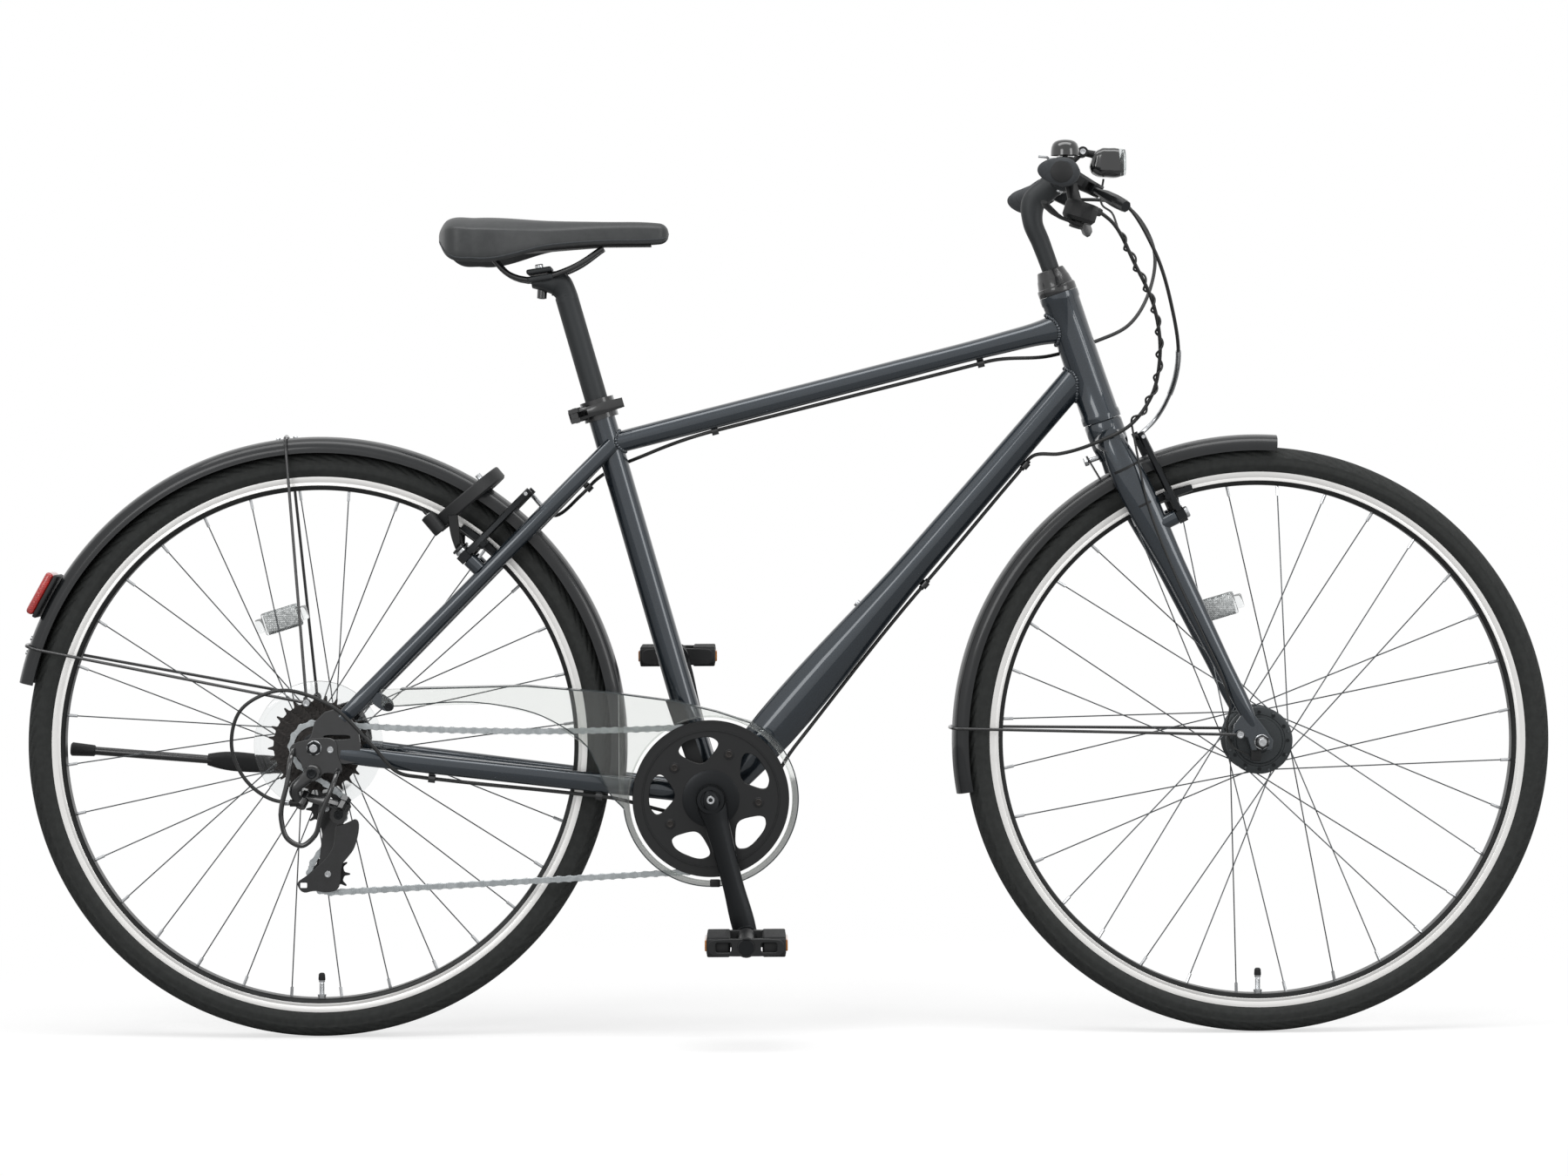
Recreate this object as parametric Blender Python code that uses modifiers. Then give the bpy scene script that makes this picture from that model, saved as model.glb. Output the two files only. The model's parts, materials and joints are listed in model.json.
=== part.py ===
"""City bicycle: derailleur gears, linear-pull brakes, mudguards, ring lock and side stand.

Metres, +X forward, +Y to the rider's left, +Z up. Places along X are counted from the rear
axle and places along Z from the ground, and at() turns them into the world, whose origin
lies on the ground under the middle of the bicycle.
"""

import math

import bmesh
import bpy
from mathutils import Matrix, Vector

# Clearances
GAP = 0.0003
RUNNING_GAP = 0.0004
FLAT_ANGLE = math.radians(0.3)
SMOOTH_ANGLE = math.radians(35)

# Stance
TYRE_RADIUS = 0.346
WHEELBASE = 1.109
CHAIN_STAY = 0.467
BRACKET_DROP = 0.0632
HEAD_ANGLE = math.radians(71.3)
SEAT_ANGLE = math.radians(74.1)
FORK_RAKE = 0.050

# Wheels
TYRE_WIDTH = 0.035
TYRE_HEIGHT = 0.029
RIM_DEPTH = 0.016
RIM_FLOOR_DEPTH = 0.0080
BEAD_LIFT = 0.0008
RIM_RADIUS = TYRE_RADIUS - TYRE_HEIGHT
RIM_INNER_RADIUS = RIM_RADIUS - RIM_DEPTH
RIM_FLOOR_RADIUS = RIM_RADIUS - RIM_FLOOR_DEPTH
TYRE_BEAD_RADIUS = RIM_FLOOR_RADIUS + BEAD_LIFT
RIM_WIDTH = 0.024
RIM_WALL = 0.0017
WHEEL_FACETS = 28
SPOKES = 32
SPOKE_RADIUS = 0.0010
SPOKE_CROSSINGS = 3
VALVE_LENGTH = 0.030

# Hubs and axles
FRONT_SPACING = 0.100
REAR_SPACING = 0.130
AXLE_RADIUS = 0.0048
NUT_RADIUS = 0.0088
NUT_LENGTH = 0.0080
FRONT_FLANGE_RADIUS = 0.0395
FRONT_FLANGE_OFFSET = 0.0270
REAR_FLANGE_RADIUS = 0.0225
REAR_FLANGE_LEFT = 0.0350
REAR_FLANGE_RIGHT = -0.0185
FLANGE_THICKNESS = 0.0046
SPOKE_OFFSET = 0.0012
PROTECTOR_RADIUS = 0.076
FREEWHEEL_SEAT = 0.0110

# Drive
PITCH = 0.0127
CHAINRING_TEETH = 42
FREEWHEEL_TEETH = (14, 16, 18, 20, 22, 24, 28)
PULLEY_TEETH = 11
COG_SPACING = 0.0050
SPROCKET_THICKNESS = 0.0019
CHAIN_LINE = -0.0460
SMALL_COG_LINE = -0.0593
CHAIN_HALF_WIDTH = 0.0033
CHAIN_HALF_GAP = 0.0015
CHAIN_PIN_HEIGHT = 0.0040
CHAIN_WAIST_HEIGHT = 0.0028
CHAIN_PIN_HALF_LENGTH = 0.0029
CHAIN_SAG = 0.008
RUN_IN = 0.12
CRANK_LENGTH = 0.165
CRANK_TURN = math.radians(-75.6)
GUARD_RADIUS = 0.092
GUARD_LINE = -0.0530
WINDOW_TURN = math.radians(-1)
BRACKET_SHELL_WIDTH = 0.068
BRACKET_SHELL_RADIUS = 0.0205
BRACKET_BORE = 0.0172
SPINDLE_RADIUS = 0.0085
PEDAL_PIN_RADIUS = 0.0045

# Frame tubes
HEAD_TUBE_LENGTH = 0.159
HEAD_TUBE_START = 0.416
HEAD_TUBE_RADIUS = 0.0225
STEERER_RADIUS = 0.0143
QUILL_RADIUS = 0.0111
SEAT_TUBE_LENGTH = 0.483
SEAT_TUBE_RADIUS = 0.0159
SEAT_POST_RADIUS = 0.0136
SEAT_POST_TOP = 0.6160
SEAT_POST_DEPTH = 0.150
DROPOUT_THICKNESS = 0.0060

# Handlebar
BAR_RADIUS = 0.0111
BAR_HALF_WIDTH = 0.290
BAR_STRAIGHT = 0.036
BAR_CLAMP_RADIUS = 0.0127
BAR_CLAMP_HALF = 0.030
BAR_CENTRE = (0.8840, 1.0140)
BAR_END = (0.8630, 1.0000)

# Mudguards
REAR_GUARD_GAP = 0.0180
REAR_GUARD_RADIUS = TYRE_RADIUS + REAR_GUARD_GAP
REAR_GUARD_END = math.radians(168)
REAR_GUARD_START = math.radians(-8)
FRONT_GUARD_GAP = 0.0150
FRONT_GUARD_RADIUS = TYRE_RADIUS + FRONT_GUARD_GAP
FRONT_GUARD_START = math.radians(86)
FRONT_GUARD_END = math.radians(190)
GUARD_WIDTH = 0.046
GUARD_DEPTH = 0.0135
GUARD_SHEET = 0.0014
WIRE_RADIUS = 0.0018

# Brakes
BRAKE_BOSS_SPREAD = 0.040
BRAKE_ARM_LENGTH = 0.108
BRAKE_PAD_DEPTH = 0.0090
BRAKE_PAD_RADIUS = RIM_RADIUS - BRAKE_PAD_DEPTH
BRAKE_PAD_SETBACK = -0.0050
BRAKE_PAD_GAP = 0.0020

# Frame in detail
FACETS = ((0.45, 1.0), (0.92, 0.45), (1.0, -0.12), (0.80, -0.62), (0.40, -1.0))
EYELET_BORE = 0.0034
EYELET_WALL = 0.0016
EYELET_LENGTH = 0.0080
EYELET_FOOT = 0.0055
REAR_BOSS_REACH = 0.0120
ARM_THICKNESS = 0.0110
RELEASE_Y = 0.0215

# Fork in detail
FRONT_BOSS_REACH = 0.0100
CROWN_TOP = HEAD_TUBE_START - GAP

# Handlebar and controls in detail
LEVER_PIVOT_Y = 0.1500
LEVER_PIVOT_REACH = 0.0400
BELL_Y = -0.1020
LAMP = (0.9335, 1.0255, -0.046)

# Seat in detail
SADDLE_RAIL_SPREAD = 0.0215
BASE_DROP = 0.0032

# Cables in detail
CABLE_RADIUS = 0.0022
INNER_WIRE_RADIUS = 0.0009
LEAD_RADIUS = 0.0013
WINDING_RADIUS = 0.00400
WINDING_TURNS = 9

# Drive in detail
CRANK_BOSS_RADIUS = 0.0165
PEDAL_LINE = 0.1360
CRANK_SECTION = ((-0.5, -0.5), (0.5, -0.5), (0.5, 0.1), (0.22, 0.42), (0, 0.5), (-0.22, 0.42), (-0.5, 0.1))

# Chain case in detail
CASE_THICKNESS = 0.0016
CASE_ARM_THICKNESS = 0.0015
CASE_FRONT_LINE = -0.0548
CASE_TAIL_LINE = -0.0675
CASE_TAB_THICKNESS = 0.0030
CASE_FOLD = 0.3610
CASE_TAIL = 0.0780
CASE_TOP = ((0.078, 0.414), (0.246, 0.417), (0.3475, 0.408), (0.419, 0.398), (0.470, 0.3855), (0.510, 0.372))

# Derailleur in detail
LINK_LENGTH = 0.0478
KNUCKLE_LINE = -0.0860
SWING_HALF = math.radians(21.7)
PLATE_INNER = -(REAR_SPACING / 2 + DROPOUT_THICKNESS + GAP)
HANGER_THICKNESS = 0.0030
CAGE_OUTER = -0.0662
CAGE_INNER = -0.0524
CAGE_SHEET = 0.0015
CAGE_PIN_END = -0.0735

# Stand and lock in detail
STAND_TILT = math.radians(12)
STAND_LENGTH = 0.2900
STAND_PLATE = 0.0040
LOCK_RADIUS = 0.0505
LOCK_GAP_HALF = math.radians(40)

# Derived places
REAR_X = -(WHEELBASE + TYRE_RADIUS + REAR_GUARD_RADIUS * math.cos(REAR_GUARD_END)) / 2
BRACKET_X = math.sqrt(CHAIN_STAY**2 - BRACKET_DROP**2)
BRACKET_Z = TYRE_RADIUS - BRACKET_DROP
STEER_UP = Vector((-math.cos(HEAD_ANGLE), 0, math.sin(HEAD_ANGLE)))
STEER_AHEAD = Vector((math.sin(HEAD_ANGLE), 0, math.cos(HEAD_ANGLE)))
SEAT_UP = Vector((-math.cos(SEAT_ANGLE), 0, math.sin(SEAT_ANGLE)))
SEAT_AHEAD = Vector((math.sin(SEAT_ANGLE), 0, math.cos(SEAT_ANGLE)))
LEFT = Vector((0, 1, 0))
RIGHT = Vector((0, -1, 0))

FINISHES = {
    "paint": ((0.024, 0.033, 0.042), 0.6, 0.25),
    "black_plastic": ((0.018, 0.018, 0.019), 0.0, 0.55),
    "black_metal": ((0.020, 0.020, 0.022), 0.7, 0.40),
    "grey_alloy": ((0.045, 0.046, 0.048), 0.6, 0.45),
    "steel": ((0.45, 0.46, 0.47), 1.0, 0.30),
    "rim": ((0.55, 0.55, 0.55), 1.0, 0.30),
    "rubber": ((0.020, 0.020, 0.019), 0.0, 0.80),
    "vinyl": ((0.055, 0.056, 0.056), 0.0, 0.60),
    "clear": ((0.70, 0.72, 0.70), 0.0, 0.10),
    "red": ((0.60, 0.01, 0.01), 0.0, 0.20),
}


def at(x, z, y=0.0):
    """World place of x from the rear axle and z from the ground."""
    return Vector((REAR_X + x, y, z))


REAR_AXLE = at(0, TYRE_RADIUS)
FRONT_AXLE = at(WHEELBASE, TYRE_RADIUS)
BRACKET = at(BRACKET_X, BRACKET_Z)
STEER_BASE = FRONT_AXLE - STEER_AHEAD * FORK_RAKE


def on_steerer(up, ahead=0.0, y=0.0):
    """World place along the steering axis, from the foot of the axle's perpendicular."""
    return STEER_BASE + STEER_UP * up + STEER_AHEAD * ahead + LEFT * y


def on_seat_tube(up, ahead=0.0, y=0.0):
    """World place along the seat tube, from the bottom bracket."""
    return BRACKET + SEAT_UP * up + SEAT_AHEAD * ahead + LEFT * y


def mirrored(place):
    """The same place on the other side of the bicycle."""
    return Vector((place.x, -place.y, place.z))


# Places and directions of the pieces
DOWN_TUBE_LOW = at(BRACKET_X + 0.0063, BRACKET_Z)
DOWN_TUBE_HIGH = on_steerer(0.4813)
DOWN_TUBE_DIRECTION = (DOWN_TUBE_HIGH - DOWN_TUBE_LOW).normalized()
DOWN_TUBE_ABOVE = DOWN_TUBE_DIRECTION.cross(LEFT)
TOP_TUBE_REAR = on_seat_tube(0.4325)
TOP_TUBE_FRONT = on_steerer(0.5353)
TOP_TUBE_DIRECTION = (TOP_TUBE_FRONT - TOP_TUBE_REAR).normalized()
TOP_TUBE_ABOVE = TOP_TUBE_DIRECTION.cross(LEFT)
STAY_LINE = (at(0.337, 0.688), at(0.0426, 0.390))
STAY_UP = (STAY_LINE[0] - STAY_LINE[1]).normalized()
STAY_OUT = Vector((-STAY_UP.z, 0, STAY_UP.x))
DOWN_TUBE_CLIPS = [
    DOWN_TUBE_LOW + DOWN_TUBE_DIRECTION * along - DOWN_TUBE_ABOVE * below
    for along, below in ((0.535, 0.0215), (0.350, 0.0235))
]
TOP_TUBE_CLIPS = [
    TOP_TUBE_REAR + TOP_TUBE_DIRECTION * along - TOP_TUBE_ABOVE * below
    for along, below in ((0.450, 0.0170), (0.125, 0.0155))
]
CHAIN_STAY_CLIPS = [at(0.331, 0.2850, -0.0363), at(0.136, 0.3085, -0.0570)]
SEAT_STAY_CLIP = at(0.318, 0.6480, 0.0335)
REAR_BOSS = at(0.188, 0.5565)
FRONT_BOSS = at(1.0030, 0.6060)
BLADE_LINE = (at(0.9386, 0.6960), at(1.0990, 0.3655))
BLADE_UP = (BLADE_LINE[0] - BLADE_LINE[1]).normalized()
BLADE_OUT = Vector((BLADE_UP.z, 0, -BLADE_UP.x))
LEVER_REACH = Vector((0.87, 0, -0.493)).normalized()
POD_CENTRE = Vector((0.0180, 0.187, -0.0450))
POD_AXIS = Vector((-0.30, 0, -0.954)).normalized()
SADDLE_RAIL = [at(0.2050, 0.9240), at(0.2330, 0.8945), at(0.2985, 0.9045), at(0.3380, 0.9310)]
CABLE_ANCHOR = at(-0.0140, 0.2825, -0.0800)
CAGE_PIVOT = at(0.0280, 0.2680, SMALL_COG_LINE)
GUIDE_PLACE = at(0.0135, 0.2740, SMALL_COG_LINE)
TENSION_PLACE = at(0.0171, 0.1979, SMALL_COG_LINE)
SWING_LEVEL = Vector((0.900, 0, -0.436)).normalized()
SWING_SLANT = Vector((-0.244, 0.829, -0.504)).normalized()
SWING_AXIS = SWING_LEVEL.cross(SWING_SLANT).normalized()
LINK_DIRECTION = SWING_LEVEL * math.cos(SWING_HALF) - SWING_SLANT * math.sin(SWING_HALF)
KNUCKLE_JOINT = at(0.0330, 0.2790, KNUCKLE_LINE)
BASE_JOINT = KNUCKLE_JOINT - LINK_DIRECTION * LINK_LENGTH
STAND_PIVOT = at(-0.0200, 0.3120, 0.0855)
STAND_AXIS = Vector((0, -math.cos(STAND_TILT), -math.sin(STAND_TILT)))
LOCK_CENTRE = at(0.1710, 0.6300)
LOCK_UP = Vector((0.764, 0, 0.645)).normalized()
LOCK_OUT = Vector((-LOCK_UP.z, 0, LOCK_UP.x))


# Modelling tools


def link(mesh, name="shape"):
    """An object that shows this mesh on the bench collection."""
    obj = bpy.data.objects.new(name, mesh)
    bench().objects.link(obj)
    return obj


def bench():
    """The collection in which shapes are made before they become parts."""
    if "bench" not in bpy.data.collections:
        bpy.context.scene.collection.children.link(bpy.data.collections.new("bench"))
    return bpy.data.collections["bench"]


def from_bmesh(work, name="shape"):
    """An object from a bmesh, with its faces turned outwards."""
    bmesh.ops.recalc_face_normals(work, faces=work.faces)
    mesh = bpy.data.meshes.new(name)
    work.to_mesh(mesh)
    work.free()
    return link(mesh, name)


def made_mesh(obj):
    """The object as a plain mesh in world space, with its curve caps welded on."""
    bpy.context.view_layer.update()
    graph = bpy.context.evaluated_depsgraph_get()
    mesh = bpy.data.meshes.new_from_object(obj.evaluated_get(graph))
    work = bmesh.new()
    work.from_mesh(mesh)
    bmesh.ops.transform(work, matrix=obj.matrix_world, verts=work.verts)
    bmesh.ops.remove_doubles(work, verts=work.verts, dist=1e-6)
    bpy.data.objects.remove(obj)
    return from_bmesh(work)


def placed(obj, place, axis=None):
    """Moves an object to a place and turns its +Z along an axis."""
    obj.location = place
    if axis is not None:
        obj.rotation_euler = Vector(axis).to_track_quat("Z", "Y").to_euler()
    return made_mesh(obj)


def rod(start, end, radius, end_radius=None, sides=6):
    """A straight round bar, or a cone, between two places."""
    start = Vector(start)
    end = Vector(end)
    work = bmesh.new()
    bmesh.ops.create_cone(
        work,
        cap_ends=True,
        segments=sides,
        radius1=radius,
        radius2=radius if end_radius is None else end_radius,
        depth=(end - start).length,
    )
    return placed(from_bmesh(work), (start + end) / 2, end - start)


def clear(radius, sides, gap=GAP):
    """Radius of a faceted bore that clears a round of this radius at every turn."""
    return (radius + gap) / math.cos(math.pi / sides)


def box(size, centre, axis=None, chamfer=0.0):
    """A block whose third side lies along an axis, with its edges bevelled."""
    work = bmesh.new()
    bmesh.ops.create_cube(work, size=1)
    bmesh.ops.scale(work, vec=size, verts=work.verts)
    if chamfer:
        bmesh.ops.bevel(work, geom=work.edges[:], offset=chamfer, segments=1, affect="EDGES")
    return placed(from_bmesh(work), centre, axis)


def wire(points, radius, sides=8, radii=None):
    """A round wire or tube through its points, a curve with a bevel and filled caps."""
    curve = bpy.data.curves.new("wire", "CURVE")
    curve.dimensions = "3D"
    curve.bevel_depth = radius
    curve.bevel_resolution = (sides - 4) // 2
    curve.use_fill_caps = True
    spline = curve.splines.new("POLY")
    spline.points.add(len(points) - 1)
    for index, place in enumerate(points):
        spline.points[index].co = (*place, 1)
        spline.points[index].radius = 1 if radii is None else radii[index]
    obj = bpy.data.objects.new("wire", curve)
    bench().objects.link(obj)
    return made_mesh(obj)


def smooth(points, parts=4):
    """Places along a smooth curve through the given places, ends included."""
    points = [Vector(p) for p in points]
    spans = [(b - a).length for a, b in zip(points, points[1:])]
    slopes = [(b - a) / span for a, b, span in zip(points, points[1:], spans)]
    turns = [slopes[0]]
    for index in range(1, len(slopes)):
        before, after = spans[index - 1], spans[index]
        turns.append((slopes[index - 1] * after + slopes[index] * before) / (before + after))
    turns.append(slopes[-1])
    found = []
    for index, span in enumerate(spans):
        for step in range(parts):
            t = step / parts
            found.append(
                points[index] * (2 * t**3 - 3 * t**2 + 1)
                + turns[index] * (span * (t**3 - 2 * t**2 + t))
                + points[index + 1] * (3 * t**2 - 2 * t**3)
                + turns[index + 1] * (span * (t**3 - t**2))
            )
    return [*found, points[-1]]


def turned(profile, place, axis, facets=24, closed=False):
    """A turned shape: a profile of (radius, height) from top to bottom on a Screw modifier."""
    mesh = bpy.data.meshes.new("profile")
    count = len(profile)
    edges = [(i, i + 1) for i in range(count - 1)]
    if closed:
        edges.append((count - 1, 0))
    mesh.from_pydata([(r, 0, h) for r, h in profile], edges, [])
    obj = link(mesh)
    screw = obj.modifiers.new("turn", "SCREW")
    screw.steps = facets
    screw.render_steps = facets
    screw.use_merge_vertices = True
    screw.merge_threshold = 1e-6
    return placed(obj, place, axis)


def plate(outline, thickness, place, holes=(), across=LEFT, right=Vector((1, 0, 0))):
    """A flat plate: outlines of (right, up) places as a filled 2D curve with an extrude."""
    curve = bpy.data.curves.new("plate", "CURVE")
    curve.dimensions = "2D"
    curve.fill_mode = "BOTH"
    curve.extrude = thickness / 2
    for loop in (outline, *holes):
        spline = curve.splines.new("POLY")
        spline.points.add(len(loop) - 1)
        for index, (x, y) in enumerate(loop):
            spline.points[index].co = (x, y, 0, 1)
        spline.use_cyclic_u = True
    obj = bpy.data.objects.new("plate", curve)
    bench().objects.link(obj)
    across = -Vector(across).normalized()
    up = across.cross(right)
    turn = Matrix((right, up, across)).transposed().to_4x4()
    obj.matrix_world = Matrix.Translation(place) @ turn
    return made_mesh(obj)


def loft(rings):
    """A closed body through rings of places, each with the same number of them."""
    work = bmesh.new()
    loops = [[work.verts.new(p) for p in ring] for ring in rings]
    for low, high in zip(loops, loops[1:]):
        for index in range(len(low)):
            after = (index + 1) % len(low)
            work.faces.new((low[index], low[after], high[after], high[index]))
    work.faces.new(loops[0][::-1])
    work.faces.new(loops[-1])
    return from_bmesh(work)


def oval(place, along, side, width, height, sides=10, power=1.0):
    """A ring of places round a point: half the width to the side, half the height above."""
    along = Vector(along).normalized()
    side = Vector(side)
    above = along.cross(side).normalized()
    ring = []
    for index in range(sides):
        angle = math.tau * (index + 0.5) / sides
        c = math.cos(angle)
        s = math.sin(angle)
        c = math.copysign(abs(c) ** power, c)
        s = math.copysign(abs(s) ** power, s)
        ring.append(Vector(place) + side * (c * width / 2) + above * (s * height / 2))
    return ring


def arc(centre, radius, start, end, count):
    """Places (right, up) on an arc, angles in degrees."""
    return [
        (
            centre[0] + radius * math.cos(math.radians(start + (end - start) * i / (count - 1))),
            centre[1] + radius * math.sin(math.radians(start + (end - start) * i / (count - 1))),
        )
        for i in range(count)
    ]


def circle(centre, radius, count=12):
    """Places (right, up) round a whole circle."""
    return arc(centre, radius, 0, 360 - 360 / count, count)


def boolean(base, tools, operation):
    """Joins tools to a shape, or cuts them out of it, and clears them away."""
    for tool in tools:
        modifier = base.modifiers.new("boolean", "BOOLEAN")
        modifier.operation = operation
        modifier.object = tool
    result = made_mesh(base)
    for tool in tools:
        bpy.data.objects.remove(tool)
    return result


def join(first, *others):
    """One body of shapes that overlap."""
    return boolean(first, others, "UNION")


def cut(base, *cutters):
    """The shape without its cutters."""
    return boolean(base, cutters, "DIFFERENCE")


def finish_of(name):
    """The material of a finish: colour, metallic and roughness of a Principled surface."""
    if name in bpy.data.materials:
        return bpy.data.materials[name]
    colour, metallic, roughness = FINISHES[name]
    material = bpy.data.materials.new(name)
    material.use_nodes = True
    surface = material.node_tree.nodes["Principled BSDF"]
    surface.inputs["Base Color"].default_value = (*colour, 1)
    surface.inputs["Metallic"].default_value = metallic
    surface.inputs["Roughness"].default_value = roughness
    return material


def tidied(mesh):
    """Merges flat neighbours that booleans leave, where the mesh stays closed, and splits the rest."""
    work = bmesh.new()
    work.from_mesh(mesh)
    bmesh.ops.dissolve_limit(work, angle_limit=FLAT_ANGLE, verts=work.verts, edges=work.edges)
    bmesh.ops.triangulate(work, faces=work.faces)
    if all(len(edge.link_faces) == 2 for edge in work.edges):
        work.to_mesh(mesh)
    work.free()


def part(name, shape, finish, carrier):
    """Makes a shape a named part on the axis that carries it."""
    tidied(shape.data)
    bench().objects.unlink(shape)
    bpy.data.collections["bicycle"].objects.link(shape)
    shape.name = name
    shape.data.name = name
    shape.data.transform(Matrix.Translation(-carrier.matrix_world.translation))
    shape.parent = carrier
    shape.data.materials.append(finish_of(finish))
    shape.data.shade_smooth()
    shape.data.set_sharp_from_angle(angle=SMOOTH_ANGLE)
    return shape


def axis(name, place, parent=None):
    """An empty on a joint's axis, which carries the parts that turn or slide on it."""
    empty = bpy.data.objects.new(name, None)
    empty.empty_display_size = 0.03
    bpy.data.collections["bicycle"].objects.link(empty)
    empty.parent = parent
    empty.location = place if parent is None else place - parent.matrix_world.translation
    bpy.context.view_layer.update()
    return empty


# Wheels


def ring(profile, centre, facets=WHEEL_FACETS):
    """A wheel part turned about the axle from half a section of (radius, side)."""
    whole = [(r, -y) for r, y in profile] + [(r, y) for r, y in reversed(profile)]
    return turned(whole[::-1], centre, RIGHT, facets, closed=True)


def tyre(centre):
    """The tyre with its inner tube, its bead seated between the rim's walls."""
    bead = RIM_WIDTH / 2 - RIM_WALL - 2 * GAP
    half = TYRE_WIDTH / 2
    profile = [
        (TYRE_BEAD_RADIUS, bead),
        (RIM_RADIUS + 0.0012, bead),
        (TYRE_RADIUS - 0.0155, half),
        (TYRE_RADIUS, half - 0.0110),
    ]
    return ring(profile, centre)


def rim(centre):
    """The rim: braking walls, a channel for the tyre, and the valve standing inwards at the foot."""
    half = RIM_WIDTH / 2
    profile = [
        (RIM_INNER_RADIUS, half - 0.0015),
        (RIM_RADIUS, half),
        (RIM_RADIUS, half - RIM_WALL),
        (RIM_FLOOR_RADIUS, half - RIM_WALL),
    ]
    body = ring(profile, centre)
    foot = centre - Vector((0, 0, RIM_INNER_RADIUS - VALVE_LENGTH))
    valve = rod(foot, centre - Vector((0, 0, RIM_FLOOR_RADIUS - 0.003)), 0.0030, sides=6)
    return join(body, valve)


def spokes(centre, flange_radius, left_flange, right_flange, turn):
    """Thirty-two spokes laced over three crossings, from the flanges to the rim."""
    per_side = SPOKES // 2
    reach = math.tau * SPOKE_CROSSINGS / per_side
    outer = RIM_INNER_RADIUS * math.cos(math.pi / WHEEL_FACETS) - GAP
    found = []
    for index in range(SPOKES):
        angle = turn + math.tau * index / SPOKES
        leading = 1 if (index // 2) % 2 else -1
        flange = left_flange if index % 2 else right_flange
        hub_angle = angle + leading * reach
        hub_radius = flange_radius - 0.0035
        start = centre + Vector((hub_radius * math.cos(hub_angle), 0, hub_radius * math.sin(hub_angle)))
        start.y = flange + leading * SPOKE_OFFSET
        end = centre + Vector((outer * math.cos(angle), 0, outer * math.sin(angle)))
        end.y = math.copysign(0.0025, flange) + leading * SPOKE_OFFSET
        found.append(rod(start, end, SPOKE_RADIUS, sides=3))
    return found


def hub(profile, centre, flange_radius, left_flange, right_flange, turn):
    """A hub shell turned from its outer profile, bored for the axle, with its spokes."""
    shell = turned(profile, centre, RIGHT, 16, closed=True)
    return join(shell, *spokes(centre, flange_radius, left_flange, right_flange, turn))


def bored_profile(outline, bore):
    """The closed section of a shell: its outline of (side, radius) and a plain bore."""
    outer = [(r, side) for side, r in outline]
    return [*outer, (bore, outline[-1][0]), (bore, outline[0][0])]


def front_hub():
    """The hub dynamo: a broad drum between its two spoke flanges."""
    flange = FRONT_FLANGE_OFFSET
    half = FLANGE_THICKNESS / 2
    end = FRONT_SPACING / 2 - 0.012
    outline = [
        (end, 0.012),
        (flange + 0.006, 0.018),
        (flange + half, FRONT_FLANGE_RADIUS),
        (flange - half, FRONT_FLANGE_RADIUS),
        (flange - half - 0.001, 0.0345),
        (-flange + half + 0.001, 0.0345),
        (-flange + half, FRONT_FLANGE_RADIUS),
        (-flange - half, FRONT_FLANGE_RADIUS),
        (-flange - 0.006, 0.018),
        (-end, 0.012),
    ]
    profile = bored_profile(outline, clear(AXLE_RADIUS, 16))
    turn = math.radians(85.1)
    return hub(profile, FRONT_AXLE, FRONT_FLANGE_RADIUS, flange, -flange, turn)


def rear_hub():
    """The rear hub with the clear spoke protector behind the freewheel."""
    half = FLANGE_THICKNESS / 2
    left_end = REAR_SPACING / 2 - 0.012
    protector = REAR_FLANGE_RIGHT - 0.0060
    outline = [
        (-left_end, 0.0105),
        (-REAR_FLANGE_LEFT - half, 0.0130),
        (-REAR_FLANGE_LEFT - half, REAR_FLANGE_RADIUS),
        (-REAR_FLANGE_LEFT + half, REAR_FLANGE_RADIUS),
        (-REAR_FLANGE_LEFT + half + 0.002, 0.0150),
        (-REAR_FLANGE_RIGHT - half - 0.002, 0.0150),
        (-REAR_FLANGE_RIGHT - half, REAR_FLANGE_RADIUS),
        (-REAR_FLANGE_RIGHT + half, REAR_FLANGE_RADIUS),
        (-protector - 0.0012, 0.0180),
        (-protector - 0.0010, PROTECTOR_RADIUS),
        (-protector + 0.0008, PROTECTOR_RADIUS),
        (-protector + 0.0010, FREEWHEEL_SEAT),
        (left_end, FREEWHEEL_SEAT),
    ]
    profile = bored_profile(outline, clear(AXLE_RADIUS, 16))
    turn = math.radians(83.2)
    return hub(profile, REAR_AXLE, REAR_FLANGE_RADIUS, REAR_FLANGE_LEFT, REAR_FLANGE_RIGHT, turn)


def build_wheel(name, centre, shell, carrier):
    """One wheel: tyre, rim and hub, all on the axle."""
    part(name + "_tyre", tyre(centre), "rubber", carrier)
    part(name + "_rim", rim(centre), "rim", carrier)
    part(name + "_hub", shell(), "black_metal", carrier)


def axle(centre, spacing, left, right, beyond):
    """An axle with a cone inside and a nut outside of each dropout."""
    pieces = []
    inner = spacing / 2
    for side, outer in ((LEFT, left), (RIGHT, right)):
        pieces.append(rod(centre + side * (inner - 0.0105), centre + side * (inner - GAP), 0.0085, sides=6))
        pieces.append(rod(centre + side * outer, centre + side * (outer + NUT_LENGTH), NUT_RADIUS, sides=6))
    start = centre + LEFT * (left + NUT_LENGTH + beyond)
    end = centre + RIGHT * (right + NUT_LENGTH + beyond)
    return join(rod(start, end, AXLE_RADIUS, sides=6), *pieces)


# Frame


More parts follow.
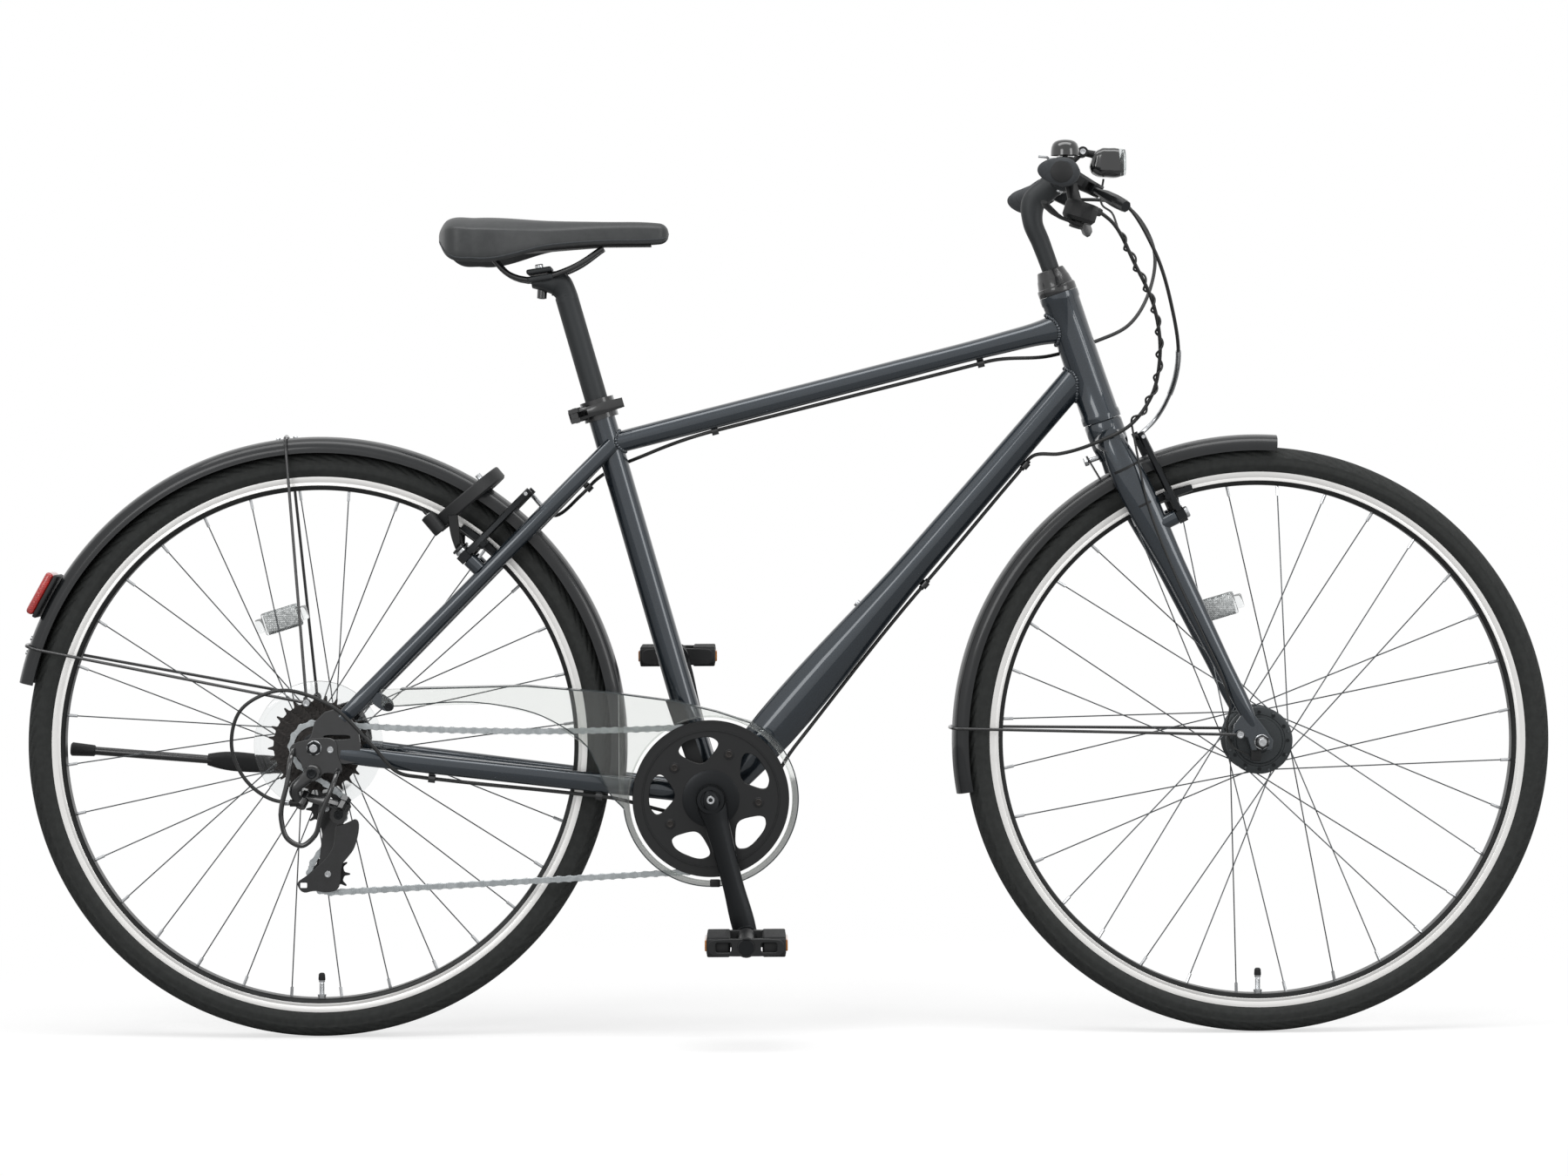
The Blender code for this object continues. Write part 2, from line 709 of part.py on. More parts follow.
def faceted(place, along, width, height):
    """A ring of ten places: the flat-sided section of the down tube."""
    along = Vector(along).normalized()
    above = along.cross(LEFT)
    half = [LEFT * (s * width / 2) + above * (u * height / 2) for s, u in FACETS]
    other = [LEFT * (-s * width / 2) + above * (u * height / 2) for s, u in reversed(FACETS)]
    return [place + p for p in [*half, *other]]


def tapered(sections, sides=8, power=1.0, section=None):
    """A tube through its sections of (place, width, height), its width along Y."""
    rings = []
    for index, (place, width, height) in enumerate(sections):
        before = sections[max(index - 1, 0)][0]
        after = sections[min(index + 1, len(sections) - 1)][0]
        if section is None:
            rings.append(oval(place, after - before, LEFT, width, height, sides, power))
        else:
            rings.append(section(place, after - before, width, height))
    return loft(rings)


def eyelet(place, along, tube):
    """A short guide ring for a cable, on a foot that reaches towards its tube."""
    along = Vector(along).normalized()
    tube = Vector(tube).normalized()
    outer = EYELET_BORE + EYELET_WALL
    half = EYELET_LENGTH / 2
    profile = [(outer, half), (outer, -half), (EYELET_BORE, -half), (EYELET_BORE, half)]
    hoop = turned(profile, place, along, 6, closed=True)
    foot_start = place + tube * (EYELET_BORE + EYELET_WALL / 3)
    foot = rod(foot_start, place + tube * (outer + EYELET_FOOT), 0.0022, sides=4)
    return join(hoop, foot)


def main_frame():
    """The welded front triangle: head, top, down and seat tubes, bracket shell and fittings."""
    low = HEAD_TUBE_START
    high = low + HEAD_TUBE_LENGTH
    wide = HEAD_TUBE_RADIUS + 0.0010
    cup = 0.009
    outline = [(0, high), (wide, high), (wide, high - cup), (HEAD_TUBE_RADIUS, high - cup - 0.001)]
    outline += [(HEAD_TUBE_RADIUS, low + cup + 0.001), (wide, low + cup), (wide, low), (0, low)]
    head = turned(outline, STEER_BASE, STEER_UP, 12)
    top_sections = [
        (TOP_TUBE_REAR, 0.0270, 0.0255),
        (TOP_TUBE_REAR + TOP_TUBE_DIRECTION * 0.030, 0.0275, 0.0258),
        (TOP_TUBE_REAR + TOP_TUBE_DIRECTION * 0.330, 0.0290, 0.0245),
        (TOP_TUBE_REAR + TOP_TUBE_DIRECTION * 0.480, 0.0320, 0.0256),
        (TOP_TUBE_REAR + TOP_TUBE_DIRECTION * 0.530, 0.0335, 0.0300),
        (TOP_TUBE_REAR + TOP_TUBE_DIRECTION * 0.552, 0.0345, 0.0370),
    ]
    top = tapered(top_sections, 10, 0.85)
    reach = (DOWN_TUBE_HIGH - DOWN_TUBE_LOW).length
    down_sections = [
        (DOWN_TUBE_LOW, 0.0380, 0.0340),
        (DOWN_TUBE_LOW + DOWN_TUBE_DIRECTION * 0.040, 0.0400, 0.0440),
        (DOWN_TUBE_LOW + DOWN_TUBE_DIRECTION * reach * 0.55, 0.0400, 0.0370),
        (DOWN_TUBE_LOW + DOWN_TUBE_DIRECTION * (reach - 0.040), 0.0380, 0.0350),
        (DOWN_TUBE_HIGH, 0.0360, 0.0350),
    ]
    down = tapered(down_sections, section=faceted)
    seat = rod(BRACKET, on_seat_tube(SEAT_TUBE_LENGTH), SEAT_TUBE_RADIUS, sides=12)
    half = BRACKET_SHELL_WIDTH / 2
    shell = rod(BRACKET + LEFT * half, BRACKET + RIGHT * half, BRACKET_SHELL_RADIUS, sides=12)
    fittings = []
    for along in (0.219, 0.281):
        foot = DOWN_TUBE_LOW + DOWN_TUBE_DIRECTION * along + DOWN_TUBE_ABOVE * 0.010
        fittings.append(rod(foot, foot + DOWN_TUBE_ABOVE * 0.0140, 0.0055, sides=6))
    for place in DOWN_TUBE_CLIPS:
        fittings.append(eyelet(place, DOWN_TUBE_DIRECTION, DOWN_TUBE_ABOVE))
    for place in TOP_TUBE_CLIPS:
        fittings.append(eyelet(place, TOP_TUBE_DIRECTION, TOP_TUBE_ABOVE))
    body = join(shell, seat, down, top, head, *fittings)
    cup_bore = clear(STEERER_RADIUS, 12)
    bore = [(0, high + 0.01), (cup_bore, high + 0.01), (cup_bore, high - cup), (0.0170, high - cup - 0.002)]
    bore += [(0.0170, low + cup + 0.002), (cup_bore, low + cup), (cup_bore, low - 0.01), (0, low - 0.01)]
    head_bore = turned(bore, STEER_BASE, STEER_UP, 12)
    post_bore = SEAT_POST_RADIUS + GAP
    seat_bore = rod(on_seat_tube(0.215), on_seat_tube(SEAT_TUBE_LENGTH + 0.02), post_bore, sides=12)
    shell_bore = rod(BRACKET + LEFT * 0.05, BRACKET + RIGHT * 0.05, BRACKET_BORE, sides=12)
    return cut(body, head_bore, seat_bore, shell_bore)


def dropout_outline():
    """The hooded dropout, as (forward, up) places from the axle."""
    places = ((-13, 4), (-4, 14), (0, 30), (12, 42), (26, 46), (44, 32), (52, 16), (54, 2))
    places += ((52, -18), (35, -20), (18, -16), (6, -13), (-12, -10))
    return [(x / 1000, z / 1000) for x, z in places]


def rear_dropout(side):
    """One rear dropout: a plate with an open axle slot and a long window."""
    place = REAR_AXLE + side * (REAR_SPACING + DROPOUT_THICKNESS) / 2
    window = [(0.012, 0.010), (0.040, 0.010), (0.041, 0.012), (0.040, 0.014), (0.012, 0.014), (0.011, 0.012)]
    shape = plate(dropout_outline(), DROPOUT_THICKNESS, place, [window])
    slot = rod(place - LEFT * 0.02, place + LEFT * 0.02, clear(AXLE_RADIUS, 6), sides=6)
    mouth = box((0.0102, 0.04, 0.03), place - Vector((0, 0, 0.015)))
    return cut(shape, join(slot, mouth))


def boss(foot, out, side, root, reach):
    """A brake boss: collar, pin through the arm, and the bolt's head that keeps the arm on."""
    place = foot + side * BRAKE_BOSS_SPREAD
    far = reach + ARM_THICKNESS
    collar = rod(place - out * root, place + out * (reach - GAP), 0.0085, sides=6)
    pin = rod(place, place + out * (far + GAP + 0.001), 0.0050, sides=6)
    head = rod(place + out * (far + GAP), place + out * (far + 0.0040), 0.0070, sides=6)
    return join(collar, pin, head)


def rear_triangle():
    """The welded rear triangle: stays, bridges, brake bosses and dropouts."""
    pieces = []
    for side in (LEFT, RIGHT):
        y = side.y
        chain_stay = [
            (at(0.4480, 0.2863, y * 0.0265), 0.0145, 0.0222),
            (at(0.3650, 0.2966, y * 0.0322), 0.0145, 0.0226),
            (at(0.1000, 0.3294, y * 0.0620), 0.0150, 0.0210),
            (at(0.0500, 0.3356, y * 0.0672), 0.0100, 0.0200),
            (at(0.0300, 0.3381, y * 0.0680), 0.0070, 0.0180),
        ]
        seat_stay = [
            (at(0.3480, 0.6991, y * 0.0130), 0.0150, 0.0180),
            (at(0.2950, 0.6455, y * 0.0285), 0.0180, 0.0190),
            (at(0.2500, 0.5999, y * 0.0365), 0.0180, 0.0190),
            (at(0.1880, 0.5372, y * 0.0410), 0.0180, 0.0190),
            (at(0.0760, 0.4238, y * 0.0585), 0.0160, 0.0190),
            (at(0.0500, 0.3975, y * 0.0668), 0.0095, 0.0180),
            (at(0.0320, 0.3793, y * 0.0683), 0.0070, 0.0160),
        ]
        pieces.append(tapered(chain_stay, 8))
        pieces.append(tapered(seat_stay, 8))
        pieces.append(rear_dropout(side))
        pieces.append(boss(REAR_BOSS, STAY_OUT, side, 0.0060, REAR_BOSS_REACH))
    pieces.append(rod(at(0.288, 0.6385, -0.030), at(0.288, 0.6385, 0.030), 0.0065, sides=6))
    pieces.append(rod(at(0.395, 0.2925, -0.030), at(0.395, 0.2925, 0.030), 0.0060, sides=6))
    tab = [(0.073, 0.412), (0.084, 0.406), (0.093, 0.399), (0.090, 0.390), (0.080, 0.391), (0.066, 0.402)]
    tab_line = case_line(0.0930) + CASE_THICKNESS / 2 + GAP + CASE_TAB_THICKNESS / 2
    pieces.append(plate(tab, CASE_TAB_THICKNESS, at(0, 0, tab_line)))
    for place in CHAIN_STAY_CLIPS:
        pieces.append(eyelet(place, at(0.3650, 0.2966) - at(0.0626, 0.3340), Vector((0, 0, 1))))
    pieces.append(eyelet(SEAT_STAY_CLIP, STAY_UP, STAY_OUT * 0.0146 + RIGHT * 0.0080))
    body = join(*pieces)
    half = BRACKET_SHELL_WIDTH
    shell = rod(BRACKET + LEFT * half, BRACKET + RIGHT * half, BRACKET_SHELL_RADIUS + GAP, sides=12)
    seat = rod(on_seat_tube(0.3), on_seat_tube(0.55), SEAT_TUBE_RADIUS + GAP, sides=12)
    return cut(body, shell, seat)


def seat_clamp():
    """The collar that grips the seat post, with its quick-release bolt."""
    outer = SEAT_TUBE_RADIUS + 0.0045
    inner = SEAT_TUBE_RADIUS + GAP
    profile = [(outer, 0.488), (outer, 0.464), (inner, 0.464), (inner, 0.488)]
    collar = turned(profile, BRACKET, SEAT_UP, 12, closed=True)
    lug = box((0.016, 0.022, 0.016), on_seat_tube(0.476, -0.0255), SEAT_UP, 0.002)
    lug = cut(lug, rod(on_seat_tube(0.45), on_seat_tube(0.5), inner, sides=12))
    nut = rod(on_seat_tube(0.476, -0.0276, 0.0100), on_seat_tube(0.476, -0.0276, 0.0180), 0.0065, sides=6)
    bolt = rod(on_seat_tube(0.476, -0.0276, 0.012), on_seat_tube(0.476, -0.0276, -RELEASE_Y), 0.0028, sides=6)
    pin = on_seat_tube(0.476, -0.0276, -RELEASE_Y)
    eye = rod(pin - SEAT_UP * 0.0032, pin + SEAT_UP * 0.0032, 0.0052, sides=6)
    post = rod(pin - SEAT_UP * 0.0090, pin + SEAT_UP * 0.0090, 0.0024, sides=6)
    body = join(collar, lug, nut, bolt, eye, post)
    slit = box((0.030, 0.0020, 0.040), on_seat_tube(0.462, -0.0240), SEAT_UP)
    keep = box((0.012, 0.0060, 0.010), on_seat_tube(0.476, -0.0276), SEAT_UP)
    return cut(body, cut(slit, keep))


def seat_release_lever():
    """The quick-release lever, folded forward beside the collar."""
    pin = on_seat_tube(0.476, -0.0276, -RELEASE_Y)
    hub = rod(pin - SEAT_UP * 0.0085, pin + SEAT_UP * 0.0085, 0.0078, sides=6)
    rings = []
    for ahead, out, width, height in (
        (0.002, 0.0, 0.008, 0.015),
        (0.020, 0.0050, 0.006, 0.013),
        (0.040, 0.0045, 0.005, 0.014),
        (0.058, 0.0005, 0.004, 0.012),
    ):
        centre = pin + SEAT_AHEAD * ahead + RIGHT * out
        rings.append(oval(centre, SEAT_AHEAD, LEFT, width, height, 8, 0.7))
    body = join(hub, loft(rings))
    slot = box((0.0240, 0.0400, 0.0064 + 2 * GAP), pin - SEAT_AHEAD * 0.0058, SEAT_UP)
    bore = rod(pin - SEAT_UP * 0.012, pin + SEAT_UP * 0.012, clear(0.0024, 6), sides=6)
    return cut(body, slot, bore)


def bottom_bracket():
    """The sealed bearing unit, its cups seated against the shell."""
    half = BRACKET_SHELL_WIDTH / 2
    inner = clear(SPINDLE_RADIUS, 12)
    body = BRACKET_BORE - GAP
    left = half + GAP
    right = half + 2 * GAP + CASE_ARM_THICKNESS
    profile = [(0.0200, left + 0.003), (0.0200, left), (body, left), (body, -right)]
    profile += [(0.0200, -right), (0.0200, -right - 0.003), (inner, -right - 0.003), (inner, left + 0.003)]
    return turned(profile, BRACKET, LEFT, 12, closed=True)


# Fork


def blade_place(share, y):
    """A place along the blades' centre line, from crown to end."""
    return BLADE_LINE[0].lerp(BLADE_LINE[1], share) + LEFT * y


def fork():
    """The fork: steerer tube, crown, two tapering blades with bosses and ends."""
    pieces = []
    crown = [(0, CROWN_TOP), (0.0215, CROWN_TOP), (0.0225, CROWN_TOP - 0.004), (0.0225, 0.400)]
    crown += [(0.0190, 0.372), (0, 0.372)]
    body = turned(crown, STEER_BASE, STEER_UP, 12)
    top = HEAD_TUBE_START + HEAD_TUBE_LENGTH + 0.021
    pieces.append(rod(on_steerer(0.390), on_steerer(top), STEERER_RADIUS, sides=12))
    bridge = []
    for y, size in ((-0.040, 0.026), (-0.026, 0.034), (0, 0.038), (0.026, 0.034), (0.040, 0.026)):
        centre = on_steerer(0.3900, 0.0, y)
        bridge.append(oval(centre, LEFT, Vector((1, 0, 0)), size, 0.030, 10, 0.8))
    pieces.append(loft(bridge))
    for side in (LEFT, RIGHT):
        y = side.y
        blade = [
            (on_steerer(0.4000, 0.0, y * 0.0330), 0.0180, 0.0240),
            (blade_place(0.04, y * 0.0365), 0.0200, 0.0340),
            (blade_place(0.47, y * 0.0400), 0.0200, 0.0280),
            (blade_place(0.78, y * 0.0465), 0.0160, 0.0205),
            (blade_place(0.97, y * 0.0515), 0.0100, 0.0160),
            (blade_place(1.01, y * 0.0523), 0.0050, 0.0120),
        ]
        pieces.append(boss(FRONT_BOSS, BLADE_OUT, side, 0.0180, FRONT_BOSS_REACH))
        end = FRONT_AXLE + side * (FRONT_SPACING / 2 + 0.0025)
        outline = [(-0.022, 0.034), (-0.010, 0.034), (0.004, 0.016), (0.0135, 0.002), (0.012, -0.010)]
        outline += [(-0.012, -0.010), (-0.017, 0.005), (-0.034, 0.010), (-0.032, 0.020)]
        drop = plate(outline, 0.0050, end)
        slot = rod(end - LEFT * 0.02, end + LEFT * 0.02, clear(AXLE_RADIUS, 6), sides=6)
        mouth = box((0.0102, 0.04, 0.03), end - Vector((0, 0, 0.015)))
        pieces.append(join(tapered(blade, 8), cut(drop, join(slot, mouth))))
    whole = join(body, *pieces)
    return cut(whole, rod(on_steerer(0.440), on_steerer(0.62), clear(QUILL_RADIUS, 12), sides=12))


def front_brake_places():
    """Where the front brake's arms turn, by side."""
    return BLADE_OUT, BLADE_UP, FRONT_BOSS + BLADE_OUT * (FRONT_BOSS_REACH + ARM_THICKNESS / 2), FRONT_AXLE


def rear_brake_places():
    """Where the rear brake's arms turn, by side."""
    return STAY_OUT, STAY_UP, REAR_BOSS + STAY_OUT * (REAR_BOSS_REACH + ARM_THICKNESS / 2), REAR_AXLE


def brake_arm(frame, side):
    """A linear-pull brake arm with its rubber pad beside the rim."""
    out, up, pivot, centre = frame
    origin = pivot + side * BRAKE_BOSS_SPREAD
    half = ARM_THICKNESS / 2 - GAP
    inward = -side
    hub = rod(origin - out * half, origin + out * half, 0.0095, sides=6)
    hub_rings = []
    for along, shift, width, depth in (
        (0.000, 0.000, 0.0150, 2 * half),
        (0.030, -0.0010, 0.0110, 0.0090),
        (BRAKE_ARM_LENGTH, -0.0010, 0.0080, 0.0080),
    ):
        hub_rings.append(oval(origin + up * along + inward * shift, up, LEFT, width, depth, 6, 0.7))
    arm = loft(hub_rings)
    height = pad_height(frame)
    foot = origin + up * height
    depth = BRAKE_PAD_SETBACK
    pad_place = foot + out * depth
    pad_place.y = side.y * (RIM_WIDTH / 2 + BRAKE_PAD_GAP + 0.0050)
    stud_end = Vector((pad_place.x, foot.y + side.y * 0.0090, pad_place.z))
    bolt = rod(pad_place, stud_end, 0.0035, sides=6)
    holder = box((0.0100, 0.0120, 0.0120), Vector((foot.x, foot.y, foot.z)) + out * depth / 2, out)
    tangent = LEFT.cross(pad_place - (centre + LEFT * pad_place.y)).normalized()
    pad = []
    reach = 0.033
    for step in (-1.0, 0.0, 1.0):
        angle = step * reach / BRAKE_PAD_RADIUS
        radial = (pad_place - centre - LEFT * pad_place.y).normalized()
        middle = centre + (radial * math.cos(angle) + tangent * math.sin(angle)) * BRAKE_PAD_RADIUS
        middle += LEFT * pad_place.y
        along = tangent * math.cos(angle) - radial * math.sin(angle)
        tip = 0.75 if abs(step) == 1 else 1.0
        pad.append(oval(middle, along, LEFT, 0.0100, 0.0110 * tip, 6, 0.5))
    body = join(hub, arm, holder, bolt, loft(pad))
    bore = rod(origin - out * 0.02, origin + out * 0.02, clear(0.0050, 6), sides=6)
    top = arm_top(frame, side)
    hole = rod(top - LEFT * 0.0100, top + LEFT * 0.0100, clear(INNER_WIRE_RADIUS, 4), sides=4)
    return cut(body, bore, hole)


def pad_height(frame):
    """How far up the arm the pad's bolt sits, so that the pad meets the braking wall."""
    out, up, pivot, centre = frame
    low, high = 0.010, 0.060
    for _ in range(40):
        middle = (low + high) / 2
        if (pivot + up * middle - out * 0.0050 - centre).length < BRAKE_PAD_RADIUS:
            low = middle
        else:
            high = middle
    return low


# Mudguards


def guard_ring(centre, radius, angle):
    """The mudguard's section at one angle, a shallow channel of sheet."""
    out = Vector((math.cos(angle), 0, math.sin(angle)))
    half = GUARD_WIDTH / 2
    outline = [(-half, -GUARD_DEPTH), (-half * 0.80, -0.0045), (0, 0)]
    outline += [(half * 0.80, -0.0045), (half, -GUARD_DEPTH)]
    inside = [
        (half - GUARD_SHEET, -GUARD_DEPTH),
        (half * 0.80 - GUARD_SHEET * 0.8, -0.0045 - GUARD_SHEET),
        (0, -GUARD_SHEET),
        (-half * 0.80 + GUARD_SHEET * 0.8, -0.0045 - GUARD_SHEET),
        (-half + GUARD_SHEET, -GUARD_DEPTH),
    ]
    return [centre + LEFT * y + out * (radius + r) for y, r in [*outline, *inside]]


def guard(centre, radius, start, end, steps):
    """A mudguard swept round its wheel."""
    return loft([guard_ring(centre, radius, start + (end - start) * i / steps) for i in range(steps + 1)])


def on_guard(centre, radius, angle, out=0.0, y=0.0):
    """A place above the mudguard's crest, at an angle in degrees."""
    turn = math.radians(angle)
    return centre + Vector((math.cos(turn), 0, math.sin(turn))) * (radius + out) + LEFT * y


def rear_fender():
    """The rear mudguard with the tab that hangs it from the seat stays' bridge."""
    body = guard(REAR_AXLE, REAR_GUARD_RADIUS, REAR_GUARD_START, REAR_GUARD_END, 18)
    bridge = at(0.288, 0.6385)
    out = (bridge - REAR_AXLE).normalized()
    foot = REAR_AXLE + out * (REAR_GUARD_RADIUS - 0.0022)
    top = bridge - out * (0.0065 + GAP)
    tab = box((0.0030, 0.016, (top - foot).length), (foot + top) / 2, out)
    return join(body, tab)


def front_fender():
    """The front mudguard with its tab under the fork crown."""
    body = guard(FRONT_AXLE, FRONT_GUARD_RADIUS, FRONT_GUARD_START, FRONT_GUARD_END, 11)
    bridge = on_steerer(0.3750, -0.030)
    out = (bridge - FRONT_AXLE).normalized()
    foot = FRONT_AXLE + out * (FRONT_GUARD_RADIUS - 0.0022)
    top = FRONT_AXLE + out * (FRONT_GUARD_RADIUS + 0.0300)
    tab = box((0.0020, 0.014, (top - foot).length), (foot + top) / 2, out)
    return join(body, tab)


def guard_stays(centre, radius, angles, anchor, spread):
    """Wire stays: loops over the mudguard's edges that meet on a bolt at each side."""
    edge = GUARD_WIDTH / 2
    pieces = []
    for side in (LEFT, RIGHT):
        y = side.y
        bolt = Vector((anchor.x, y * spread, anchor.z))
        pieces.append(rod(bolt - side * 0.0022, bolt + side * 0.0022, 0.0052, sides=6))
        for angle in angles:
            low = on_guard(centre, radius, angle, -GUARD_DEPTH + 0.002, y * (edge + WIRE_RADIUS + GAP))
            pieces.append(wire([low, bolt], WIRE_RADIUS, 4))
    for angle in angles:
        path = []
        for y, out in ((-1, -GUARD_DEPTH + 0.002), (-1, -0.0035), (-0.55, 0.0016), (0, 0.0028)):
            shift = edge + WIRE_RADIUS + GAP
            path.append(on_guard(centre, radius, angle, out, y * shift))
        path += [mirrored(p) for p in reversed(path[:-1])]
        pieces.append(wire(path, WIRE_RADIUS, 4))
    return pieces


def rear_fender_stays():
    """The rear mudguard's two wire loops, bolted outside the dropouts."""
    anchor = at(-0.0100, 0.3980)
    pieces = guard_stays(REAR_AXLE, REAR_GUARD_RADIUS, (96, 161), anchor, 0.0600)
    return join(*pieces)


def front_fender_stays():
    """The front mudguard's wire loop, bolted outside the fork ends."""
    pieces = guard_stays(FRONT_AXLE, FRONT_GUARD_RADIUS, (177.5,), at(1.0830, 0.3550), 0.0610)
    return join(*pieces)


def rear_reflector():
    """The reflector block standing on the rear mudguard."""
    angle = 151.2
    place = on_guard(REAR_AXLE, REAR_GUARD_RADIUS, angle, 0.0090)
    out = place - REAR_AXLE
    return box((0.058, 0.050, 0.0150), place, out, 0.003)


# Handlebar and controls


def bar_at(y):
    """The middle of the handlebar at a place across the bicycle."""
    side = abs(y)
    centre = Vector((BAR_CENTRE[0], 0, BAR_CENTRE[1]))
    end = Vector((BAR_END[0], 0, BAR_END[1]))
    share = max(0.0, (side - BAR_STRAIGHT) / (BAR_HALF_WIDTH - BAR_STRAIGHT))
    place = centre.lerp(end, share)
    return at(place.x, place.z, y)


def bar_direction(side):
    """The direction of the handlebar's straight end, outwards."""
    return (bar_at(side.y * 0.25) - bar_at(side.y * 0.15)).normalized()


def handlebar():
    """The flat handlebar, thicker where the stem holds it."""
    end = BAR_HALF_WIDTH - 0.0040
    sides = [-end, -BAR_STRAIGHT, -BAR_CLAMP_HALF, BAR_CLAMP_HALF, BAR_STRAIGHT, end]
    thick = BAR_CLAMP_RADIUS / BAR_RADIUS
    radii = [1, 1, thick, thick, 1, 1]
    return wire([bar_at(y) for y in sides], BAR_RADIUS, 12, radii)


def headset_cover():
    """The stepped cover over the steering bearing and the top of the steerer."""
    low = HEAD_TUBE_START + HEAD_TUBE_LENGTH + GAP
    steerer = STEERER_RADIUS + GAP
    quill = clear(QUILL_RADIUS, 12)
    profile = [(0.0160, low + 0.030), (0.0192, low + 0.020), (0.0222, low + 0.010)]
    profile += [(0.0232, low), (steerer, low), (steerer, low + 0.0215)]
    profile += [(quill, low + 0.0215), (quill, low + 0.030)]
    return turned(profile, STEER_BASE, STEER_UP, 12, closed=True)


def stem():
    """The quill stem: a tube up the steerer that bends forward to the handlebar clamp."""
    bar = bar_at(0)
    sections = [
        (on_steerer(0.470), 0.0222, 0.0222),
        (on_steerer(0.640), 0.0222, 0.0222),
        (on_steerer(0.6660, -0.001), 0.0230, 0.0240),
        (at(0.8485, 0.9830), 0.0235, 0.0290),
        (at(0.8640, 0.9985), 0.0260, 0.0290),
        (at(0.8790, 1.0105), 0.0340, 0.0300),
    ]
    neck = tapered(sections, 12, 1.0)
    clamp = rod(bar + LEFT * 0.0235, bar + RIGHT * 0.0235, 0.0190, sides=12)
    wedge = rod(on_steerer(0.455), on_steerer(0.4712), QUILL_RADIUS * 0.9, sides=12)
    body = join(neck, clamp, wedge)
    return cut(body, rod(bar + LEFT * 0.05, bar + RIGHT * 0.05, clear(BAR_CLAMP_RADIUS, 12), sides=12))


def grip(side):
    """A grip with a palm rest behind the bar and a closed outer end."""
    along = bar_direction(side)
    back = Vector((-1, 0, 0.10)).normalized()
    rings = []
    for y, rear, fore, high in (
        (0.160, 0.0165, 0.0165, 0.0160),
        (0.172, 0.0180, 0.0175, 0.0160),
        (0.210, 0.0200, 0.0170, 0.0155),
        (0.250, 0.0265, 0.0170, 0.0160),
        (0.280, 0.0280, 0.0175, 0.0160),
        (BAR_HALF_WIDTH - 0.0020, 0.0240, 0.0160, 0.0145),
        (BAR_HALF_WIDTH, 0.0150, 0.0130, 0.0120),
    ):
        centre = bar_at(side.y * y)
        above = back.cross(along).normalized()
        if above.z < 0:
            above = -above
        outline = ((fore, 0), (fore * 0.75, 0.72), (0, 1), (-rear * 0.62, 0.72), (-rear, 0.12))
        outline += ((-rear * 0.90, -0.45), (-rear * 0.45, -0.88), (0, -1), (fore * 0.75, -0.72))
        rings.append([centre - back * x + above * (z * high) for x, z in outline])
    body = loft(rings)
    start = bar_at(side.y * 0.150)
    end = bar_at(side.y * (BAR_HALF_WIDTH - 0.0040 + GAP))
    return cut(body, rod(start, end, clear(BAR_RADIUS, 10), sides=10))


def lever_pivot(side):
    """The place of a brake lever's pin and the direction of its axis."""
    place = bar_at(side.y * LEVER_PIVOT_Y) + LEVER_REACH * LEVER_PIVOT_REACH
    return place, LEVER_REACH.cross(LEFT)


def brake_mount(side):
    """The clamp that carries a brake lever, with its cable stop and the lever's pin."""
    y = side.y
    low = bar_at(y * 0.1280)
    high = bar_at(y * 0.1480)
    band = rod(low, high, BAR_RADIUS + 0.0045, sides=12)
    pivot, pin_axis = lever_pivot(side)
    middle = bar_at(y * 0.1370)
    body = []
    for reach, shift, width, height in (
        (0.0080, 0.0, 0.0200, 0.0200),
        (0.0240, 0.0, 0.0220, 0.0180),
        (0.0330, 0.0030, 0.0260, 0.0160),
        (0.0470, 0.0060, 0.0220, 0.0150),
    ):
        place = middle + LEVER_REACH * reach + side * shift
        body.append(oval(place, LEVER_REACH, LEFT, width, height, 8, 0.6))
    housing = loft(body)
    stop_start = bar_at(y * 0.1400) + LEVER_REACH * 0.0340
    stop = rod(stop_start, stop_start - side * 0.0300, 0.0048, sides=6)
    slot = box((0.0340, 0.0300, 0.0090 + 2 * GAP), pivot + side * 0.0070 + LEVER_REACH * 0.004, pin_axis)
    pin = rod(pivot - pin_axis * 0.0075, pivot + pin_axis * 0.0075, 0.0025, sides=6)
    housing = join(cut(housing, slot), pin)
    whole = join(band, housing, stop)
    return cut(whole, rod(bar_at(y * 0.10), bar_at(y * 0.20), clear(BAR_RADIUS, 10), sides=10))


def brake_lever(side):
    """The brake lever's blade, turning on the mount's pin."""
    pivot, pin_axis = lever_pivot(side)
    hub = rod(pivot - pin_axis * 0.0045, pivot + pin_axis * 0.0045, 0.0065, sides=6)
    y = side.y
    rings = []
    for across, reach, width, height in (
        (0.1500, 0.0400, 0.0100, 0.0088),
        (0.1660, 0.0480, 0.0120, 0.0088),
        (0.1900, 0.0560, 0.0110, 0.0140),
        (0.2300, 0.0680, 0.0100, 0.0160),
        (0.2600, 0.0760, 0.0095, 0.0150),
        (0.2700, 0.0800, 0.0090, 0.0130),
    ):
        centre = bar_at(y * across) + LEVER_REACH * reach
        rings.append(oval(centre, side, LEVER_REACH, width, height, 8, 0.8))
    body = join(hub, loft(rings))
    return cut(body, rod(pivot - pin_axis * 0.02, pivot + pin_axis * 0.02, clear(0.0025, 6), sides=6))


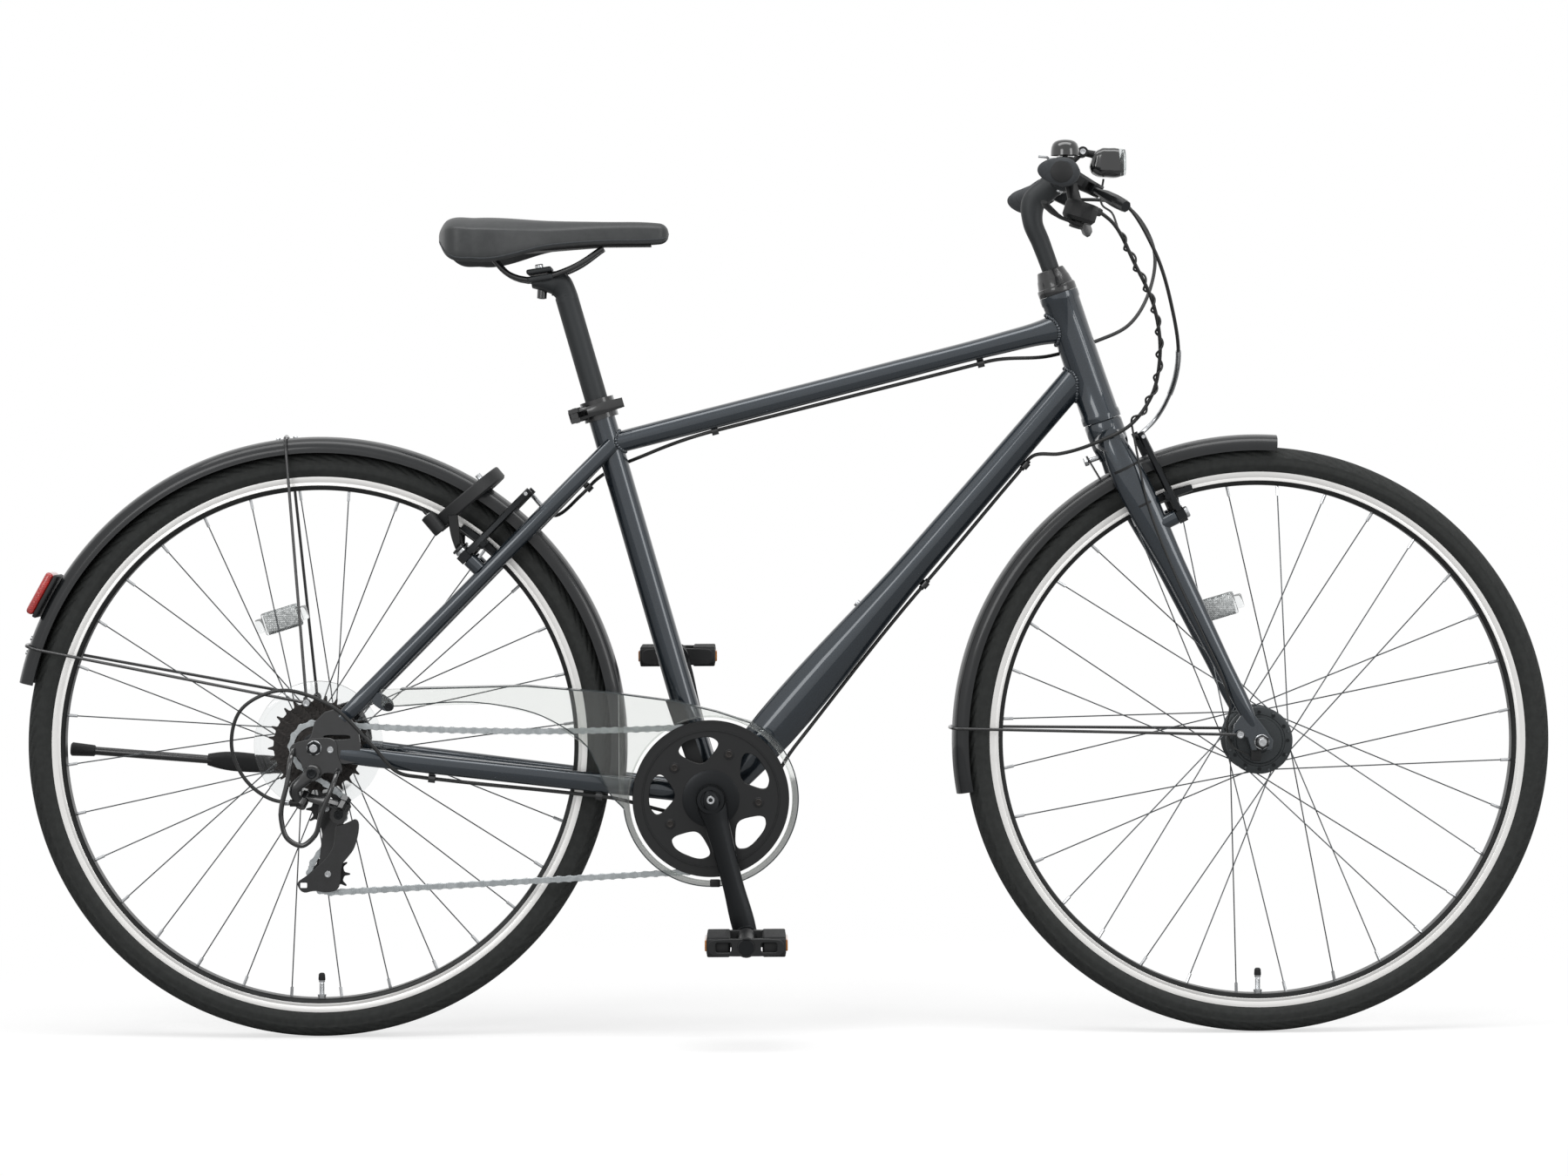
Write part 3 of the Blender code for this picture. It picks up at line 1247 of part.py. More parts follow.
def shifter_right():
    """The right brake mount with the shifter's housing hanging from it."""
    mount = brake_mount(RIGHT)
    pod = bar_at(-POD_CENTRE.y) + Vector((POD_CENTRE.x, 0, POD_CENTRE.z))
    drum = turned(
        [(0, -0.011), (0.0185, -0.011), (0.0200, -0.006), (0.0200, 0.007), (0.017, 0.011), (0, 0.011)],
        pod,
        POD_AXIS,
        10,
    )
    neck_start = bar_at(-0.1420) + LEVER_REACH * 0.010 + Vector((-0.002, 0, -0.006))
    neck = tapered(
        [
            (neck_start, 0.0120, 0.0140),
            (neck_start.lerp(pod, 0.5) + Vector((-0.001, 0, -0.004)), 0.0140, 0.0160),
            (pod + Vector((0, 0.004, 0)), 0.0180, 0.0140),
        ],
        8,
        0.7,
    )
    spigot = rod(pod + POD_AXIS * 0.009, pod + POD_AXIS * 0.0190, 0.0045, sides=6)
    cap = rod(pod + POD_AXIS * (0.0160 + 2 * GAP), pod + POD_AXIS * 0.0190, 0.0080, sides=6)
    outlet = pod + Vector((0.012, 0.010, 0.002))
    stop = rod(outlet, outlet + Vector((0.0120, 0.0130, -0.0010)), 0.0050, sides=6)
    body = join(mount, drum, neck, spigot, cap, stop)
    return cut(body, rod(bar_at(-0.10), bar_at(-0.20), clear(BAR_RADIUS, 10), sides=10))


def pod_place():
    """The middle of the shifter's housing."""
    return bar_at(-POD_CENTRE.y) + Vector((POD_CENTRE.x, 0, POD_CENTRE.z))


def shift_paddle():
    """The thumb paddle, turning on the shifter's axis."""
    centre = pod_place() + POD_AXIS * 0.0138
    hub = rod(centre - POD_AXIS * 0.0022, centre + POD_AXIS * 0.0022, 0.0090, sides=10)
    reach = Vector((-0.82, -0.57, 0))
    reach = (reach - POD_AXIS * reach.dot(POD_AXIS)).normalized()
    across = POD_AXIS.cross(reach)
    rings = []
    for along, width, height, lift in (
        (0.004, 0.012, 0.0040, 0.0),
        (0.024, 0.010, 0.0040, 0.0),
        (0.036, 0.017, 0.0045, -0.002),
        (0.048, 0.019, 0.0045, -0.006),
        (0.055, 0.012, 0.0040, -0.010),
    ):
        rings.append(oval(centre + reach * along + POD_AXIS * lift, reach, across, width, height, 8, 0.8))
    body = join(hub, loft(rings))
    return cut(body, rod(centre - POD_AXIS * 0.01, centre + POD_AXIS * 0.01, clear(0.0045, 6), sides=6))


def bell():
    """The bell: a dome on a post, on a band round the handlebar."""
    place = bar_at(BELL_Y)
    band = rod(bar_at(BELL_Y - 0.005), bar_at(BELL_Y + 0.005), BAR_RADIUS + 0.0030, sides=12)
    base = place + Vector((0, 0, 0.0130))
    foot = rod(base - Vector((0, 0, 0.002)), base + Vector((0, 0, 0.006)), 0.0100, sides=6)
    post = rod(base, base + Vector((0, 0, 0.0256)), 0.0030, sides=6)
    outline = [(0, 0.0265), (0.0115, 0.0260), (0.0160, 0.0215), (0.0165, 0.0080), (0.0150, 0.0080)]
    outline += [(0.0140, 0.0210), (0, 0.0248)]
    dome = turned(outline, base, Vector((0, 0, 1)), 10)
    pin_place = base + Vector((-0.0130, 0, 0.0020))
    arm = box((0.010, 0.006, 0.003), base + Vector((-0.0110, 0, 0.0015)))
    pin = rod(pin_place - Vector((0, 0.0060, 0)), pin_place + Vector((0, 0.0060, 0)), 0.0014, sides=6)
    body = join(band, foot, post, dome, arm, pin)
    return cut(body, rod(bar_at(BELL_Y - 0.02), bar_at(BELL_Y + 0.02), clear(BAR_RADIUS, 10), sides=10))


def striker_pivot():
    """The pin of the bell's striker."""
    return bar_at(BELL_Y) + Vector((-0.0130, 0, 0.0150))


def bell_striker():
    """The sprung striker lever beside the bell."""
    pin = striker_pivot()
    pieces = []
    for y in (-0.0046, 0.0046):
        pieces.append(box((0.0060, 0.0020, 0.0060), pin + Vector((-0.0010, y, 0))))
    bridge = box((0.0020, 0.0112, 0.0050), pin + Vector((-0.0045, 0, 0.0003)))
    path = [pin + Vector((x, 0, z)) for x, z in ((-0.0045, 0.0), (-0.0080, 0.0040), (-0.0180, 0.0050))]
    blade = wire(path, 0.0016, 4)
    body = join(bridge, *pieces, blade)
    return cut(body, rod(pin - LEFT * 0.01, pin + LEFT * 0.01, clear(0.0014, 6), sides=6))


def headlight():
    """The front lamp with its bracket and the band on the handlebar."""
    centre = at(*LAMP)
    rings = []
    for x, width, high, low in (
        (-0.0205, 0.030, 0.0130, -0.0060),
        (-0.0120, 0.036, 0.0175, -0.0145),
        (0.0080, 0.038, 0.0180, -0.0170),
        (0.0120, 0.037, 0.0175, -0.0160),
        (0.0205, 0.034, 0.0150, -0.0135),
    ):
        middle = centre + Vector((x, 0, (high + low) / 2))
        rings.append(oval(middle, Vector((1, 0, 0)), LEFT, width, high - low, 8, 0.55))
    shell = loft(rings)
    bar = bar_at(LAMP[2])
    band = rod(bar_at(LAMP[2] - 0.007), bar_at(LAMP[2] + 0.007), BAR_RADIUS + 0.0035, sides=12)
    knee = at(0.9030, 1.0390, LAMP[2])
    bracket = tapered([(bar + Vector((0.004, 0, 0.010)), 0.012, 0.006), (knee, 0.012, 0.007)], 8)
    pivot = rod(knee + LEFT * 0.009, knee + RIGHT * 0.009, 0.0065, sides=6)
    arm = tapered([(knee, 0.014, 0.008), (centre + Vector((-0.014, 0, 0.010)), 0.016, 0.009)], 8)
    body = join(shell, band, bracket, pivot, arm)
    return cut(body, rod(bar_at(LAMP[2] - 0.009), bar_at(LAMP[2] + 0.009), clear(BAR_RADIUS, 10), sides=10))


# Seat


def seatpost():
    """The seat post with its cranked head and the clamp for the rails."""
    top = on_seat_tube(SEAT_POST_TOP)
    low = on_seat_tube(SEAT_TUBE_LENGTH - SEAT_POST_DEPTH)
    tube = rod(low, top, SEAT_POST_RADIUS, sides=12)
    neck = tapered(
        [
            (on_seat_tube(SEAT_POST_TOP - 0.006), 0.0250, 0.0250),
            (on_seat_tube(SEAT_POST_TOP + 0.004), 0.0260, 0.0260),
            (at(0.2850, 0.8890), 0.0300, 0.0330),
            (at(0.2680, 0.8905), 0.0420, 0.0200),
            (at(0.2540, 0.8900), 0.0440, 0.0110),
        ],
        8,
        0.8,
    )
    rail = (SADDLE_RAIL[2] - SADDLE_RAIL[1]).normalized()
    up = rail.cross(LEFT)
    middle = SADDLE_RAIL[1].lerp(SADDLE_RAIL[2], 0.47)
    block = box((0.0300, 0.0560, 0.0150), middle + up * 0.001, up)
    knob = rod(middle + up * 0.006, middle + up * 0.0150, 0.0080, sides=6)
    nut = rod(at(0.2660, 0.8890), at(0.2650, 0.8720), 0.0060, sides=6)
    body = join(tube, neck, block, knob, nut)
    channels = []
    for y in (SADDLE_RAIL_SPREAD, -SADDLE_RAIL_SPREAD):
        start = middle - rail * 0.04 + LEFT * y
        channels.append(rod(start, start + rail * 0.08, clear(0.0035, 6), sides=6))
    return cut(body, *channels)


def saddle_sections():
    """The saddle's sections: place along, half width, top, middle edge, skirt and underside."""
    return (
        (0.1440, 0.0480, 0.9560, 0.9450, 0.9350, 0.9370),
        (0.1560, 0.0700, 0.9640, 0.9500, 0.9200, 0.9300),
        (0.1900, 0.0775, 0.9665, 0.9500, 0.9120, 0.9300),
        (0.2800, 0.0430, 0.9630, 0.9490, 0.9290, 0.9360),
        (0.3400, 0.0260, 0.9620, 0.9520, 0.9340, 0.9400),
        (0.3950, 0.0215, 0.9610, 0.9520, 0.9350, 0.9400),
        (0.4160, 0.0150, 0.9560, 0.9500, 0.9400, 0.9430),
    )


def saddle():
    """The padded saddle: a coarse cage round its form, subdivided."""
    rings = []
    for x, half, top, edge, skirt, under in saddle_sections():
        outline = ((0, top), (half * 0.60, top + 0.0005), (half * 0.98, edge + 0.003))
        outline += ((half, skirt + 0.003), (half * 0.88, skirt), (half * 0.78, under), (0, under))
        ring_places = [at(x, z, y) for y, z in outline]
        ring_places += [at(x, z, -y) for y, z in reversed(outline[1:-1])]
        rings.append(ring_places)
    cage = loft(rings)
    form = cage.modifiers.new("form", "SUBSURF")
    form.levels = 1
    form.render_levels = 1
    return made_mesh(cage)


def saddle_rails():
    """The two rails and the hard base under the padding."""
    pieces = []
    for y in (SADDLE_RAIL_SPREAD, -SADDLE_RAIL_SPREAD):
        path = [
            SADDLE_RAIL[0] + LEFT * y,
            SADDLE_RAIL[0].lerp(SADDLE_RAIL[1], 0.80) + LEFT * y,
            SADDLE_RAIL[1].lerp(SADDLE_RAIL[2], 0.10) + LEFT * y,
            SADDLE_RAIL[1].lerp(SADDLE_RAIL[2], 0.90) + LEFT * y,
            SADDLE_RAIL[2].lerp(SADDLE_RAIL[3], 0.20) + LEFT * y,
            SADDLE_RAIL[3] + LEFT * (y * 0.60),
        ]
        pieces.append(wire(path, 0.0035, 8))
    rings = []
    for x, half, _, _, _, under in saddle_sections()[2:6]:
        high = under - BASE_DROP
        low = high - 0.0040
        inside = half * 0.56
        outline = ((inside, low), (inside, high), (-inside, high), (-inside, low))
        rings.append([at(x, z, y) for y, z in outline])
    return join(loft(rings), *pieces)


# Cables


def brake_stop_end(side):
    """The mouth of a brake mount's cable stop."""
    return bar_at(side.y * 0.1400) + LEVER_REACH * 0.0340 - side * (0.0300 + 3 * GAP)


def arm_top(frame, side):
    """The hole at the top of a brake arm, through which the wire runs."""
    _, up, pivot, _ = frame
    return pivot + up * (BRAKE_ARM_LENGTH - 0.0060) + side * BRAKE_BOSS_SPREAD


def brake_wire(frame, side):
    """Places of the brake wire and its boot, from the sleeve's arm to the other one."""
    near = arm_top(frame, side)
    far = arm_top(frame, -side)
    return [
        (near + side * 0.0058, 1.0),
        (near + side * 0.0052, INNER_WIRE_RADIUS / CABLE_RADIUS),
        (near.lerp(far, 0.22), INNER_WIRE_RADIUS / CABLE_RADIUS),
        (near.lerp(far, 0.23), 2.0),
        (near.lerp(far, 0.55), 1.4),
        (near.lerp(far, 0.56), INNER_WIRE_RADIUS / CABLE_RADIUS),
        (far - side * 0.0056, INNER_WIRE_RADIUS / CABLE_RADIUS),
        (far - side * 0.0058, 1.1),
        (far - side * 0.0100, 1.1),
    ]


def front_brake_cable():
    """The front brake's cable: housing, silver sleeve, wire and boot."""
    start = brake_stop_end(RIGHT)
    near = arm_top(front_brake_places(), LEFT)
    housing = smooth(
        [
            start,
            start + Vector((0.004, 0.018, 0)),
            at(0.9500, 0.9780, -0.0640),
            at(0.9860, 0.9250, -0.0480),
            at(1.0090, 0.8600, -0.0220),
            at(1.0200, 0.7890, 0.0200),
            at(1.0130, 0.7560, 0.0440),
            near + Vector((0.022, 0.022, 0.018)),
            near + Vector((0.005, 0.0150, 0.003)),
        ],
        3,
    )
    tail = brake_wire(front_brake_places(), LEFT)
    points = housing + [p for p, _ in tail]
    radii = [1.0] * len(housing) + [r for _, r in tail]
    return wire(points, CABLE_RADIUS, 4, radii)


def rear_brake_cable():
    """The rear brake's cable: under the top tube, along the left seat stay, to the arms."""
    start = brake_stop_end(LEFT)
    near = arm_top(rear_brake_places(), LEFT)
    along = TOP_TUBE_DIRECTION * 0.012
    stay = STAY_UP * 0.012
    housing = smooth(
        [
            start,
            start + Vector((0.004, -0.018, 0)),
            at(0.9640, 0.9840, 0.0850),
            at(1.0000, 0.9300, 0.0950),
            at(0.9910, 0.8760, 0.0800),
            at(0.9655, 0.8390, 0.0600),
            at(0.9240, 0.8190, 0.0420),
            at(0.8700, 0.8020, 0.0240),
            TOP_TUBE_CLIPS[0] + along,
            TOP_TUBE_CLIPS[0] - along,
            (TOP_TUBE_CLIPS[0] + TOP_TUBE_CLIPS[1]) / 2,
            TOP_TUBE_CLIPS[1] + along,
            TOP_TUBE_CLIPS[1] - along,
            at(0.3900, 0.6880, 0.0180),
            SEAT_STAY_CLIP + stay,
            SEAT_STAY_CLIP - stay,
            at(0.2700, 0.6160, 0.0560),
            near + Vector((0.012, 0.0180, -0.014)),
            near + Vector((0.001, 0.0140, -0.001)),
        ],
        2,
    )
    tail = brake_wire(rear_brake_places(), LEFT)
    points = housing + [p for p, _ in tail]
    radii = [1.0] * len(housing) + [r for _, r in tail]
    return wire(points, CABLE_RADIUS, 4, radii)


def shift_route():
    """The shift cable's course, from the shifter to the derailleur's cable stop."""
    pod = pod_place()
    start = pod + Vector((0.012, 0.010, 0.002)) + Vector((0.0120, 0.0130, -0.0010)) * 1.06
    down = DOWN_TUBE_DIRECTION * 0.014
    stay = (at(0.3650, 0.2966) - at(0.0626, 0.3340)).normalized() * 0.012
    front = [
        start,
        start + Vector((0.014, 0.013, -0.010)),
        at(0.9570, 0.9040, -0.1240),
        at(0.9810, 0.8560, -0.1000),
        at(0.9900, 0.7960, -0.0740),
        at(0.9820, 0.7530, -0.0580),
        at(0.9590, 0.7200, -0.0520),
        at(0.9180, 0.6980, -0.0400),
        at(0.8760, 0.6850, -0.0130),
        DOWN_TUBE_CLIPS[0] + down,
    ]
    rear = [
        DOWN_TUBE_CLIPS[0] - down,
        DOWN_TUBE_CLIPS[1] + down,
        DOWN_TUBE_CLIPS[1] - down,
        at(0.5620, 0.3400, -0.0020),
        at(0.5000, 0.2620, -0.0060),
        at(0.4600, 0.2540, -0.0130),
        at(0.4100, 0.2660, -0.0260),
        CHAIN_STAY_CLIPS[0] + stay,
        CHAIN_STAY_CLIPS[0] - stay,
        CHAIN_STAY_CLIPS[1] + stay,
        CHAIN_STAY_CLIPS[1] - stay,
        at(0.0980, 0.3170, -0.0730),
        at(0.0700, 0.3480, -0.0850),
        at(0.0200, 0.3970, -0.0900),
        at(-0.0415, 0.4140, -0.0900),
        at(-0.0850, 0.3900, -0.0880),
        at(-0.0950, 0.3500, -0.0850),
        at(-0.0750, 0.3050, -0.0815),
        at(-0.0480, 0.2865, -0.0800),
        CABLE_ANCHOR + Vector((-0.0143 - GAP, 0, 0.0)),
    ]
    return front, rear


def shift_cable():
    """The shift cable from the handlebar to the derailleur."""
    front, rear = shift_route()
    return wire(smooth(front + rear, 2), CABLE_RADIUS, 4)


def course_frames(points):
    """Running length, place and two across directions along a smooth course."""
    frames = []
    length = 0.0
    side = Vector((0.3, 0.9, 0.2))
    for index, place in enumerate(points):
        ahead = points[min(index + 1, len(points) - 1)] - points[max(index - 1, 0)]
        ahead.normalize()
        side = (side - ahead * side.dot(ahead)).normalized()
        if index:
            length += (place - points[index - 1]).length
        frames.append((length, place, side.copy(), ahead.cross(side)))
    return frames


def frame_at(frames, length):
    """The frame at a running length of a course."""
    for low, high in zip(frames, frames[1:]):
        if high[0] >= length:
            share = (length - low[0]) / (high[0] - low[0])
            return [low[k].lerp(high[k], share) for k in (1, 2, 3)]
    return list(frames[-1][1:])


def winding():
    """Places of the lead where it is wound round the shift cable, eight to a turn."""
    front, rear = shift_route()
    points = smooth(front + rear, 2)[: 2 * (len(front) - 4) + 1]
    frames = course_frames(points)
    start = 0.040
    end = frames[-1][0]
    count = 8 * WINDING_TURNS
    found = []
    for index in range(count + 1):
        place, side, other = frame_at(frames, start + (end - start) * index / count)
        angle = math.tau * WINDING_TURNS * index / count
        found.append(place + (side * math.cos(angle) + other * math.sin(angle)) * WINDING_RADIUS)
    return found


def dynamo_lead():
    """The lamp's lead: wound round the shift cable, then down the right fork blade to the hub."""
    curls = winding()
    lamp = at(*LAMP)
    start = [lamp + Vector((-0.0060, -0.002, -0.0185)), lamp + Vector((-0.0100, -0.0100, -0.0400))]
    start.append(curls[0] + Vector((-0.004, 0.024, 0.020)))
    half = LEAD_RADIUS + GAP
    blade = [
        at(0.9640, 0.6900, -0.0500 - half),
        at(0.9760, 0.6300, -0.0500 - half),
        at(1.0090, 0.5420, -0.0505 - half),
        at(1.0400, 0.4740, -0.0530 - half),
        at(1.0660, 0.4130, -0.0560 - half),
        at(1.0720, 0.3860, -0.0530),
        at(1.0690, 0.3640, -0.0480),
        at(1.0760, 0.3400, -0.0450),
        at(1.0950, 0.3300, -0.0450),
    ]
    path = smooth([*start, curls[0]], 2)[:-1] + curls + smooth([curls[-1], *blade], 2)[1:]
    return wire(path, LEAD_RADIUS, 6)


# Drive


def pitch_radius(teeth):
    """Radius of the circle through the chain's pins on a sprocket."""
    return PITCH / (2 * math.sin(math.pi / teeth))


def tooth_outline(teeth, phase, corners):
    """A sprocket's outline with its teeth between the chain's pins, phase at a pin."""
    radius = pitch_radius(teeth)
    root = radius - 0.0047
    tip = radius + 0.0026
    found = []
    for index in range(teeth):
        middle = phase + math.tau * (index + 0.5) / teeth
        if corners == 4:
            places = ((root, -0.0019), (tip, -0.0009), (tip, 0.0009), (root, 0.0019))
        elif corners == 3:
            places = ((root, -0.0021), (tip, 0.0), (root, 0.0021))
        else:
            places = ((root, -PITCH / 2 * root / radius), (tip, 0.0))
        for r, across in places:
            angle = middle + across / r
            found.append((r * math.cos(angle), r * math.sin(angle)))
    return found


def cage_place(place, turn):
    """A place of the derailleur's cage, turned about the cage's pivot."""
    arm = place - CAGE_PIVOT
    return CAGE_PIVOT + Matrix.Rotation(-turn, 3, "Y") @ arm


def chain_course(turn):
    """A dense closed course of the chain for a turn of the cage, with its winding wheels."""
    pulley = pitch_radius(PULLEY_TEETH)
    cog = REAR_AXLE + LEFT * SMALL_COG_LINE
    ring_centre = BRACKET + LEFT * CHAIN_LINE
    wheels = [
        (cog, pitch_radius(FREEWHEEL_TEETH[0]), 1),
        (ring_centre, pitch_radius(CHAINRING_TEETH), 1),
        (cage_place(TENSION_PLACE, turn), pulley, 1),
        (cage_place(GUIDE_PLACE, turn), pulley, -1),
    ]
    ends = []
    for index, (place, radius, sense) in enumerate(wheels):
        other, other_radius, other_sense = wheels[(index + 1) % 4]
        gap = Vector((other.x - place.x, other.z - place.z))
        change = (sense * radius - other_sense * other_radius) / gap.length
        angle = math.atan2(gap.y, gap.x) - math.asin(change)
        normal = angle + math.pi / 2
        ends.append(normal)
    course = []
    for index, (place, radius, sense) in enumerate(wheels):
        first = ends[index - 1]
        last = ends[index]
        if sense < 0:
            first += math.pi
            last += math.pi
        sweep = (last - first) % math.tau
        if sense > 0:
            sweep = sweep - math.tau if sweep else 0.0
        count = max(8, int(abs(sweep) / math.radians(0.6)))
        for step in range(count + 1):
            angle = first + sweep * step / count
            spot = place + Vector((math.cos(angle), 0, math.sin(angle))) * radius
            course.append((spot, index))
        other = wheels[(index + 1) % 4]
        normal = ends[index] + (math.pi if other[2] < 0 else 0.0)
        goal = other[0] + Vector((math.cos(normal), 0, math.sin(normal))) * other[1]
        begin = course[-1][0]
        span = (goal - begin).length
        count = max(2, int(span / 0.002))
        sag = CHAIN_SAG if index == 0 else 0.0
        for step in range(1, count):
            share = step / count
            spot = begin.lerp(goal, share)
            spot.y = begin.y + (goal.y - begin.y) * min(max((share - RUN_IN) / (1 - 2 * RUN_IN), 0.0), 1.0)
            spot.z -= 4 * sag * share * (1 - share)
            course.append((spot, None))
    return course, wheels


def chain_pins(turn):
    """Pins stepped along the course by the chain's pitch, and what is left at the end."""
    course, wheels = chain_course(turn)
    start = next(i for i, (_, wheel) in enumerate(course) if wheel == 0) + 12
    course = course[start:] + course[:start]
    points = [spot for spot, _ in course] + [course[0][0]]
    homes = [wheel for _, wheel in course] + [course[0][1]]
    pins = [(points[0], homes[0])]
    index = 1
    while index < len(points):
        last = pins[-1][0]
        if (points[index] - last).length >= PITCH:
            low = points[index - 1]
            high = points[index]
            share_low, share_high = 0.0, 1.0
            for _ in range(30):
                share = (share_low + share_high) / 2
                if (low.lerp(high, share) - last).length < PITCH:
                    share_low = share
                else:
                    share_high = share
            home = homes[index] if homes[index] == homes[index - 1] else None
            pins.append((low.lerp(high, share_low), home))
            points[index - 1] = pins[-1][0]
            continue
        index += 1
    left = (points[-1] - pins[-1][0]).length
    return pins, left, wheels


def closed_chain():
    """The cage's turn and the pins for which the chain closes on a whole number of links."""

    def links(turn):
        found, rest, _ = chain_pins(turn)
        return len(found) - 1 + rest / PITCH

    goal = 2 * round(links(0.0) / 2)
    low, high = math.radians(-14), math.radians(14)
    slope = 1 if links(high) > links(low) else -1
    for _ in range(34):
        middle = (low + high) / 2
        if slope * (links(middle) - goal) < 0:
            low = middle
        else:
            high = middle
    pins, left, wheels = chain_pins(high)
    return high, pins[:goal], wheels


def sprocket_phase(pins, wheels, index):
    """The angle of a pin that lies on a wheel, so that the teeth fall between the pins."""
    centre, radius, _ = wheels[index]
    angles = []
    for spot, _ in pins:
        arm = Vector((spot.x - centre.x, spot.z - centre.z))
        if abs(arm.length - radius) < 0.00005:
            angles.append(math.atan2(arm.y, arm.x))
    return angles[len(angles) // 2]


def zip_faces(work, first, second):
    """Triangles between two rows of corners that lie across the chain."""
    i, j = 0, 0
    while i < len(first) - 1 or j < len(second) - 1:
        step_first = j == len(second) - 1
        if i < len(first) - 1 and j < len(second) - 1:
            step_first = first[i + 1].co.y <= second[j + 1].co.y
        if step_first:
            work.faces.new((first[i], first[i + 1], second[j]))
            i += 1
        else:
            work.faces.new((first[i], second[j + 1], second[j]))
            j += 1


def chain_mesh(pins, wheels):
    """The chain as one body: pin blocks joined by side plates, solid where it runs straight."""
    count = len(pins)
    places = [spot for spot, _ in pins]

    def windowed(index):
        middle = (places[index] + places[(index + 1) % count]) / 2
        for centre, radius, _ in wheels:
            arm = Vector((middle.x - centre.x, middle.z - centre.z))
            if arm.length < radius + CHAIN_WAIST_HEIGHT + 0.0033:
                return True
        return False

    open_links = [windowed(i) for i in range(count)]
    work = bmesh.new()

    def station(place, above, height, wide):
        sides = (-CHAIN_HALF_WIDTH, -CHAIN_HALF_GAP, CHAIN_HALF_GAP, CHAIN_HALF_WIDTH)
        if not wide:
            sides = (-CHAIN_HALF_WIDTH, CHAIN_HALF_WIDTH)
        top = [work.verts.new(place + above * height + LEFT * s) for s in sides]
        return top, [work.verts.new(place - above * height + LEFT * s) for s in sides]

    def bar(first, second):
        for k in range(2):
            zip_faces(work, first[k], second[k])
        for s in (0, -1):
            work.faces.new((first[0][s], second[0][s], second[1][s], first[1][s]))

    def side_plates(first, second):
        for low_side, high_side in ((0, 1), (2, 3)):
            corners = []
            for top, low in (first, second):
                corners.append((top[low_side], top[high_side], low[high_side], low[low_side]))
            for k in range(4):
                n = (k + 1) % 4
                work.faces.new((corners[0][k], corners[0][n], corners[1][n], corners[1][k]))
        for top, low in (first, second):
            work.faces.new((top[1], top[2], low[2], low[1]))

    starts, ends = [], []
    for index in range(count):
        here = places[index]
        after = places[(index + 1) % count]
        along = (after - here).normalized()
        above = along.cross(LEFT).normalized()
        wide = open_links[index]
        first = second = None
        if wide or open_links[index - 1]:
            first = station(here + along * CHAIN_PIN_HALF_LENGTH, above, CHAIN_PIN_HEIGHT, wide)
        if wide or open_links[(index + 1) % count]:
            second = station(after - along * CHAIN_PIN_HALF_LENGTH, above, CHAIN_PIN_HEIGHT, wide)
        starts.append(first)
        ends.append(second)
    for index in range(count):
        if starts[index] is None:
            here = places[index]
            along = (places[(index + 1) % count] - places[index - 1]).normalized()
            shared = station(here, along.cross(LEFT).normalized(), CHAIN_PIN_HEIGHT, False)
            starts[index] = shared
            ends[index - 1] = shared
    for index in range(count):
        if open_links[index]:
            side_plates(starts[index], ends[index])
        else:
            bar(starts[index], ends[index])
        after = (index + 1) % count
        if ends[index] is not starts[after]:
            bar(ends[index], starts[after])
    return from_bmesh(work)


def stacked(centre, layers, core, bore, sides):
    """Toothed plates on one core as one body: layers of (outline, windows, near, far) along Y."""
    work = bmesh.new()

    def loop(outline, y):
        verts = [work.verts.new(centre + Vector((x, y, z))) for x, z in outline]
        count = len(verts)
        return verts, [work.edges.new((verts[i], verts[(i + 1) % count])) for i in range(count)]

    def wall(first, second):
        count = len(first)
        for i in range(count):
            n = (i + 1) % count
            work.faces.new((first[i], first[n], second[n], second[i]))

    def cap(loops):
        edges = [edge for _, edges in loops for edge in edges]
        bmesh.ops.triangle_fill(work, use_beauty=True, use_dissolve=False, edges=edges)

    core_outline = circle((0, 0), core, sides)
    bore_outline = circle((0, 0), bore, sides)
    joined = None
    bores = []
    for index, (outline, windows, near, far) in enumerate(layers):
        outer_near, outer_far = loop(outline, near), loop(outline, far)
        wall(outer_near[0], outer_far[0])
        near_loops, far_loops = [outer_near], [outer_far]
        for window in windows:
            window_near, window_far = loop(window, near), loop(window, far)
            wall(window_near[0], window_far[0])
            near_loops.append(window_near)
            far_loops.append(window_far)
        for loops, y, last in ((near_loops, near, index == 0), (far_loops, far, index == len(layers) - 1)):
            inner = loop(bore_outline if last else core_outline, y)
            loops.append(inner)
            cap(loops)
            if last:
                bores.append(inner[0])
            elif y == near:
                wall(joined, inner[0])
            else:
                joined = inner[0]
    wall(bores[0], bores[1])
    return from_bmesh(work)


def freewheel(phase):
    """Seven sprockets on one core, the smallest outside."""
    half = SPROCKET_THICKNESS / 2
    layers = []
    for index, teeth in enumerate(FREEWHEEL_TEETH):
        line = SMALL_COG_LINE + COG_SPACING * index
        layers.append((tooth_outline(teeth, phase, 2 if index else 4), [], line - half, line + half))
    return stacked(REAR_AXLE, layers, 0.0205, clear(FREEWHEEL_SEAT, 12), 12)


def petal(angle):
    """A window of the chainring and its guard: a rounded triangle, as (forward, up) places."""
    places = ((0.043, -7), (0.043, 7), (0.0660, 24), (0.0740, 12), (0.0740, -12), (0.0660, -24))
    found = []
    for radius, shift in places:
        turn = angle + math.radians(shift)
        found.append((radius * math.cos(turn), radius * math.sin(turn)))
    return found


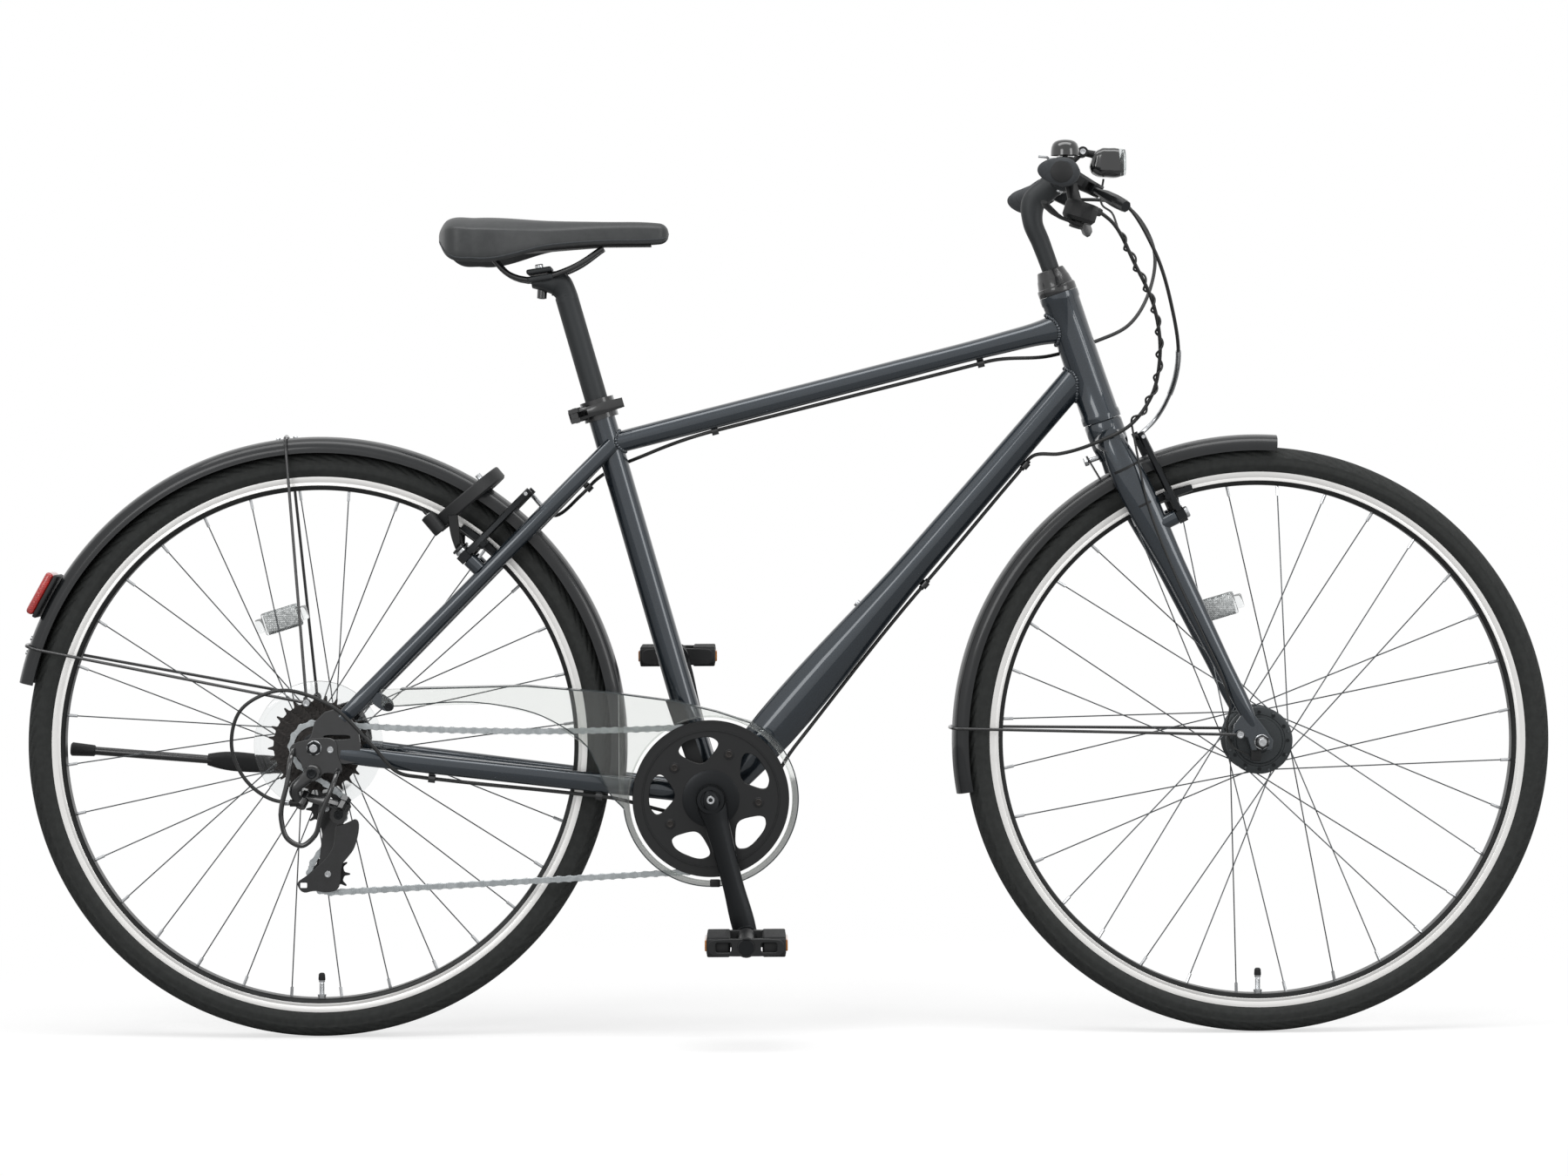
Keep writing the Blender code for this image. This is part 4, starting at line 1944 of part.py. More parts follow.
def chainring(phase):
    """The chainring with the round guard disc bolted outside it."""
    windows = [petal(CRANK_TURN + WINDOW_TURN + math.tau * (i + 0.5) / 5) for i in range(5)]
    half = SPROCKET_THICKNESS / 2
    layers = [
        (circle((0, 0), GUARD_RADIUS, 32), windows, GUARD_LINE - 0.0015, GUARD_LINE + 0.0015),
        (tooth_outline(CHAINRING_TEETH, phase, 3), windows, CHAIN_LINE - half, CHAIN_LINE + half),
    ]
    return stacked(BRACKET, layers, 0.0340, clear(CRANK_BOSS_RADIUS, 12), 12)


def crank_direction(side):
    """The direction of a crank arm from the bracket."""
    sense = -side.y
    return Vector((math.cos(CRANK_TURN), 0, math.sin(CRANK_TURN))) * sense


def pedal_centre(side):
    """The middle of a pedal."""
    return BRACKET + crank_direction(side) * CRANK_LENGTH + side * PEDAL_LINE


def crank_arm(side, boss_radius):
    """A faceted crank arm with its boss, the pedal's pin and its collar."""
    along = crank_direction(side)
    across = along.cross(side)
    rings = []
    for reach, width, depth, inner in (
        (-0.0150, 0.0200, 0.0160, 0.0600),
        (0.0000, 0.0330, 0.0180, 0.0600),
        (0.0300, 0.0290, 0.0170, 0.0605),
        (0.1000, 0.0245, 0.0140, 0.0640),
        (CRANK_LENGTH - 0.006, 0.0270, 0.0130, 0.0670),
        (CRANK_LENGTH + 0.008, 0.0260, 0.0130, 0.0670),
        (CRANK_LENGTH + 0.0145, 0.0150, 0.0125, 0.0670),
    ):
        centre = BRACKET + along * reach + side * (inner + depth / 2)
        rings.append([centre + across * (u * width) + side * (v * depth) for u, v in CRANK_SECTION])
    arm = loft(rings)
    hub = rod(BRACKET + side * 0.0435, BRACKET + side * 0.0780, boss_radius, sides=12)
    place = BRACKET + along * CRANK_LENGTH
    pin = rod(place + side * 0.0700, place + side * 0.1740, PEDAL_PIN_RADIUS, sides=6)
    collar = rod(place + side * 0.0780, place + side * 0.0835, 0.0080, sides=6)
    return join(arm, hub, pin, collar)


def right_crank():
    """The right crank with the spindle through the bottom bracket."""
    spindle = rod(BRACKET + RIGHT * 0.0500, BRACKET + LEFT * 0.0610, SPINDLE_RADIUS, sides=12)
    return join(crank_arm(RIGHT, CRANK_BOSS_RADIUS), spindle)


def left_crank():
    """The left crank, bored for the spindle's end."""
    bore = rod(BRACKET + LEFT * 0.0300, BRACKET + LEFT * (0.0610 + GAP), SPINDLE_RADIUS + GAP, sides=12)
    return cut(crank_arm(LEFT, 0.0150), bore)


def pedal(side):
    """A block pedal: core, two tread blocks and two end plates."""
    centre = pedal_centre(side)
    core = rod(centre - side * 0.0500, centre + side * 0.0480, 0.0120, sides=10)
    pieces = []
    for x in (-0.0320, 0.0320):
        pieces.append(box((0.0280, 0.0860, 0.0240), centre + Vector((x, side.y * 0.0005, 0)), None, 0.003))
    for y in (-0.0445, 0.0450):
        pieces.append(box((0.0860, 0.0080, 0.0200), centre + side * y))
    body = join(core, *pieces)
    end = PEDAL_LINE - 0.1740 - RUNNING_GAP
    bore = rod(centre - side * 0.0600, centre - side * end, clear(PEDAL_PIN_RADIUS, 6), sides=6)
    return cut(body, bore)


# Chain case


def case_line(x):
    """How far to the side the chain case's panel lies, at a place along."""
    share = max(0.0, (CASE_FOLD - x) / (CASE_FOLD - CASE_TAIL))
    return CASE_FRONT_LINE + (CASE_TAIL_LINE - CASE_FRONT_LINE) * share


def chain_case():
    """The clear chain case: a ringed panel, a sloping tail, a top lip and the inner arm."""
    bx, bz = BRACKET_X, BRACKET_Z
    round_edge = [(bx + x, bz + z) for x, z in arc((0, 0), 0.1030, 62, -173, 22)]
    outline = [*round_edge, (0.3550, 0.2780), (0.3550, 0.4072), (0.4190, 0.3980), (0.4700, 0.3855)]
    hole = [(bx + x, bz + z) for x, z in circle((0, 0), 0.0960, 30)]
    front = plate(outline, CASE_THICKNESS, at(0, 0, CASE_FRONT_LINE), [hole])
    tail = [(0.3610, 0.2720), (0.3470, 0.2860), (0.3190, 0.3440), (0.2660, 0.3810), (0.2050, 0.3960)]
    tail += [(0.0780, 0.3935), (0.0780, 0.4140), (0.2460, 0.4170), (0.3475, 0.4080), (0.3610, 0.4061)]
    tail = [(x - CASE_FOLD, z) for x, z in tail]
    slope = Vector((CASE_FOLD - CASE_TAIL, CASE_FRONT_LINE - CASE_TAIL_LINE, 0)).normalized()
    across = Vector((0, 0, 1)).cross(slope)
    rear = plate(tail, CASE_THICKNESS, at(CASE_FOLD, 0, CASE_FRONT_LINE), (), across, slope)
    rings = []
    for x, z in ((0.100, 0.4144), *CASE_TOP[1:]):
        outer = case_line(x) - CASE_THICKNESS / 4
        corners = ((outer, 0), (-0.034, 0), (-0.034, 0.0015), (outer, 0.0015))
        rings.append([at(x, z - t, y) for y, t in corners])
    lip = loft(rings)
    arm_line = -BRACKET_SHELL_WIDTH / 2 - GAP - CASE_ARM_THICKNESS / 2
    collar = circle((bx, bz), 0.0235, 12)
    bore = circle((bx, bz), BRACKET_BORE + GAP, 12)
    eye = plate(collar, CASE_ARM_THICKNESS, at(0, 0, arm_line), [bore])
    strip = [(bx - 0.018, bz + 0.012), (bx - 0.002, bz + 0.0215), (0.4290, 0.3965), (0.4090, 0.3990)]
    arm = plate(strip, CASE_ARM_THICKNESS, at(0, 0, arm_line))
    return join(front, rear, lip, eye, arm)


# Derailleur


def derailleur_base():
    """The hanger plate, the derailleur's fixed knuckle, its cable stop and the wire guard."""
    outline = [(0.027, 0.352), (0.020, 0.358), (0.006, 0.358), (-0.008, 0.356), (-0.024, 0.352)]
    outline += [(-0.029, 0.346), (-0.027, 0.338), (-0.018, 0.334), (-0.013, 0.322), (-0.010, 0.309)]
    outline += [(0.006, 0.309), (0.012, 0.318), (0.030, 0.314), (0.034, 0.322), (0.027, 0.336)]
    middle = PLATE_INNER - HANGER_THICKNESS / 2
    hole = circle((0, TYRE_RADIUS), clear(AXLE_RADIUS, 8), 8)
    hanger = plate(outline, HANGER_THICKNESS, at(0, 0, middle), [hole])
    pivot = at(-0.0020, 0.3170)
    drum = rod(pivot + LEFT * (PLATE_INNER - 0.0015), pivot + LEFT * -0.0840, 0.0095, sides=10)
    side = SWING_AXIS
    lug_start = BASE_JOINT - side * 0.0150
    lug = rod(lug_start, BASE_JOINT - side * (0.0052 + GAP), 0.0070, sides=6)
    pin = rod(lug_start, BASE_JOINT + side * 0.0058, 0.0024, sides=6)
    neck = tapered(
        [
            (pivot + LEFT * -0.0790, 0.0100, 0.0160),
            (at(-0.0225, 0.2960, -0.0835), 0.0100, 0.0120),
            (BASE_JOINT - side * 0.0118, 0.0060, 0.0080),
        ],
        8,
        0.8,
    )
    stop = rod(CABLE_ANCHOR, CABLE_ANCHOR + Vector((-0.0140, 0, 0)), 0.0042, sides=6)
    guard_path = [
        at(-0.0240, 0.3450, middle),
        at(-0.0255, 0.3360, -0.0870),
        at(-0.0290, 0.3100, -0.0930),
        at(-0.0370, 0.2650, -0.0945),
        at(-0.0290, 0.2420, -0.0945),
        at(-0.0130, 0.2350, -0.0945),
        at(0.0020, 0.2460, -0.0945),
        at(0.0100, 0.2700, -0.0960),
        at(0.0240, 0.3060, -0.0930),
        at(0.0270, 0.3170, -0.0840),
        at(0.0275, 0.3200, middle),
    ]
    return join(hanger, drum, lug, neck, pin, stop, wire(guard_path, 0.0030, 6))


def derailleur_link():
    """The outer link of the derailleur's parallelogram."""
    half = 0.0052
    side = SWING_AXIS
    pieces = []
    for place in (BASE_JOINT, KNUCKLE_JOINT):
        pieces.append(rod(place - side * half, place + side * half, 0.0058, sides=6))
    rings = []
    for share, thick in ((0.02, 0.0070), (0.25, 0.0080), (0.75, 0.0080), (0.98, 0.0070)):
        centre = BASE_JOINT.lerp(KNUCKLE_JOINT, share)
        rings.append(oval(centre, LINK_DIRECTION, side, 2 * half - 0.0006, thick, 8, 0.6))
    body = join(*pieces, loft(rings))
    bores = []
    for place in (BASE_JOINT, KNUCKLE_JOINT):
        bores.append(rod(place - side * 0.02, place + side * 0.02, clear(0.0024, 6), sides=6))
    return cut(body, *bores)


def derailleur_knuckle():
    """The moving knuckle between the link and the cage."""
    side = SWING_AXIS
    lug = rod(KNUCKLE_JOINT + side * (0.0052 + GAP), KNUCKLE_JOINT + side * 0.0120, 0.0070, sides=6)
    pin = rod(KNUCKLE_JOINT + side * 0.0120, KNUCKLE_JOINT - side * 0.0058, 0.0024, sides=6)
    pivot = Vector((CAGE_PIVOT.x, 0, CAGE_PIVOT.z))
    drum = rod(pivot + LEFT * (CAGE_OUTER - CAGE_SHEET / 2 - GAP), pivot + LEFT * -0.0760, 0.0105, sides=10)
    joint = Vector((KNUCKLE_JOINT.x, 0, KNUCKLE_JOINT.z))
    neck = tapered(
        [
            (pivot + LEFT * -0.0710, 0.0080, 0.0160),
            (pivot.lerp(joint, 0.7) + Vector((0.006, -0.0735, 0.004)), 0.009, 0.0130),
            (KNUCKLE_JOINT + side * 0.0095, 0.0080, 0.0100),
        ],
        8,
        0.8,
    )
    body = join(drum, lug, neck, pin)
    bore = rod(pivot + LEFT * -0.0600, pivot + LEFT * (CAGE_PIN_END - GAP), clear(0.0040, 6), sides=6)
    return cut(body, bore)


def cage_sheet(turn, line, foot):
    """One side plate of the cage, round both pulleys."""
    guide = cage_place(GUIDE_PLACE, turn)
    tension = cage_place(TENSION_PLACE, turn)
    shift = (guide - tension).normalized()
    ahead = Vector((shift.z, 0, -shift.x))
    places = []
    for centre, x, z in (
        (guide, 0.0085, 0.0085),
        (guide, 0.0000, 0.0110),
        (guide, -0.0090, 0.0060),
        (guide, -0.0105, -0.0060),
        (guide, -0.0060, -0.0300),
        (tension, -0.0110, 0.0080),
        (tension, -0.0120, -0.0060),
        (tension, -0.0050, -0.0130),
        (tension, 0.0070, -0.0120),
        (tension, 0.0130, -0.0020),
        (tension, 0.0100, 0.0120),
        (guide, 0.0110, -0.0330),
    ):
        places.append(centre + ahead * x + shift * z)
    if foot:
        pivot = CAGE_PIVOT
        places.append(pivot + ahead * 0.0060 - shift * 0.0090)
        places.append(pivot + ahead * 0.0105)
        places.append(pivot + ahead * 0.0060 + shift * 0.0090)
    base = at(0, 0, 0)
    return plate([(p.x - base.x, p.z) for p in places], CAGE_SHEET, at(0, 0, line))


def derailleur_cage(turn):
    """The cage: two side plates, the pulleys' bolts and the pivot's pin."""
    outer = cage_sheet(turn, CAGE_OUTER, True)
    inner = cage_sheet(turn, CAGE_INNER, False)
    pieces = []
    for place in (GUIDE_PLACE, TENSION_PLACE):
        spot = cage_place(place, turn)
        spot.y = 0
        pieces.append(rod(spot + LEFT * CAGE_OUTER, spot + LEFT * CAGE_INNER, 0.0030, sides=6))
    pivot = Vector((CAGE_PIVOT.x, 0, CAGE_PIVOT.z))
    pieces.append(rod(pivot + LEFT * CAGE_OUTER, pivot + LEFT * CAGE_PIN_END, 0.0040, sides=6))
    return join(outer, inner, *pieces)


def pulley(place, phase):
    """A toothed pulley of the derailleur."""
    outline = tooth_outline(PULLEY_TEETH, phase, 3)
    toothed = plate(outline, 0.0022, place)
    hub = rod(place - LEFT * 0.0045, place + LEFT * 0.0045, 0.0070, sides=6)
    bore = rod(place - LEFT * 0.02, place + LEFT * 0.02, clear(0.0030, 6), sides=6)
    return cut(join(toothed, hub), bore)


# Stand and lock


def rear_axle():
    """The rear axle with its nuts, and the stand's plate clamped at the left."""
    left = REAR_SPACING / 2 + DROPOUT_THICKNESS + GAP
    right = -(PLATE_INNER - HANGER_THICKNESS - GAP)
    body = axle(REAR_AXLE, REAR_SPACING, left + STAND_PLATE - 0.0010, right, 0.0035)
    outline = [(0.012, 0.356), (-0.012, 0.358), (-0.026, 0.340), (-0.034, 0.314)]
    outline += [(-0.026, 0.302), (-0.010, 0.303), (-0.004, 0.316), (0.010, 0.336)]
    sheet = plate(outline, STAND_PLATE, at(0, 0, left + STAND_PLATE / 2))
    pin = rod(STAND_PIVOT + STAND_AXIS * 0.0120, STAND_PIVOT - STAND_AXIS * 0.0080, 0.0040, sides=6)
    cap = rod(STAND_PIVOT - STAND_AXIS * (0.0056 + GAP), STAND_PIVOT - STAND_AXIS * 0.0080, 0.0080, sides=6)
    return join(body, sheet, pin, cap)


def stand_leg():
    """The side stand's leg with its boot and foot, folded back."""
    turn = math.radians(175)
    along = Vector((math.cos(turn), 0, math.sin(turn)))
    along = (along - STAND_AXIS * along.dot(STAND_AXIS)).normalized()
    hub = rod(STAND_PIVOT - STAND_AXIS * 0.0056, STAND_PIVOT + STAND_AXIS * 0.0060, 0.0110, sides=10)
    side = STAND_AXIS
    boot = []
    for reach, width, height in (
        (0.004, 0.0100, 0.0180),
        (0.050, 0.0110, 0.0220),
        (0.115, 0.0110, 0.0200),
        (0.125, 0.0100, 0.0140),
    ):
        boot.append(oval(STAND_PIVOT + along * reach, along, side, width, height, 8, 0.7))
    leg = wire([STAND_PIVOT + along * 0.10, STAND_PIVOT + along * STAND_LENGTH], 0.0052, 10)
    tip = STAND_PIVOT + along * STAND_LENGTH
    foot = wire([tip - along * 0.022, tip], 0.0085, 10)
    body = join(hub, loft(boot), leg, foot)
    bore = rod(STAND_PIVOT - STAND_AXIS * 0.02, STAND_PIVOT + STAND_AXIS * 0.02, clear(0.0040, 6), sides=6)
    return cut(body, bore)


def lock_place(angle, radius, out=0.0):
    """A place in the ring lock's plane: angle from its top, counted to the left."""
    return LOCK_CENTRE + (LOCK_UP * math.cos(angle) + LEFT * math.sin(angle)) * radius + LOCK_OUT * out


def lock_sweep(section, start, end, steps):
    """A section of (radius, out) places swept round the lock's ring."""
    rings = []
    for index in range(steps + 1):
        angle = start + (end - start) * index / steps
        rings.append([lock_place(angle, r, o) for r, o in section])
    return loft(rings)


def ring_lock():
    """The ring lock: a horseshoe channel over the wheel, brackets, cylinder and key."""
    r = LOCK_RADIUS
    section = [(r - 0.008, -0.008), (r + 0.008, -0.008), (r + 0.008, 0.008), (r + 0.0048, 0.008)]
    section += [(r + 0.0048, -0.0034), (r - 0.0048, -0.0034), (r - 0.0048, 0.008), (r - 0.008, 0.008)]
    limit = math.pi - LOCK_GAP_HALF
    body = lock_sweep(section, -limit, limit, 20)
    pieces = []
    bosses = REAR_BOSS + STAY_OUT * (REAR_BOSS_REACH + ARM_THICKNESS + 0.0040 + GAP)
    for side in (LEFT, RIGHT):
        start = lock_place(side.y * math.radians(105), r + 0.0085, -0.004)
        end = bosses + side * BRAKE_BOSS_SPREAD + STAY_OUT * 0.0016
        lift = STAY_OUT * 0.0014
        knee = end.lerp(start, 0.3) + lift
        pieces.append(tapered([(start, 0.005, 0.012), (knee, 0.004, 0.010), (end + lift, 0.004, 0.006)], 6))
        pieces.append(rod(end - STAY_OUT * 0.0016, end + STAY_OUT * 0.0018, 0.0080, sides=6))
    barrel = lock_place(-math.radians(128), r + 0.0125, 0.002)
    pieces.append(rod(barrel - LOCK_OUT * 0.012, barrel + LOCK_OUT * 0.014, 0.0085, sides=6))
    pieces.append(box((0.0020, 0.0120, 0.0160), barrel + LOCK_OUT * 0.021, LOCK_OUT))
    return join(body, *pieces)


def lock_bolt():
    """The lock's curved bolt, drawn back into the left half of the ring, with its thumb lever."""
    r = LOCK_RADIUS
    half = 0.0040
    section = [(r - half, -0.0030), (r + half, -0.0030), (r + half, 0.0046), (r - half, 0.0046)]
    limit = math.pi - LOCK_GAP_HALF
    body = lock_sweep(section, limit - math.radians(1), limit - math.radians(100), 7)
    angle = limit - math.radians(90)
    knob = rod(lock_place(angle, r, 0.003), lock_place(angle, r, 0.0170), 0.0036, sides=6)
    return join(body, knob)


def front_axle():
    """The front axle with its nuts, and the dynamo's connector at the right."""
    nut = FRONT_SPACING / 2 + 0.0050 + GAP
    body = axle(FRONT_AXLE, FRONT_SPACING, nut, nut, 0.0035)
    block = box((0.0120, 0.0080, 0.0180), FRONT_AXLE + Vector((-0.0060, -0.0450, -0.0140)), None, 0.001)
    return join(body, block)


# Assembly


def build_frame():
    """The parts that stand still with the frame."""
    root = axis("frame_axis", Vector((0, 0, 0)))
    part("main_frame", main_frame(), "paint", root)
    part("rear_triangle", rear_triangle(), "paint", root)
    part("seat_clamp", seat_clamp(), "black_metal", root)
    part("bottom_bracket", bottom_bracket(), "black_metal", root)
    part("rear_axle", rear_axle(), "steel", root)
    part("rear_fender", rear_fender(), "black_plastic", root)
    part("rear_fender_stays", rear_fender_stays(), "black_metal", root)
    part("rear_reflector", rear_reflector(), "red", root)
    part("chain_case", chain_case(), "clear", root)
    part("ring_lock", ring_lock(), "black_plastic", root)
    part("derailleur_base", derailleur_base(), "black_metal", root)
    part("rear_brake_cable", rear_brake_cable(), "black_plastic", root)
    part("shift_cable", shift_cable(), "black_plastic", root)
    return root


def build_steering(root):
    """The fork with everything that turns with it."""
    steering = axis("steering_axis", STEER_BASE + STEER_UP * HEAD_TUBE_START, root)
    part("fork", fork(), "paint", steering)
    part("headset_cover", headset_cover(), "black_metal", steering)
    part("stem", stem(), "grey_alloy", steering)
    part("handlebar", handlebar(), "black_metal", steering)
    part("grip_right", grip(RIGHT), "rubber", steering)
    part("grip_left", grip(LEFT), "rubber", steering)
    part("shifter_right", shifter_right(), "black_plastic", steering)
    part("brake_mount_left", brake_mount(LEFT), "black_plastic", steering)
    part("bell", bell(), "black_metal", steering)
    part("headlight", headlight(), "black_plastic", steering)
    part("front_brake_cable", front_brake_cable(), "black_plastic", steering)
    part("dynamo_lead", dynamo_lead(), "rubber", steering)
    part("front_fender", front_fender(), "black_plastic", steering)
    part("front_fender_stays", front_fender_stays(), "black_metal", steering)
    part("front_axle", front_axle(), "steel", steering)
    for side, name in ((RIGHT, "right"), (LEFT, "left")):
        pivot, _ = lever_pivot(side)
        carrier = axis("brake_lever_" + name + "_axis", pivot, steering)
        part("brake_lever_" + name, brake_lever(side), "black_metal", carrier)
        frame = front_brake_places()
        carrier = axis("front_brake_" + name + "_axis", frame[2] + side * BRAKE_BOSS_SPREAD, steering)
        part("front_brake_arm_" + name, brake_arm(frame, side), "black_metal", carrier)
        frame = rear_brake_places()
        carrier = axis("rear_brake_" + name + "_axis", frame[2] + side * BRAKE_BOSS_SPREAD, root)
        part("rear_brake_arm_" + name, brake_arm(frame, side), "black_metal", carrier)
    part("shift_paddle", shift_paddle(), "black_plastic", axis("paddle_axis", pod_place(), steering))
    part("bell_striker", bell_striker(), "black_plastic", axis("striker_axis", striker_pivot(), steering))
    build_wheel("front", FRONT_AXLE, front_hub, axis("front_wheel_axis", FRONT_AXLE, steering))


def build_seat(root):
    """The seat post with the saddle, and the quick-release lever."""
    slider = axis("seat_axis", on_seat_tube(SEAT_TUBE_LENGTH), root)
    part("seatpost", seatpost(), "black_metal", slider)
    part("saddle", saddle(), "vinyl", slider)
    part("saddle_rails", saddle_rails(), "black_metal", slider)
    pin = axis("release_axis", on_seat_tube(0.476, -0.0276, -RELEASE_Y), root)
    part("seat_release_lever", seat_release_lever(), "black_metal", pin)


def build_drive(root):
    """Cranks, pedals, chain, freewheel, derailleur and the rear wheel."""
    turn, pins, wheels = closed_chain()
    part("chain", chain_mesh(pins, wheels), "steel", root)
    crank = axis("crank_axis", BRACKET, root)
    part("right_crank", right_crank(), "black_metal", crank)
    part("chainring", chainring(sprocket_phase(pins, wheels, 1)), "black_metal", crank)
    part("left_crank", left_crank(), "black_metal", crank)
    part("right_pedal", pedal(RIGHT), "black_plastic", axis("right_pedal_axis", pedal_centre(RIGHT), crank))
    part("left_pedal", pedal(LEFT), "black_plastic", axis("left_pedal_axis", pedal_centre(LEFT), crank))
    rear = axis("rear_wheel_axis", REAR_AXLE, root)
    build_wheel("rear", REAR_AXLE, rear_hub, rear)
    cogs = axis("freewheel_axis", REAR_AXLE, root)
    part("freewheel", freewheel(sprocket_phase(pins, wheels, 0)), "steel", cogs)
    swing = axis("link_axis", BASE_JOINT, root)
    part("derailleur_link", derailleur_link(), "black_metal", swing)
    knuckle = axis("knuckle_axis", KNUCKLE_JOINT, swing)
    part("derailleur_knuckle", derailleur_knuckle(), "black_metal", knuckle)
    cage = axis("cage_axis", CAGE_PIVOT, knuckle)
    part("derailleur_cage", derailleur_cage(turn), "black_metal", cage)
    for index, name, place in ((3, "guide", GUIDE_PLACE), (2, "tension", TENSION_PLACE)):
        spot = cage_place(place, turn)
        carrier = axis(name + "_axis", spot, cage)
        part(name + "_pulley", pulley(spot, sprocket_phase(pins, wheels, index)), "black_plastic", carrier)


def build_small_parts(root):
    """The side stand's leg and the lock's bolt."""
    part("stand_leg", stand_leg(), "black_metal", axis("stand_axis", STAND_PIVOT, root))
    part("lock_bolt", lock_bolt(), "steel", axis("lock_axis", LOCK_CENTRE, root))


def main():
    """Clears the scene and builds the bicycle."""
    for obj in list(bpy.data.objects):
        bpy.data.objects.remove(obj)
    bpy.context.scene.collection.children.link(bpy.data.collections.new("bicycle"))
    root = build_frame()
    build_steering(root)
    build_seat(root)
    build_drive(root)
    build_small_parts(root)


main()
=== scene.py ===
"""Looks of the city bicycle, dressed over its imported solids.

Metres, +X forward, +Y to the rider's left, +Z up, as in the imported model. Places along X are
counted from the rear axle and places along Z from the ground, and at() turns them into the world.
"""

import json
import logging
import math
from dataclasses import dataclass, replace
from enum import Enum

import bmesh
import bpy
import numpy as np
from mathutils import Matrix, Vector
from mathutils.geometry import tessellate_polygon

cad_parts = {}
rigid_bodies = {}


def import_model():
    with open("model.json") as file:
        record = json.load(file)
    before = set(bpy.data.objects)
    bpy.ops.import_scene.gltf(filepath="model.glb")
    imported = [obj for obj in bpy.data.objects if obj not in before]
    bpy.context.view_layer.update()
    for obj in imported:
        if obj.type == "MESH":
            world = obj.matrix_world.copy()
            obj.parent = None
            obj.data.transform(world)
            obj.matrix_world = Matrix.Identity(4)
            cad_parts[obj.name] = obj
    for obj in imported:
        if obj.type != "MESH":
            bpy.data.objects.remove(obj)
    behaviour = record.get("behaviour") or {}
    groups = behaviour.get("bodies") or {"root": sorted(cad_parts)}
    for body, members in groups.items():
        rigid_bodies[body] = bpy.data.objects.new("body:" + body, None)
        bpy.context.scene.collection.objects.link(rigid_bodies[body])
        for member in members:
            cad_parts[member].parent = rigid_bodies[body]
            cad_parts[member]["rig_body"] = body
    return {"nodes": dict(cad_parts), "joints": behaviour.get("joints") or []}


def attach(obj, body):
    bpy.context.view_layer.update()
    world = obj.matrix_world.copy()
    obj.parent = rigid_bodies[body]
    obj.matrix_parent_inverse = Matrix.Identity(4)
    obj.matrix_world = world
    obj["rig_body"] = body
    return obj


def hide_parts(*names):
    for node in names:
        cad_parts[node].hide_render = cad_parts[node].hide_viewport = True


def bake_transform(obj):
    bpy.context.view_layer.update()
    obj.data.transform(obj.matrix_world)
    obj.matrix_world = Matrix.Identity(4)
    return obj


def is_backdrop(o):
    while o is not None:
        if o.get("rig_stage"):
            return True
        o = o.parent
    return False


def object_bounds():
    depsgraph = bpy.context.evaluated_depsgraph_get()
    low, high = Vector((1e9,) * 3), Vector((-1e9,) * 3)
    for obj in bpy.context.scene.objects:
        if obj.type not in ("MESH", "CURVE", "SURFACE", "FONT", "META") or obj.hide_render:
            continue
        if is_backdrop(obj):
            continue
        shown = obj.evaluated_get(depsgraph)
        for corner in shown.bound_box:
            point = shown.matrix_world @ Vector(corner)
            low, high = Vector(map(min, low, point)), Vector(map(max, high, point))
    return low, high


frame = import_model()

logging.basicConfig(level=logging.INFO, format="%(message)s")
log = logging.getLogger("bicycle")
Array = np.ndarray
TAU = math.tau
WHITE = (1, 1, 1, 1)

# Directions and main places
AHEAD = np.array((1.0, 0.0, 0.0))
LEFT = np.array((0.0, 1.0, 0.0))
RIGHT = -LEFT
UP = np.array((0.0, 0.0, 1.0))
REAR_X = -0.549477
AXLE_HEIGHT = 0.346
WHEELBASE = 1.109
BRACKET_X = 0.462704
BRACKET_Z = 0.2828
HEAD_ANGLE = math.radians(71.3)
SEAT_ANGLE = math.radians(74.1)
FORK_RAKE = 0.050
GAP = 0.0003


def at(x: float, z: float, y: float = 0.0) -> Array:
    """World place of x from the rear axle and z from the ground."""
    return np.array((REAR_X + x, y, z))


def unit(direction: Array) -> Array:
    """The same direction with a length of one."""
    return np.asarray(direction, float) / np.linalg.norm(direction)


REAR_AXLE = at(0, AXLE_HEIGHT)
FRONT_AXLE = at(WHEELBASE, AXLE_HEIGHT)
BRACKET = at(BRACKET_X, BRACKET_Z)
STEER_UP = np.array((-math.cos(HEAD_ANGLE), 0.0, math.sin(HEAD_ANGLE)))
STEER_AHEAD = np.array((math.sin(HEAD_ANGLE), 0.0, math.cos(HEAD_ANGLE)))
SEAT_UP = np.array((-math.cos(SEAT_ANGLE), 0.0, math.sin(SEAT_ANGLE)))
SEAT_AHEAD = np.array((math.sin(SEAT_ANGLE), 0.0, math.cos(SEAT_ANGLE)))
STEER_BASE = FRONT_AXLE - STEER_AHEAD * FORK_RAKE
STAY_UP = unit(at(0.337, 0.688) - at(0.0426, 0.390))
STAY_OUT = np.array((-STAY_UP[2], 0.0, STAY_UP[0]))
REAR_BOSS = at(0.188, 0.5565)
BOSS_REACH = 0.040


def on_steerer(up: float, ahead: float = 0.0, y: float = 0.0) -> Array:
    """World place along the steering axis, from the foot of the axle's perpendicular."""
    return STEER_BASE + STEER_UP * up + STEER_AHEAD * ahead + LEFT * y


def on_seat_tube(up: float, ahead: float = 0.0, y: float = 0.0) -> Array:
    """World place along the seat tube, from the bottom bracket."""
    return BRACKET + SEAT_UP * up + SEAT_AHEAD * ahead + LEFT * y


def facing(turn: float) -> Array:
    """The direction at an angle from ahead, turned upwards."""
    return np.array((math.cos(turn), 0.0, math.sin(turn)))


